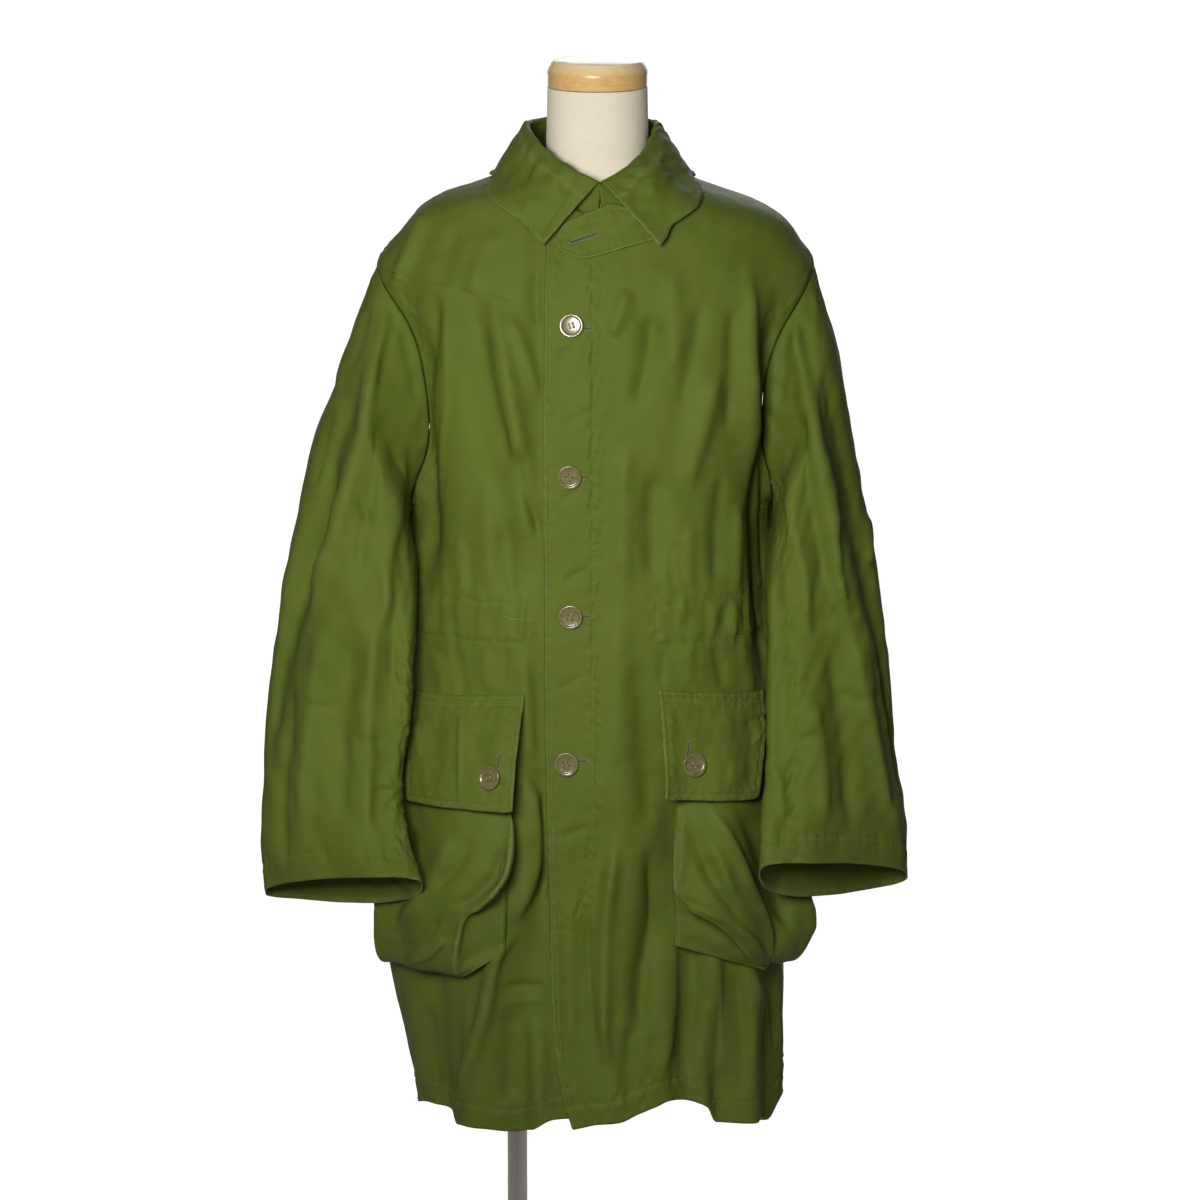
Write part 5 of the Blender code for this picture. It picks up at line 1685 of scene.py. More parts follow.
    def build_under_front(self, creases: Sequence[Crease], look: FrontLook) -> Cloth:
        """Builds the wearer's right front, which is plain where the other one covers it."""
        cloth = self.front(-1.0)
        edge_turn = self.tailor.surface.edge_turn(cloth.grid[..., 2])
        bare = 1 - ease((turn_of(cloth.grid) - edge_turn + self.bare_start) / self.bare_blend)
        cloth.crease(creases, bare)
        cloth.crumple(self.front_crumple, look.seeds.crumple, bare)
        u, _ = VIEW.plane(cloth.grid)
        self.sew_casing(cloth, look.seeds.casing,
                        bare * ease((look.casing_end[0][0] - u) / look.casing_blend))
        cloth.sewn_along(look.casing_end, look.seeds.casing_end, CASING_END_SEWING)
        self.sew_hem(cloth, look.seeds.hem)
        self.sew_shoulder(cloth)
        book = StitchBook("front_right_stitches")
        book.row(cloth, *cloth.inset_from_row(self.hem_inset))
        for line in look.casing_lines:
            book.row(cloth, *cloth.find(trace(line)))
        self.tailor.finish(cloth, book, ["front_right"], look.cut)
        return cloth

    def build_back(self, creases: Sequence[Crease], cut: Cut) -> Cloth:
        """Builds the back, with its waist casing and its hem."""
        cloth = self.back()
        crumple_seed, casing_seed, hem_seed = self.back_seeds
        cloth.crease(creases, behind=True)
        cloth.crumple(self.back_crumple, crumple_seed)
        self.sew_casing(cloth, casing_seed, np.ones(cloth.grid.shape[:2]))
        self.sew_hem(cloth, hem_seed)
        self.sew_shoulder(cloth)
        book = StitchBook("back_stitches")
        book.row(cloth, *cloth.inset_from_row(self.hem_inset))
        height = cloth.grid[..., 2]
        columns = np.arange(height.shape[1], dtype=float)
        for line in self.casing:
            rows = np.array([np.interp(line, height[:, c], np.arange(len(height)))
                             for c in range(height.shape[1])])
            book.row(cloth, rows, columns)
        self.tailor.finish(cloth, book, ["back"], cut)
        return cloth


@dataclass
class Sleeve:
    """A wide sleeve, from its armhole to its turned-up cuff hem."""

    tailor: Tailor
    name: str
    side: float
    stations: list[Station]
    folds: list[SleeveFold]
    cuff: Drop
    seam: Path
    cut: Cut
    slant: float = 0.38
    steps: int = 132
    rings: int = 172
    cuff_inset: float = 0.026
    armhole_inset: float = 0.0004
    armhole_radius: float = 0.2
    mean_radius: float = 0.09
    armhole_free: float = 0.020
    crumple: float = 0.0011

    def angles(self) -> Array:
        """Angles round the sleeve, from its outer edge by its front."""
        return np.linspace(0.0, 2 * math.pi, self.steps, endpoint=False)

    def armhole(self) -> Array:
        """The sleeve's first ring, just inside its armhole."""
        body = self.tailor.surface
        half = body.armhole_half - self.armhole_inset
        angle = self.angles()
        reach = body.armhole_turn - math.degrees(self.armhole_inset / self.armhole_radius)
        turn = self.side * (body.side_turn - reach * np.sin(angle))
        return body.point(turn, body.armhole_middle + half * np.cos(angle))

    def grid(self) -> Array:
        """The sleeve's outer face, ring by ring."""
        angle = self.angles()
        wide = np.sign(np.cos(angle)) * np.abs(np.cos(angle)) ** 0.9
        deep = np.sign(np.sin(angle)) * np.abs(np.sin(angle)) ** 0.75
        loops = [self.armhole()]
        for number, station in enumerate(self.stations):
            outer, inner = np.array(station.outer), np.array(station.inner)
            loop = (outer + inner) / 2 + wide[:, None] * (outer - inner) / 2
            loop[:, 1] -= deep * station.depth
            if number == len(self.stations) - 1:
                back = self.cuff.back * (1 - self.slant * np.cos(angle))
                loop[:, 2] += np.where(deep > 0, self.cuff.front, back) * deep
            loops.append(loop)
        loops = np.array(loops)
        along = run_along(loops[:, self.steps // 4])
        along /= along[-1]
        at = np.linspace(0.0, 1.0, self.rings)
        grid = np.stack([np.stack([through(along, loops[:, k, axis], at)
                                   for k in range(self.steps)], axis=1)
                         for axis in range(3)], axis=-1)
        turn = np.degrees(angle)
        depth = np.zeros((self.rings, self.steps))
        for fold in self.folds:
            share = (at[:, None] - fold.start) / (fold.end - fold.start)
            middle = fold.start_turn + (fold.end_turn - fold.start_turn) * share
            away = wrapped(turn - middle)
            window = ease(share / 0.3) * ease((1 - share) / 0.3)
            depth += fold.depth * window * bell(away, fold.spread)
        depth *= ease(at / 0.12)[:, None]
        grid[:, :, 1] -= depth * np.sign(deep) * np.abs(deep) ** 0.5
        grid[:, :, 0] += self.side * depth * np.clip(np.cos(angle), 0, 1)
        return grid if self.side > 0 else grid[:, ::-1]

    def build(self, creases: Sequence[Crease], behind: Sequence[Crease], seed: int) -> Cloth:
        """Builds the sleeve with its creases, seam and cuff hem."""
        cloth = Cloth(self.name, self.grid(), tube=True)
        down = cloth.lengths(0)
        free = ease(down / self.armhole_free)
        cloth.crease(creases, free)
        cloth.crease(behind, free, behind=True)
        angle = self.angles()
        length = down[-1:].mean()
        around = self.mean_radius * np.sin(angle)[None, :] + down * 0
        across = self.mean_radius * np.cos(angle)[None, :] + down * 0
        cloth.move(free * self.crumple * (ripple(around + across, down, 0.090, seed, 1.4)
                                    + 0.5 * ripple(around - across, down, 0.036, seed + 1)))
        cloth.move((0.0010 * bell(down - 0.012, 0.010))
                   * ripple(around, across + down * 0.2, 0.020, seed + 2))
        cloth.mark(seam=0.7 * bell(down, 0.010))
        cloth.sewn_along(self.seam, seed + 3, SLEEVE_SEWING)
        to_cuff = down[-1:] - down
        cloth.turn_up(to_cuff, self.cuff_inset)
        off = to_cuff - self.cuff_inset
        beside = bell(np.abs(off) - cloth.pucker_offset, 0.006)
        puckers = ripple(around * 1.6, across * 1.6, 0.016, seed + 4)
        cloth.move(HEM_SEWING.pucker * beside * puckers
                   - HEM_SEWING.depth * bell(off, cloth.groove))
        cloth.mark(seam=bell(off, 0.009))
        cloth.edge_at(to_cuff)
        book = StitchBook(f"{self.name}_stitches")
        rows, columns = cloth.inset_from_row(self.cuff_inset, from_end=True)
        book.row(cloth, np.append(rows, rows[0]), np.append(columns, float(self.steps)))
        self.tailor.finish(cloth, book, [self.name, f"under_{self.name}"], self.cut)
        log.info("%s: %.3f m long", self.name, length)
        return cloth


@dataclass
class Collar:
    """The turned-down collar: a stand at the neck, a roll, and leaves that lie on the coat."""

    tailor: Tailor
    cut: Cut
    leaf_clear: float = 0.0038
    tab_clear: float = 0.0020
    tab_step: float = 0.0048
    tab_step_height: float = 1.350
    bend: float = 0.0020
    wall: float = 0.0018
    places: int = 35
    rows: int = 196
    columns: int = 48
    stitch_inset: float = 0.0058
    seeds: tuple[int, int, int] = (61, 62, 63)
    table: list[CollarRow] = field(default_factory=lambda: [
        CollarRow(0.00, 180.0, 0.079, 0.079, 1.446, 180.0, 0.108, 0.108, 1.378),
        CollarRow(0.20, 140.0, 0.079, 0.072, 1.446, 142.0, 0.110, 0.104, 1.380),
        CollarRow(0.40, 104.0, 0.0765, 0.0600, 1.447, 106.0, 0.109, 0.095, 1.392),
        CollarRow(0.52, 84.0, 0.0742, 0.0568, 1.444, 86.0, 0.1092, 0.0935, 1.3960),
        CollarRow(0.64, 64.0, 0.0735, 0.0590, 1.436, 72.0, 0.109, 0.0975, 1.3880),
        CollarRow(0.80, 34.0, 0.076, 0.068, 1.419, 50.0, 0.115, 0.110, 1.368),
        CollarRow(1.00, 0.9, 0.084, 0.084, 1.3985, 29.0, 0.117, 0.123, 1.338),
    ])

    def step(self, height: float) -> float:
        """How far the tab under it makes the collar stand out at a height."""
        return self.tab_step * float(ease((height - self.tab_step_height) / 0.016))

    def profile(self, place: float) -> list[Array]:
        """Points across the collar, from the neck seam over the roll to the leaf's edge."""
        body = self.tailor.surface
        side, along = (-1.0 if place < 0 else 1.0), abs(place)
        sign = "minus" if side < 0 else "plus"

        def read(name: str) -> float:
            """One column of the collar's table here."""
            return float(column(self.table, name, along, "along"))

        roll_turn, edge_turn = side * read("roll_turn"), side * read("edge_turn")
        roll = polar(roll_turn, read(f"roll_{sign}"), read("roll_height"))
        edge = polar(edge_turn, read(f"edge_{sign}"), read("edge_height"))
        seam_turn = side * max(abs(roll_turn), 1.5)
        seam_height = float(body.neck_height(seam_turn))
        behind = body.under_lap(seam_turn, seam_height) if side < 0 and along > 0.5 else 0.0
        seam = body.point(seam_turn, seam_height, behind)
        seam[2] += 0.0006
        outward = edge - roll
        outward[2] = 0.0
        outward /= np.linalg.norm(outward)
        bend, lift = self.bend, np.array([0.0, 0.0, 1.0])
        stand = [seam,
                 seam * 0.62 + (roll - outward * bend) * 0.38,
                 seam * 0.22 + (roll - outward * bend) * 0.78 - lift * bend * 0.4,
                 roll - outward * bend * 0.9 - lift * bend * 0.5,
                 roll + outward * bend * 0.1 + lift * bend * 0.25]
        leaf = [roll + outward * bend * 1.1 - lift * bend * 0.6,
                roll * 0.74 + edge * 0.26 + outward * bend * 0.9,
                roll * 0.48 + edge * 0.52 + outward * bend * 0.9,
                roll * 0.22 + edge * 0.78 + outward * bend * 0.5,
                edge]
        cover = self.leaf_clear + self.tab_clear * float(ease((62.0 - abs(edge_turn)) / 12.0))
        front = float(ease((50.0 - abs(roll_turn)) / 12.0))
        return stand + [body.clear(point, cover + front * self.step(point[2])) for point in leaf]

    def build(self, creases: Sequence[Crease], inside: Sequence[Crease]) -> Cloth:
        """Builds the collar with its topstitched edge."""
        coarse = np.array([self.profile(place) for place in np.linspace(-1, 1, self.places)])
        fine = refine(coarse, self.rows, self.columns)
        hidden = Cloth("hidden_side", fine)
        grid = (fine - hidden.normals() * self.wall)[:, ::-1]
        cloth = Cloth("collar", grid)
        leaf = cloth.lengths(1)
        on_leaf = 1 - ease((leaf / leaf[:, -1:] - 0.46) / 0.08)
        cloth.crease(creases, on_leaf)
        cloth.crease(inside, 1 - on_leaf)
        along = cloth.lengths(0)
        roll = bell(leaf / leaf[:, -1:] - 0.50, 0.16)
        cloth.move(0.0011 * roll * ripple(along, leaf * 0.5, 0.020, self.seeds[0])
                   + 0.0006 * ripple(along, leaf, 0.030, self.seeds[1]))
        ends = np.minimum(along, along[-1:] - along) + (1 - on_leaf) * 0.02
        edge = np.minimum(leaf, ends)
        cloth.sewn_at(edge - self.stitch_inset, self.seeds[2], COLLAR_SEWING)
        cloth.edge_at(edge, 0.0005)
        cloth.mark(wear=0.8 * bell(leaf / leaf[:, -1:] - 0.50, 0.02))
        book = StitchBook("collar_stitches")
        book.row(cloth, *cloth.inset_from_column(self.stitch_inset))
        for end in (False, True):
            rows, columns = cloth.inset_from_row(self.stitch_inset, from_end=end)
            on = columns < 0.46 * self.columns
            start = int(self.stitch_inset / leaf[0, -1] * self.columns)
            book.row(cloth, rows[on][start:], columns[on][start:])
        self.tailor.finish(cloth, book, ["collar"], self.cut)
        return cloth


@dataclass
class ThroatTab:
    """The buttoned throat tab, left open below the collar's leaves."""

    tailor: Tailor
    cut: Cut
    upper: tuple = ((-0.0461, 1.3440), (-0.0338, 1.3615), (0.0123, 1.3800), (0.0550, 1.3660))
    lower: tuple = ((-0.0410, 1.3325), (-0.0154, 1.3240), (0.0200, 1.3340), (0.0563, 1.3440))
    lift: float = 0.0033
    softening: int = 30
    rows: int = 44
    columns: int = 92
    step: float = 0.0048
    step_height: float = 1.350
    stitch_inset: float = 0.0046
    thickness: float = 0.0022
    seeds: tuple[int, int] = (81, 83)
    hole: Path = ((-0.0314, 0.3680), (-0.0016, 0.3780))

    def build(self, creases: Sequence[Crease]) -> Cloth:
        """Builds the tab with its topstitching and its open buttonhole."""
        body = self.tailor.surface
        place = np.linspace(0.0, len(self.upper) - 1, self.columns)
        lines = []
        for line in (self.upper, self.lower):
            both = np.stack([np.interp(place, range(len(line)), [p[i] for p in line])
                             for i in range(2)], axis=1)
            lines.append(soften(both, self.softening))
        v = np.linspace(0.0, 1.0, self.rows)[:, None, None]
        flat = lines[0][None] * (1 - v) + lines[1][None] * v
        height = flat[..., 1]
        out = self.lift + self.step * ease((height - self.step_height) / 0.016)
        grid = body.point(body.turn_at(flat[..., 0], height), height, out)[:, ::-1]
        cloth = Cloth("throat_tab", grid[:, ::-1][::-1], thickness=self.thickness)
        cloth.crease(creases)
        along, across = cloth.lengths(1), cloth.lengths(0)
        edge = np.minimum(np.minimum(across, across[-1:] - across), along)
        cloth.move(0.0004 * ripple(along, across, 0.018, self.seeds[0]))
        cloth.sewn_at(edge - self.stitch_inset, self.seeds[1], TAB_SEWING)
        cloth.edge_at(edge, 0.0006)
        book = StitchBook("throat_tab_stitches", pitch=0.0026)
        for end in (False, True):
            rows, columns = cloth.inset_from_row(self.stitch_inset, from_end=end)
            book.row(cloth, rows[6:], columns[6:])
        rows, columns = cloth.inset_from_column(self.stitch_inset)
        margin = self.rows // 5
        book.row(cloth, rows[margin:-margin], columns[margin:-margin])
        self.tailor.buttonhole(cloth, book, self.hole, 0.0010)
        self.tailor.finish(cloth, book, ["throat_tab"], self.cut)
        return cloth


@dataclass
class BellowsPocket:
    """A big pocket that stands out on gussets and sags below its flap."""

    tailor: Tailor
    name: str
    table: list[Pouch]
    attach: tuple[float, float]
    cut: Cut
    clear: float = 0.0036
    low_clear: float = 0.0052
    levels: int = 17
    face_points: int = 7
    rows: int = 100
    columns: int = 96
    wall: float = 0.0014
    stitch_inset: float = 0.0050
    seam_free: float = 0.012
    crumple: float = 0.0007

    def level(self, height: float) -> list[Array]:
        """Points across the pocket at a height: a gusset, the front face and a gusset."""
        body = self.tailor.surface
        side = math.copysign(1.0, self.attach[0])
        key = [-row.height for row in self.table]
        inner, outer, stand_off, sag = (
            float(through(key, [getattr(row, name) for row in self.table], -height))
            for name in ("inner", "outer", "stand_off", "sag"))
        foot = float(ease((self.table[-1].height + 0.060 - height) / 0.040))
        clear = self.clear + self.low_clear * foot
        start = body.point(self.attach[0], height, clear)
        finish = body.point(self.attach[1], height, clear)
        edge = "minus_x" if side < 0 else "plus_x"
        limit = float(column(body.sections, edge, height)) * 0.93
        face = []
        for share in np.linspace(0.0, 1.0, self.face_points):
            x = inner + (outer - inner) * share
            turn = float(body.turn_at(min(abs(x), limit) * side, height))
            y = body.point(turn, height)[1] - stand_off * (0.85 + 0.35 * math.sin(math.pi * share))
            face.append(np.array([x, y * (1 - 0.12 * share ** 3), height - sag]))
        fold_in = start * 0.55 + face[0] * 0.45
        fold_in[0] += side * min(0.012, stand_off * 0.3)
        fold_out = finish * 0.5 + face[-1] * 0.5
        fold_out[0] += side * 0.002
        fold_in[2] = fold_out[2] = height - sag * 0.5
        return [body.clear(point, clear) for point in (start, fold_in, *face, fold_out, finish)]

    def build(self, creases: Sequence[Crease], seed: int) -> Cloth:
        """Builds the pocket with its folded gussets."""
        heights = through(range(len(self.table)), [row.height for row in self.table],
                          np.linspace(0, len(self.table) - 1, self.levels))
        coarse = np.array([self.level(float(height)) for height in heights])
        if self.attach[0] > 0:
            coarse = coarse[:, ::-1]
        cloth = Cloth(self.name, refine(coarse, self.rows, self.columns), thickness=self.wall)
        run, down = cloth.lengths(1), cloth.lengths(0)
        sewn = np.minimum(run, run[:, -1:] - run)
        free = ease(sewn / self.seam_free) * ease((down[-1:] - down) / 0.010)
        cloth.crease(creases, free)
        cloth.crumple(self.crumple, seed, free)
        for column_at in (2, self.face_points + 1):
            place = column_at / (self.face_points + 3) * (self.columns - 1)
            at = np.array([np.interp(place, np.arange(self.columns), line) for line in run])
            ridge = run - at[:, None]
            cloth.move(free * 0.0012 * bell(ridge, 0.0022))
            cloth.mark(wear=0.8 * bell(ridge, 0.0020) * free, seam=0.8 * bell(ridge, 0.007))
        beside = np.where(sewn < self.seam_free, sewn - self.stitch_inset, FAR)
        cloth.sewn_at(beside, seed + 5, POCKET_SEWING)
        book = StitchBook(f"{self.name}_stitches")
        for end in (False, True):
            book.row(cloth, *cloth.inset_from_column(self.stitch_inset, from_end=end))
        rows, columns = cloth.inset_from_row(self.stitch_inset, from_end=True)
        book.row(cloth, rows[4:-4], columns[4:-4])
        self.tailor.finish(cloth, book, [self.name], self.cut)
        return cloth


@dataclass
class PocketFlap:
    """A pocket's flap: two layers, sewn down twice along its top, closed by one button."""

    tailor: Tailor
    name: str
    shape: Flap
    cut: Cut
    hole: Path
    lift: float = 0.0360
    ease_out: float = 0.35
    rise: float = 0.0030
    rows: int = 70
    columns: int = 82
    stitch_inset: float = 0.0062
    top_insets: tuple[float, float] = (0.0030, 0.0105)
    corner: float = 0.010
    thickness: float = 0.0022

    def build(self, creases: Sequence[Crease], seed: int) -> Cloth:
        """Builds the flap with its topstitching and its buttonhole."""
        body = self.tailor.surface
        u = np.linspace(0.0, 1.0, self.columns)[None, :, None]
        v = np.linspace(0.0, 1.0, self.rows)[:, None, None]
        ti, to, li, lo = (np.array(corner) for corner in self.shape)
        place = (ti * (1 - u) + to * u) * (1 - v) + (li * (1 - u) + lo * u) * v
        out = self.rise + self.lift * (1 - (1 - v[..., 0]) ** 1.6) * (
            1 - self.ease_out * u[..., 0])
        grid = body.point(body.turn_at(place[..., 0], place[..., 1]), place[..., 1], out)
        if ti[0] > 0:
            grid = grid[:, ::-1]
        cloth = Cloth(self.name, grid, thickness=self.thickness)
        cloth.crease(creases)
        run, down = cloth.lengths(1), cloth.lengths(0)
        cloth.move(0.0007 * ripple(run, down, 0.055, seed) + 0.0003 * ripple(run, down, 0.02, 9))
        sides = np.minimum(run, run[:, -1:] - run)
        edge = np.minimum(sides, down[-1:] - down)
        round_off = np.hypot(np.clip(self.corner - sides, 0, None),
                             np.clip(self.corner - (down[-1:] - down), 0, None))
        cloth.grid[..., 2] += 0.5 * np.clip(round_off - self.corner, 0, None)
        cloth.sewn_at(edge - self.stitch_inset, seed + 1, TAB_SEWING)
        cloth.sewn_at(down - self.top_insets[0], seed + 2, FLAP_TOP_SEWING)
        cloth.sewn_at(down - self.top_insets[1], seed + 3, TAB_SEWING)
        cloth.edge_at(edge, 0.0006)
        book = StitchBook(f"{self.name}_stitches")
        for end in (False, True):
            rows, columns = cloth.inset_from_column(self.stitch_inset, from_end=end)
            book.row(cloth, rows[:-5], columns[:-5])
        rows, columns = cloth.inset_from_row(self.stitch_inset, from_end=True)
        book.row(cloth, rows[5:-5], columns[5:-5])
        for distance in self.top_insets:
            book.row(cloth, *cloth.inset_from_row(distance))
        self.tailor.buttonhole(cloth, book, self.hole)
        self.tailor.finish(cloth, book, [self.name], self.cut)
        return cloth


# ------------------------------------------------------------------ buttons and loose thread
@dataclass
class Button:
    """A moulded four-hole button with a rolled rim, sewn on with thread."""

    radius: float = 0.0122
    thickness: float = 0.0030
    rim: float = 0.0026
    dish: float = 0.0009
    hole_radius: float = 0.00105
    hole_spacing: float = 0.0021

    def build(self, name: str, node: str, at: Array, normal: Array, spin: float,
              finish: bpy.types.Material, thread: bpy.types.Material) -> bpy.types.Object:
        """Builds one button where it is sewn on.

        Args:
            name: The object's name.
            node: The CAD node that it stands for.
            at: Where its back lies.
            normal: The way that it faces.
            spin: Turn of its holes, in degrees.
            finish: Its material.
            thread: Its thread's material.

        Returns:
            The button.
        """
        bpy.ops.object.select_all(action="DESELECT")
        bpy.ops.mesh.primitive_cylinder_add(vertices=64, radius=self.radius,
                                            depth=self.thickness,
                                            location=(0.0, 0.0, self.thickness / 2))
        made = bpy.context.object
        made.name = name
        bpy.ops.object.transform_apply(location=True, rotation=False, scale=False)
        bpy.ops.object.mode_set(mode="EDIT")
        work = bmesh.from_edit_mesh(made.data)
        for face in work.faces:
            face.select = face.normal.z > 0.9
        bmesh.update_edit_mesh(made.data)
        bpy.ops.mesh.inset(thickness=self.rim, depth=0.0)
        bpy.ops.mesh.inset(thickness=0.0009, depth=-self.dish)
        bpy.ops.object.mode_set(mode="OBJECT")
        rounded = made.modifiers.new("rounded", "BEVEL")
        rounded.width = 0.0007
        rounded.segments = 3
        rounded.limit_method = "ANGLE"
        rounded.angle_limit = math.radians(25)
        holes = []
        for sx, sy in ((-1, -1), (-1, 1), (1, -1), (1, 1)):
            bpy.ops.mesh.primitive_cylinder_add(
                vertices=16, radius=self.hole_radius, depth=0.012,
                location=(sx * self.hole_spacing, sy * self.hole_spacing, self.thickness / 2))
            holes.append(bpy.context.object)
        for number, hole in enumerate(holes):
            cut = made.modifiers.new(f"hole_{number}", "BOOLEAN")
            cut.operation = "DIFFERENCE"
            cut.solver = "EXACT"
            cut.object = hole
        apply_modifiers(made)
        for hole in holes:
            bpy.data.objects.remove(hole, do_unlink=True)
        smooth_by_angle(made, 35)
        facing = Vector(normal).normalized()
        turn = Vector((0.0, 0.0, 1.0)).rotation_difference(facing).to_matrix().to_4x4()
        place = Matrix.Translation(Vector(at)) @ turn @ Matrix.Rotation(math.radians(spin), 4, "Z")
        made.matrix_world = place
        lay_in_place(made, finish, [node])
        self._sew_on(f"{name}_thread", place, thread)
        return made

    def _sew_on(self, name: str, place: Matrix, thread: bpy.types.Material) -> None:
        """Sews the button on with two bars of thread across its holes."""
        low = self.thickness - self.dish
        paths = []
        for sx in (-1, 1):
            for step in (-0.35, 0.35):
                x = sx * self.hole_spacing + step * self.hole_radius
                share = np.linspace(0, math.pi, 9)
                y = -np.cos(share) * self.hole_spacing
                z = low - 0.0009 + 0.0015 * np.sin(share) ** 0.5
                paths.append(np.stack([np.full(9, x), y, z], axis=1))
        made = tubes(name, paths, 0.00034)
        made.matrix_world = place
        lay_in_place(made, thread)


def tubes(name: str, paths: Sequence[Array], radius: float, sides: int = 8) -> bpy.types.Object:
    """Round tubes of one thickness along paths, as one mesh.

    Args:
        name: The object's name.
        paths: The tubes' middle lines.
        radius: Their radius.
        sides: Number of their sides.

    Returns:
        The object.
    """
    points: list[Array] = []
    faces: list[tuple[int, ...]] = []
    count = 0
    for path in paths:
        path = np.asarray(path, float)
        ahead = unit(np.gradient(path, axis=0))
        aside = np.cross(ahead[0], (0.31, 0.17, 0.93))
        rings = []
        for at, way in zip(path, ahead):
            aside = aside - way * np.dot(aside, way)
            aside = aside / np.linalg.norm(aside)
            above = np.cross(way, aside)
            angle = np.linspace(0, 2 * math.pi, sides, endpoint=False)[:, None]
            rings.append(at + radius * (np.cos(angle) * aside + np.sin(angle) * above))
        points.extend(rings)
        for r in range(len(path) - 1):
            for k in range(sides):
                n = (k + 1) % sides
                low, high = count + r * sides, count + (r + 1) * sides
                faces.append((low + k, low + n, high + n, high + k))
        faces.append(tuple(count + k for k in reversed(range(sides))))
        faces.append(tuple(count + (len(path) - 1) * sides + k for k in range(sides)))
        count += len(path) * sides
    made = new_object(name, np.concatenate(points), faces)
    made.data.shade_smooth()
    return made


@dataclass
class LooseThread:
    """A thread end that hangs loose on the coat."""

    name: str
    path: Path
    radius: float = 0.00028
    lift: float = 0.0011
    softening: int = 6

    def build(self, cloth: Cloth, finish: bpy.types.Material) -> bpy.types.Object:
        line = trace(self.path, 8)
        at, normal = cloth.sample(*cloth.find(line))
        at = soften(at, self.softening) + unit(normal) * self.lift
        made = tubes(self.name, [at], self.radius)
        lay_in_place(made, finish)
        return made


# ------------------------------------------------------------------ the dress form
class Ring(NamedTuple):
    """A level section of the padded torso."""

    height: float
    side: float
    front: float
    back: float


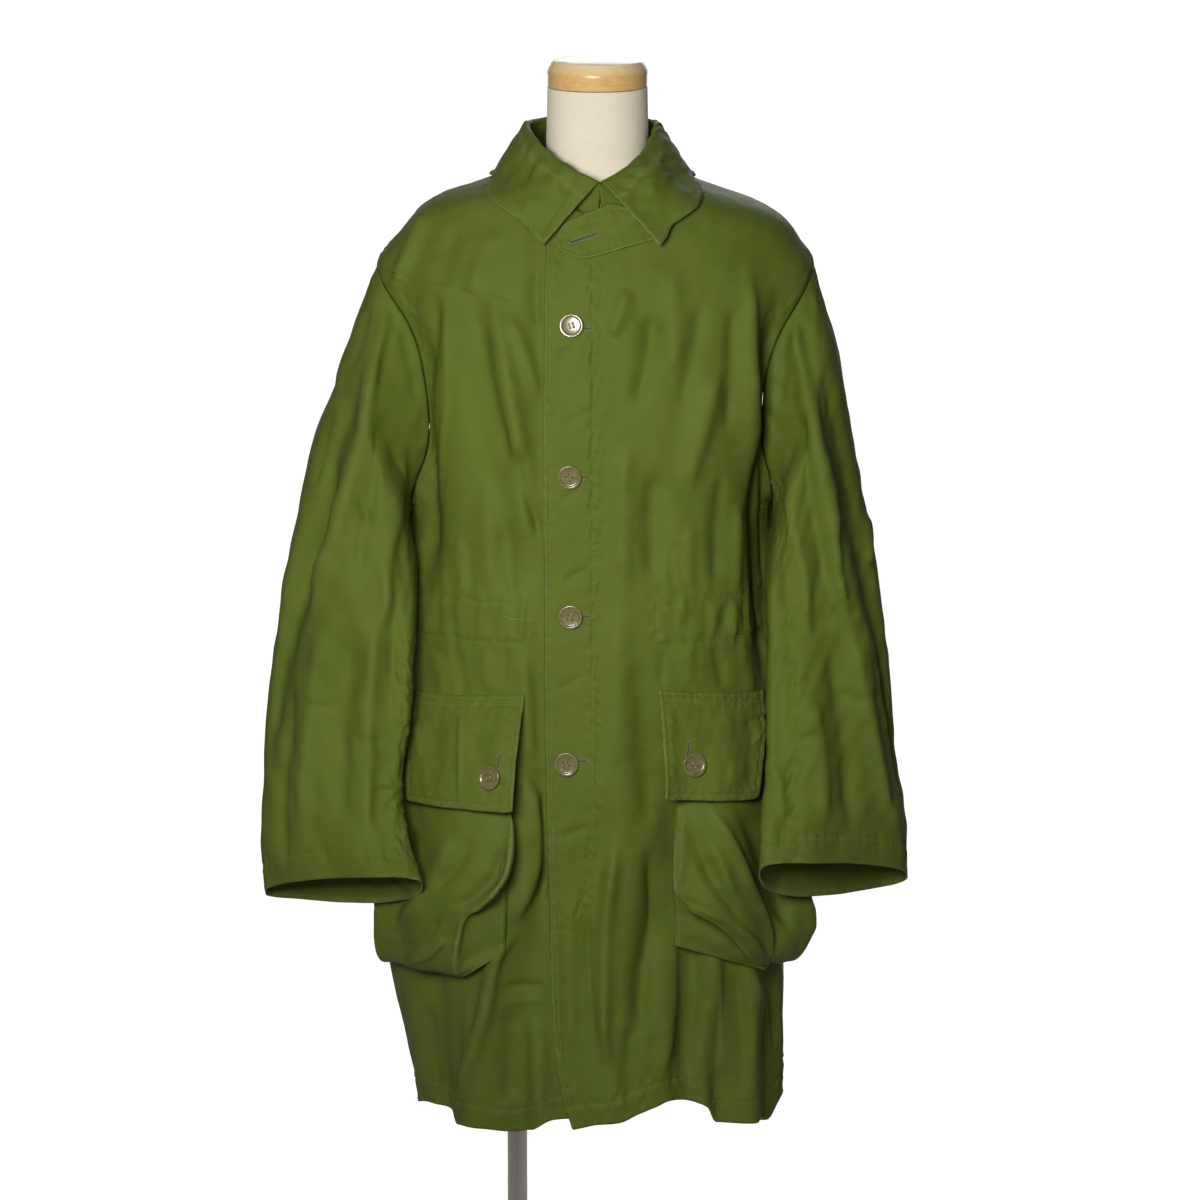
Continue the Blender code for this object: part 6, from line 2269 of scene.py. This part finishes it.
@dataclass
class DressForm:
    """The padded torso with its wooden neck cap, on a plated pole and base."""

    linen: bpy.types.Material
    wood: bpy.types.Material
    chrome: bpy.types.Material
    squareness: float = 2.25
    neck_offset: float = -0.0026
    sharp_edge: float = 40.0
    steps: int = 112
    pole_place: tuple[float, float] = (-0.0862, 0.015)
    pole_radius: float = 0.0103
    base_radius: float = 0.185
    base_thickness: float = 0.012
    rings: list[Ring] = field(default_factory=lambda: [
        Ring(0.740, 0.145, 0.100, 0.100), Ring(0.760, 0.158, 0.112, 0.112),
        Ring(0.840, 0.160, 0.116, 0.116), Ring(0.980, 0.138, 0.102, 0.094),
        Ring(1.100, 0.148, 0.112, 0.102), Ring(1.200, 0.156, 0.114, 0.108),
        Ring(1.280, 0.162, 0.100, 0.104), Ring(1.325, 0.166, 0.086, 0.098),
        Ring(1.350, 0.166, 0.076, 0.090), Ring(1.364, 0.158, 0.070, 0.084),
        Ring(1.376, 0.126, 0.066, 0.078), Ring(1.387, 0.092, 0.062, 0.072),
        Ring(1.400, 0.068, 0.057, 0.064), Ring(1.418, 0.0530, 0.0525, 0.0550),
        Ring(1.440, 0.0520, 0.0520, 0.0530), Ring(1.4870, 0.0510, 0.0510, 0.0510),
    ])
    cap: tuple = ((0.0, 1.4873), (0.0490, 1.4873), (0.0503, 1.4880), (0.0508, 1.4896),
                  (0.0508, 1.4990), (0.0511, 1.5008), (0.0512, 1.5022), (0.0510, 1.5038),
                  (0.0500, 1.5062), (0.0484, 1.5094), (0.0466, 1.5124), (0.0458, 1.5136),
                  (0.0448, 1.5143), (0.0, 1.5150))

    def build_torso(self) -> bpy.types.Object:
        """Builds the linen-covered torso."""
        angle = np.linspace(0.0, 2 * math.pi, self.steps, endpoint=False)
        heights = np.concatenate([np.linspace(0.740, 0.760, 5), np.linspace(0.765, 1.325, 60)[1:],
                                  np.linspace(1.3262, 1.4870, 56)])
        rings = []
        for height in heights:
            side = column(self.rings, "side", height)
            depth = np.where(np.cos(angle) > 0, column(self.rings, "front", height),
                             column(self.rings, "back", height))
            radius = rounded_radius(np.sin(angle), np.cos(angle), side, depth, self.squareness)
            lean = self.neck_offset * ease((height - 1.36) / 0.05)
            rings.append(np.stack([lean + radius * np.sin(angle), -radius * np.cos(angle),
                                   np.full(self.steps, height)], axis=-1))
        count, steps = len(rings), self.steps
        faces = [(r * steps + c, r * steps + (c + 1) % steps, (r + 1) * steps + (c + 1) % steps,
                  (r + 1) * steps + c) for r in range(count - 1) for c in range(steps)]
        faces.append(tuple(reversed(range(steps))))
        faces.append(tuple(range((count - 1) * steps, count * steps)))
        made = new_object("torso_linen", np.concatenate(rings), faces)
        smooth_by_angle(made, self.sharp_edge)
        lay_in_place(made, self.linen, ["torso"])
        log.info("torso_linen: %d faces", len(made.data.polygons))
        return made

    def turn(self, name: str, profile: Sequence[tuple[float, float]], place: tuple[float, float],
             finish: bpy.types.Material, slot: Slot, node: str, steps: int = 96
             ) -> bpy.types.Object:
        """Turns a profile of radius and height about an upright axis.

        Args:
            name: The object's name.
            profile: The profile, from the underside's middle to the top's.
            place: Where the axis stands.
            finish: The material.
            slot: Its slot; not used.
            node: The CAD node that it stands for.
            steps: Steps round the axis.

        Returns:
            The object.
        """
        outline = [(radius, 0.0, height) for radius, height in reversed(profile)]
        made = new_object(name, outline, [], [(i, i + 1) for i in range(len(outline) - 1)])
        spin = made.modifiers.new("turn", "SCREW")
        spin.axis = "Z"
        spin.steps = spin.render_steps = steps
        spin.use_merge_vertices = True
        spin.merge_threshold = 0.00001
        apply_modifiers(made)
        smooth_by_angle(made, self.sharp_edge)
        made.location = (*place, 0.0)
        bpy.context.view_layer.update()
        lay_in_place(made, finish, [node])
        log.info("%s: %d faces", name, len(made.data.polygons))
        return made

    def build(self) -> None:
        """Builds the whole form."""
        self.build_torso()
        self.turn("neck_cap_wood", self.cap, (self.neck_offset, 0.0), self.wood, Slot.WOOD,
                  "neck_cap")
        thick, gap = self.base_thickness, 0.0003
        top = thick + 0.020
        radius, reach = self.pole_radius, self.base_radius
        self.turn("pole_tube", ((0.0, top + gap), (radius - 0.0004, top + gap),
                                (radius, top + 0.0008), (radius, 0.739), (0.0, 0.7395)),
                  self.pole_place, self.chrome, Slot.CHROME, "pole")
        self.turn("pole_socket", ((0.0, thick + gap), (0.0296, thick + gap),
                                  (0.0300, thick + 0.0010), (0.0300, thick + 0.0034),
                                  (0.0294, thick + 0.0042), (0.0220, thick + 0.0066),
                                  (0.0180, thick + 0.0092), (0.0164, thick + 0.0130),
                                  (0.0160, top - 0.0014), (0.0152, top), (0.0, top)),
                  self.pole_place, self.chrome, Slot.CHROME, "pole_flange")
        self.turn("base_plate", ((0.0, 0.0), (reach - 0.002, 0.0), (reach - 0.0006, 0.0006),
                                 (reach, 0.002), (reach, thick - 0.0035),
                                 (reach - 0.0008, thick - 0.0014), (reach - 0.0028, thick - 0.0003),
                                 (reach - 0.005, thick), (0.0, thick)),
                  (0.0, 0.0), self.chrome, Slot.CHROME, "base", 144)


# ------------------------------------------------------------------ studio
@dataclass
class Studio:
    """Pale floor in a dim room with a white backdrop, and a soft light in front of the coat."""

    field_width: float = 1.236
    sensor: float = 36.0
    light_aim: float = 1.12
    floor_radius: float = 1.2
    room: float = 0.16
    backdrop: float = 1.05
    backdrop_edge: tuple[float, float] = (0.90, 0.945)
    key: float = 9.6
    key_place: tuple[float, float, float] = (-0.50, -2.45, 1.80)
    key_size: float = 0.8
    key_spread: float = 62.0
    back: float = 26.0
    back_place: tuple[float, float, float] = (0.5, 2.9, 2.6)
    back_size: float = 1.8

    def light_room(self) -> None:
        """Fills the room with dim light and hangs a white backdrop behind the coat."""
        world = bpy.data.worlds.new("room")
        world.use_nodes = True
        tree = world.node_tree
        sky = tree.nodes["Background"]
        place = tree.nodes.new("ShaderNodeTexCoord")
        split = tree.nodes.new("ShaderNodeSeparateXYZ")
        behind = tree.nodes.new("ShaderNodeMapRange")
        for name, value in (("From Min", self.backdrop_edge[0]),
                            ("From Max", self.backdrop_edge[1]),
                            ("To Min", self.room), ("To Max", self.backdrop)):
            behind.inputs[name].default_value = value
        tree.links.new(place.outputs["Generated"], split.inputs["Vector"])
        tree.links.new(split.outputs["Y"], behind.inputs["Value"])
        tree.links.new(behind.outputs["Result"], sky.inputs["Color"])
        bpy.context.scene.world = world

    def add_light(self, name: str, place: tuple[float, float, float], size: float, power: float,
                  colour: tuple[float, float, float], spread: float = 180.0) -> None:
        """Adds a square light that faces the coat and spreads over so many degrees."""
        light = bpy.data.lights.new(name, "AREA")
        light.spread = math.radians(spread)
        light.size = size
        light.energy = power
        light.color = colour
        made = bpy.data.objects.new(name, light)
        made.location = place
        toward = Vector(place) - Vector((0.0, 0.0, self.light_aim))
        made.rotation_euler = toward.to_track_quat("Z", "Y").to_euler()
        bpy.context.scene.collection.objects.link(made)

    def build(self, floor_finish: bpy.types.Material) -> None:
        """Builds the floor, the lights, the room and the camera."""
        scene = bpy.context.scene
        bpy.ops.mesh.primitive_cylinder_add(vertices=128, radius=self.floor_radius, depth=0.01,
                                            location=(0.0, 0.0, -0.0052))
        floor = bpy.context.object
        floor.name = "floor"
        floor.data.materials.append(floor_finish)
        self.light_room()
        self.add_light("key", self.key_place, self.key_size, self.key, (1.0, 0.985, 0.955),
                       self.key_spread)
        self.add_light("back", self.back_place, self.back_size, self.back, (0.96, 0.98, 1.0))
        tilt = math.radians(VIEW.elevation)
        lens = bpy.data.cameras.new("photo")
        lens.sensor_width = self.sensor
        lens.lens = self.sensor * VIEW.distance / self.field_width
        lens.clip_end = 200.0
        camera = bpy.data.objects.new("photo", lens)
        camera.location = (0.0, -VIEW.distance * math.cos(tilt),
                           VIEW.aim + VIEW.distance * math.sin(tilt))
        camera.rotation_euler = (math.pi / 2 - tilt, 0.0, 0.0)
        scene.collection.objects.link(camera)
        scene.camera = camera
        scene.view_settings.view_transform = "Standard"


# ------------------------------------------------------------------ how this coat is made up
class Creases:
    """Every crease, listed as seen from the front, and as x and height from behind."""

    FRONT_RIGHT = (
        Crease((-169, 329, -176, 249, -181, 196, -176, 163), 7.5, -8),
        Crease((-161, 329, -159, 228, -162, 160, -166, 69), 3, 2.2, 0.5),
        Crease((-115, 333, -101, 256, -90, 196, -79, 141, -61, 76), 9.5, 8, 0.35),
        Crease((-95, 300, -75, 242, -59, 203), 7.5, 5.4, 0.3),
        Crease((-134, 309, -116, 245, -103, 180, -91, 126), 8, -4.8),
        Crease((-87, 160, -72, 107, -58, 58), 8.5, -9.6),
        Crease((-145, 69, -142, 0), 4.5, 2.2),
        Crease((-135, 62, -133, 7), 4.5, -2.2),
        Crease((-119, 134, -113, 62, -115, 4), 8, 3.5),
        Crease((-98, 88, -94, 41, -92, 0), 6, -2.9),
        Crease((-181, 105, -187, 83, -191, 57), 6, -4.8),
        Crease((-176, 407, -192, 369, -212, 319), 6, 8, 0.5),
        Crease((-149, 389, -159, 348, -165, 317), 7.5, -4.8),
        Crease((-103, 383, -122, 348, -136, 309), 8.5, 4.2),
        Crease((-62, 342, -66, 309, -61, 278), 6.5, -3.2),
        Crease((-173, -52, -165, -74, -161, -103), 5, 3.2),
        Crease((-149, -49, -142, -80, -141, -107), 5, -3.5),
        Crease((-119, -49, -117, -74, -111, -97), 6, 2.9),
        Crease((-95, -49, -98, -70, -101, -93), 4.5, -2.6),
        Crease((-82, -52, -74, -103, -69, -165), 6, 3.5, 0.3),
        Crease((-85, -178, -67, -206, -62, -252, -74, -294, -90, -341), 10, 11.2, 0.6),
        Crease((-57, -194, -54, -258, -61, -317), 6, -9.6),
        Crease((-81, -338, -106, -369, -117, -425, -134, -477, -149, -528), 6, 9.6, 0.6),
        Crease((-122, -346, -128, -402, -137, -453), 6, -6.4),
        Crease((-137, -393, -138, -453, -139, -516), 2.2, 2.2, 0.4),
        Crease((-102, -401, -78, -397, -54, -398), 3.5, -3.5),
        Crease((-97, -416, -72, -412, -56, -415), 3.5, 2.2),
        Crease((-91, -412, -91, -464, -97, -525), 10, -5.1),
        Crease((-68, -422, -64, -474, -66, -538), 9, 4.5),
        Crease((-178, -412, -173, -464, -165, -515), 6.5, -5.6),
        Crease((-195, -397, -188, -453, -180, -510), 5, 3.8),
        Crease((-208, -386, -202, -433, -195, -464), 4, -2.6),
    )
    FRONT_LEFT = (
        Crease((29, 322, 10, 268), 8, 5.1),
        Crease((54, 301, 50, 250, 36, 196), 9.5, -8),
        Crease((74, 348, 78, 288, 70, 227), 10, 4.8),
        Crease((123, 243, 104, 177, 90, 105), 11, 9, 0.3),
        Crease((103, 309, 97, 258, 82, 196), 8, -4.8),
        Crease((58, 141, 56, 82, 54, 14), 11, -8),
        Crease((29, 165, 23, 93, 27, 10), 9, 4.8),
        Crease((151, 359, 156, 288, 156, 214, 160, 134, 163, 69), 7, 9.6, 0.5),
        Crease((173, 309, 174, 196, 172, 82, 175, -41), 8.5, -11.2),
        Crease((138, 309, 136, 237, 130, 165), 7, -5.4),
        Crease((126, 134, 121, 72, 119, 10), 7, -5.4),
        Crease((142, 103, 141, 52, 140, 0), 5, 4.2),
        Crease((93, 82, 91, 41, 93, 8), 6, 2.9),
        Crease((74, 62, 73, 31, 76, 8), 4.5, -2.2),
        Crease((-46, 249, -25, 264), 2.8, -1.9),
        Crease((-42, 177, -6, 196), 3.4, -2.4),
        Crease((-42, 102, -21, 112), 3, -2.1),
        Crease((-39, 19, -10, 33), 3.2, -2.2),
        Crease((-45, -93, -16, -78), 3.4, -1.9),
        Crease((-41, -245, -12, -233), 4, -2.2),
        Crease((115, 0, 117, -23, 115, -41), 3, 2.6),
        Crease((126, 0, 127, -21, 125, -41), 3, -2.6),
        Crease((137, 0, 138, -23, 136, -41), 3, 2.9),
        Crease((148, 2, 149, -21, 148, -39), 3, -2.9),
        Crease((158, 4, 160, -19, 162, -39), 3, 2.9),
        Crease((166, -34, 171, -62, 176, -91), 4, 4.2, 0.4),
        Crease((93, -43, 89, -66, 91, -91), 6, 2.9),
        Crease((70, -43, 66, -64, 63, -91), 5.5, -2.6),
        Crease((119, -43, 125, -70, 128, -93), 5.5, -3.2),
        Crease((146, -41, 152, -72, 157, -99), 5.5, 3.2),
        Crease((21, 0, 12, -82, 6, -165, 0, -239), 14, 4.8),
        Crease((41, -52, 47, -144, 52, -239), 12, -5.4),
        Crease((54, -239, 58, -319, 45, -400, 37, -459), 12, -14.4),
        Crease((18, -239, 9, -319, 5, -400, 9, -492), 7.5, 10.6, 0.45),
        Crease((-14, -319, -10, -391, -5, -459), 4, -3.2),
        Crease((-30, -288, -32, -371, -27, -464), 7, 3.5),
        Crease((93, -335, 95, -402, 89, -464, 87, -503), 10, -7.4),
        Crease((74, -314, 74, -391, 66, -464, 62, -507), 8, 6.4, 0.3),
        Crease((118, -350, 123, -422, 126, -500), 8.5, 7.4, 0.4),
        Crease((141, -373, 146, -443, 148, -515), 6, -7),
        Crease((160, -383, 171, -433, 178, -480), 4.2, 6.4, 0.4),
        Crease((176, -383, 178, -433, 176, -476), 4, -5.4),
        Crease((34, -433, 31, -474, 29, -523), 8, -5.8),
        Crease((-41, -340, -44, -412, -41, -494), 5, -2.6),
    )
    SLEEVE_RIGHT = (
        Crease((-212, 319, -216, 307, -229, 253, -243, 177, -260, 98, -281, 33, -304, -41),
               7, 11.2, 0.65),
        Crease((-245, 220, -262, 181, -277, 141, -283, 88, -306, 11, -320, -39, -335, -108, -344,
               -175), 8, -9),
        Crease((-260, 119, -274, 76, -288, 33, -303, -3), 5, 6, 0.4),
        Crease((-252, 112, -245, 94, -238, 76), 3.5, -4.2),
        Crease((-207, 285, -198, 261, -191, 232, -188, 203), 6, -4.5),
        Crease((-220, 204, -229, 149, -241, 82, -251, 10), 9, -6.9),
        Crease((-202, 175, -208, 113, -218, 41, -224, -41), 8, 6.9, 0.3),
        Crease((-249, 299, -262, 255, -272, 214), 6, 4.5),
        Crease((-274, 204, -286, 159, -296, 111), 5, -4.5),
        Crease((-236, 309, -245, 278, -255, 235), 5, -3.9),
        Crease((-255, -10, -264, -82, -268, -154, -265, -237), 11, -9),
        Crease((-231, -10, -235, -82, -239, -165, -237, -258), 8, 7.5, 0.3),
        Crease((-286, -21, -295, -93, -303, -165, -306, -258), 8, 7.5, 0.3),
        Crease((-317, -62, -322, -134, -327, -206, -325, -286), 6, -5.7),
        Crease((-211, 0, -214, -62, -217, -124), 6, -4.5),
        Crease((-309, 82, -317, 35, -327, -12), 5, 3.6),
        Crease((-237, -198, -220, -196, -205, -190), 2.8, -2.7),
        Crease((-221, -214, -214, -208, -207, -198), 2.4, -2.1),
        Crease((-229, -182, -216, -193, -205, -206), 2.4, 1.8),
        Crease((-226, -266, -207, -266), 2.4, -2.4),
        Crease((-221, -278, -206, -268, -190, -255), 2.4, -2.1),
        Crease((-258, -139, -242, -146, -222, -144), 4, -2.4),
        Crease((-309, -103, -286, -111, -268, -105), 5, -2.4),
    )
    SLEEVE_LEFT = (
        Crease((180, 359, 196, 301, 210, 236, 220, 177, 235, 105, 249, 14, 261, -40), 7, 10.5, 0.6),
        Crease((259, -23, 268, -70, 278, -118, 288, -163, 299, -207, 314, -251), 7, 7.5, 0.4),
        Crease((197, 279, 190, 258, 186, 229, 184, 196), 6, -4.5),
        Crease((206, 206, 214, 134, 225, 62, 233, 0), 8, -8.2),
        Crease((192, 165, 199, 93, 210, 21, 218, -52), 7, 6, 0.3),
        Crease((229, 247, 243, 185, 255, 124, 265, 72), 6.5, -6),
        Crease((275, 91, 278, 62, 279, 33), 3.6, 4.5, 0.4),
        Crease((246, 19, 250, 9, 253, 0), 3, 4.5),
        Crease((239, -4, 255, -14, 270, -12), 3.6, -3.9),
        Crease((235, -41, 247, -103, 255, -175, 260, -243), 9, -8.4),
        Crease((218, -93, 227, -154, 233, -237), 7, 6, 0.3),
        Crease((280, -41, 290, -103, 297, -165, 302, -237), 5.5, -5.4),
        Crease((245, -93, 270, -103, 293, -97), 5, -2.4),
        Crease((209, -10, 225, -23, 243, -21), 4.5, -3),
        Crease((204, -146, 218, -140, 233, -144), 3.6, -2.4),
        Crease((175, -165, 186, -196, 190, -231), 5, 3.6),
        Crease((173, 399, 185, 389, 199, 377), 3, -2.7),
        Crease((196, 384, 203, 373, 210, 363), 3, 2.7),
    )
    POCKET_RIGHT = (
        Crease((-90, -214, -92, -246, -95, -274, -122, -313, -141, -323, -145, -341, -147, -366,
               -139, -386), 4, 4.8, 0.5),
        Crease((-98, -252, -109, -286, -132, -309, -149, -321), 6, -6.4),
        Crease((-152, -237, -165, -278, -185, -309, -210, -335), 9, 6.4, 0.3),
        Crease((-194, -229, -202, -268, -218, -305), 8, -5),
        Crease((-134, -239, -146, -270, -169, -299), 7, -4.5),
        Crease((-165, -323, -180, -346, -206, -363), 5.5, -5),
        Crease((-157, -348, -177, -367, -202, -375), 4, 3.9, 0.3),
        Crease((-211, -253, -220, -288, -228, -319), 5, 3.6),
        Crease((-175, -288, -191, -321, -214, -344), 5, 3.4, 0.3),
    )
    POCKET_LEFT = (
        Crease((109, -207, 134, -247, 158, -299, 174, -343, 178, -379), 4.5, 7, 0.5),
        Crease((77, -303, 92, -317, 102, -319, 130, -330, 158, -351, 174, -373), 4.5, 5, 0.5),
        Crease((93, -227, 103, -258, 126, -299, 149, -335), 7, -6.4),
        Crease((92, -323, 130, -351, 158, -378), 5, -4.2),
        Crease((139, -212, 163, -252, 183, -304, 196, -350), 8, -7.8),
        Crease((170, -212, 191, -252, 206, -299), 7, 5, 0.3),
        Crease((87, -212, 85, -258, 82, -299), 4, 3.6, 0.3),
        Crease((115, -247, 126, -276, 142, -311), 5, 3.4),
        Crease((103, -268, 118, -297, 134, -317), 4, -2.8),
    )
    FLAP_RIGHT = (
        Crease((-143, -109, -144, -160, -145, -209), 2.2, 2.1, 0.5),
        Crease((-175, -118, -171, -165, -173, -209), 8, -2.1),
        Crease((-91, -107, -103, -144, -113, -206), 7, 1.8),
        Crease((-134, -134, -122, -165, -117, -206), 6, -1.6),
        Crease((-192, -124, -185, -165), 4, 1.6),
    )
    FLAP_LEFT = (
        Crease((150, -127, 162, -123, 174, -118), 2.8, -2.3),
        Crease((158, -150, 164, -140, 170, -131), 2.8, 2.1),
        Crease((103, -103, 109, -144, 107, -192), 8, -1.8),
        Crease((128, -105, 134, -149, 136, -198), 7, 1.8),
        Crease((70, -103, 74, -144, 76, -191), 5, 1.6),
        Crease((152, -109, 157, -154, 154, -200), 5, -1.6),
    )
    COLLAR = (
        Crease((-81, 474, -74, 453, -82, 422, -79, 398), 6, -3.1),
        Crease((-62, 484, -56, 455, -45, 431, -41, 408), 5, 2.5),
        Crease((-95, 445, -82, 426, -72, 402), 4, 1.7),
        Crease((66, 464, 54, 439, 52, 412), 5, 2.5),
        Crease((82, 445, 70, 420, 66, 391), 5, -2.5),
        Crease((41, 433, 37, 414, 43, 398), 3.6, -1.7),
        Crease((-45, 402, -54, 389, -62, 379), 3, -1.4),
    )
    TAB = (
        Crease((-41, 379, -21, 385, 4, 393), 4, 1),
        Crease((-35, 354, -8, 358, 31, 371), 4, -1),
        Crease((12, 402, 16, 385, 23, 367), 4, 1),
    )
    BACK = (
        Crease((-165, 1230, -110, 1160, -70, 1060), 10, -4.5),
        Crease((-140, 1260, -85, 1200, -30, 1150), 9, 4, 0.3),
        Crease((160, 1240, 105, 1170, 62, 1050), 10, -4.5),
        Crease((150, 1275, 98, 1215, 40, 1140), 9, 3.6, 0.3),
        Crease((-120, 1120, -118, 1050, -124, 980), 8, -4),
        Crease((118, 1110, 122, 1040, 118, 985), 8, -3.6),
        Crease((-30, 1110, -40, 1040, -34, 980), 9, 3),
        Crease((20, 1090, 30, 1030, 26, 978), 8, -2.6),
        Crease((70, 1060, 66, 1010, 72, 978), 6, 2.4),
        Crease((-75, 1050, -78, 1010, -72, 978), 6, 2.2),
        Crease((-140, 930, -146, 800, -136, 640), 10, 5.4, 0.3),
        Crease((-95, 930, -100, 780, -108, 600), 11, -6),
        Crease((-50, 932, -58, 820, -52, 700), 9, 4),
        Crease((0, 930, -6, 760, 4, 560), 12, -5),
        Crease((45, 932, 50, 800, 46, 660), 9, 4.4, 0.3),
        Crease((92, 930, 100, 770, 104, 590), 11, -5.6),
        Crease((134, 930, 142, 810, 138, 650), 9, 4.4, 0.3),
        Crease((-60, 620, -66, 540, -60, 450), 9, 5, 0.3),
        Crease((64, 640, 70, 550, 66, 450), 9, 4.6, 0.3),
        Crease((130, 600, 126, 530, 130, 450), 8, -4),
        Crease((-130, 610, -128, 530, -132, 450), 8, -4.4),
    )
    SLEEVE_RIGHT_BEHIND = (
        Crease((-230, 1220, -262, 1140, -285, 1050), 9, 5.2, 0.4),
        Crease((-215, 1150, -240, 1080, -262, 990), 9, -5),
        Crease((-290, 1080, -306, 1000, -318, 930), 7, -4),
        Crease((-215, 1010, -240, 940, -250, 860), 8, 4.4, 0.3),
        Crease((-205, 940, -240, 905, -300, 900), 7, -3.8),
        Crease((-220, 900, -265, 872, -320, 878), 7, 3.6, 0.4),
        Crease((-270, 880, -278, 790, -272, 700), 10, -5.6),
        Crease((-310, 860, -316, 780, -312, 700), 7, 4.4, 0.3),
        Crease((-235, 850, -232, 780, -224, 720), 7, 4),
    )
    SLEEVE_LEFT_BEHIND = (
        Crease((218, 1220, 236, 1140, 250, 1050), 8, 5, 0.4),
        Crease((200, 1160, 214, 1080, 226, 990), 8, -4.8),
        Crease((246, 1090, 262, 1010, 272, 930), 6, -3.6),
        Crease((196, 1000, 212, 930, 218, 860), 7, 4.2, 0.3),
        Crease((186, 950, 222, 916, 272, 908), 6, -3.6),
        Crease((196, 905, 236, 880, 284, 884), 6, 3.4, 0.4),
        Crease((238, 880, 246, 800, 244, 710), 9, -5.2),
        Crease((280, 860, 286, 790, 286, 720), 6, 4, 0.3),
        Crease((206, 850, 204, 790, 200, 730), 7, 3.8),
    )
    NECK = (
        Crease((-24, 418, -18, 402, -3, 390), 3.5, 1.2, 0.4),
        Crease((-20, 406, -14, 394, -4, 386), 3, -1.2),
    )


def sew_on_buttons(cloths: dict[str, Cloth], tailor: Tailor, finish: bpy.types.Material) -> None:
    """Sews every button on where its CAD node stands.

    Args:
        cloths: The finished pieces of cloth by name.
        tailor: What the coat's pieces share.
        finish: The buttons' material.
    """
    button = Button()
    places = {f"button_{number}": "front_left" for number in range(1, 5)}
    places |= {"flap_button_left": "flap_left", "flap_button_right": "flap_right"}
    for number, (node, piece) in enumerate(places.items()):
        low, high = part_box(node)
        middle = (np.array(low) + np.array(high)) / 2
        cloth = cloths[piece]
        row, place = cloth.nearest(middle)
        around = [cloth.sample([row + dr], [place + dc]) for dr in (-3, 0, 3) for dc in (-3, 0, 3)]
        normal = unit(np.mean([n[0] for _, n in around], axis=0))
        centre = cloth.sample([row], [place])[0][0]
        offset = middle - centre
        at = centre + offset - normal * np.dot(offset, normal)
        button.build(f"{node}_moulded", node, at + normal * 0.0008, normal, 14.0 + 31.0 * number,
                     finish, tailor.thread)
        log.info("%s_moulded: on %s", node, piece)


def main() -> None:
    """Builds the coat on its form, the studio and the camera."""
    logging.basicConfig(level=logging.INFO, format="%(name)s: %(message)s")
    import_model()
    cotton = CottonFinish()
    thread = ThreadFinish().build("sewing_thread")
    # the near-black thread finish is painted shade for the buttonholes' slits
    tailor = Tailor(BodySurface(), cotton.build("olive_cotton"), thread,
                    ThreadFinish((0.012, 0.014, 0.006)).build("buttonhole_slit"))
    DressForm(LinenFinish().build("linen"), WoodFinish().build("wood"),
              ChromeFinish().build("chrome")).build()
    panels = Panels(tailor)
    on_coat = ("front_left",)
    cloths = {
        "back": panels.build_back(Creases.BACK, Cut((0.66, 0.99), 0.55)),
        "front_right": panels.build_under_front(
            Creases.FRONT_RIGHT, UNDER_FRONT),
        "front_left": panels.build_over_front(Creases.FRONT_LEFT, OVER_FRONT),
    }
    cloths["sleeve_right"] = Sleeve(
        tailor, "sleeve_right", -1.0, SLEEVE_RIGHT, FOLDS_RIGHT, Drop(0.020, 0.021),
        SLEEVE_RIGHT_SEAM, Cut((0.46, 0.60), 0.22)).build(
            Creases.SLEEVE_RIGHT, Creases.SLEEVE_RIGHT_BEHIND, 101)
    cloths["sleeve_left"] = Sleeve(
        tailor, "sleeve_left", 1.0, SLEEVE_LEFT, FOLDS_LEFT, Drop(0.020, 0.029),
        SLEEVE_LEFT_SEAM, Cut((0.46, 0.60), 0.21)).build(
            Creases.SLEEVE_LEFT, Creases.SLEEVE_LEFT_BEHIND, 121)
    cloths["collar"] = Collar(tailor, Cut((0.52, 0.13), 0.05)).build(
        Creases.COLLAR, Creases.NECK)
    cloths["throat_tab"] = ThroatTab(tailor, Cut((0.11, 0.05), 0.0045, rests_on=on_coat)).build(
        Creases.TAB)
    cloths["pocket_right"] = BellowsPocket(
        tailor, "pocket_right", POUCH_RIGHT, (-31.0, -84.0),
        Cut((0.30, 0.30), 0.075, rests_on=("front_right",))).build(Creases.POCKET_RIGHT, 141)
    cloths["pocket_left"] = BellowsPocket(
        tailor, "pocket_left", POUCH_LEFT, (27.0, 86.0),
        Cut((0.30, 0.30), 0.075, rests_on=on_coat)).build(Creases.POCKET_LEFT, 151)
    cloths["flap_right"] = PocketFlap(
        tailor, "flap_right", FLAP_RIGHT, Cut((0.14, 0.12), 0.015, rests_on=("pocket_right",)),
        FLAP_RIGHT_HOLE).build(Creases.FLAP_RIGHT, 161)
    cloths["flap_left"] = PocketFlap(
        tailor, "flap_left", FLAP_LEFT, Cut((0.13, 0.12), 0.013, rests_on=("pocket_left",)),
        FLAP_LEFT_HOLE).build(Creases.FLAP_LEFT, 171)
    sew_on_buttons(cloths, tailor, ButtonFinish().build("olive_brown_button"))
    LooseThread("loose_thread_waist", WAIST_THREAD).build(cloths["front_right"], thread)
    Studio().build(FloorFinish().build("studio_floor"))


if __name__ == "__main__":
    main()
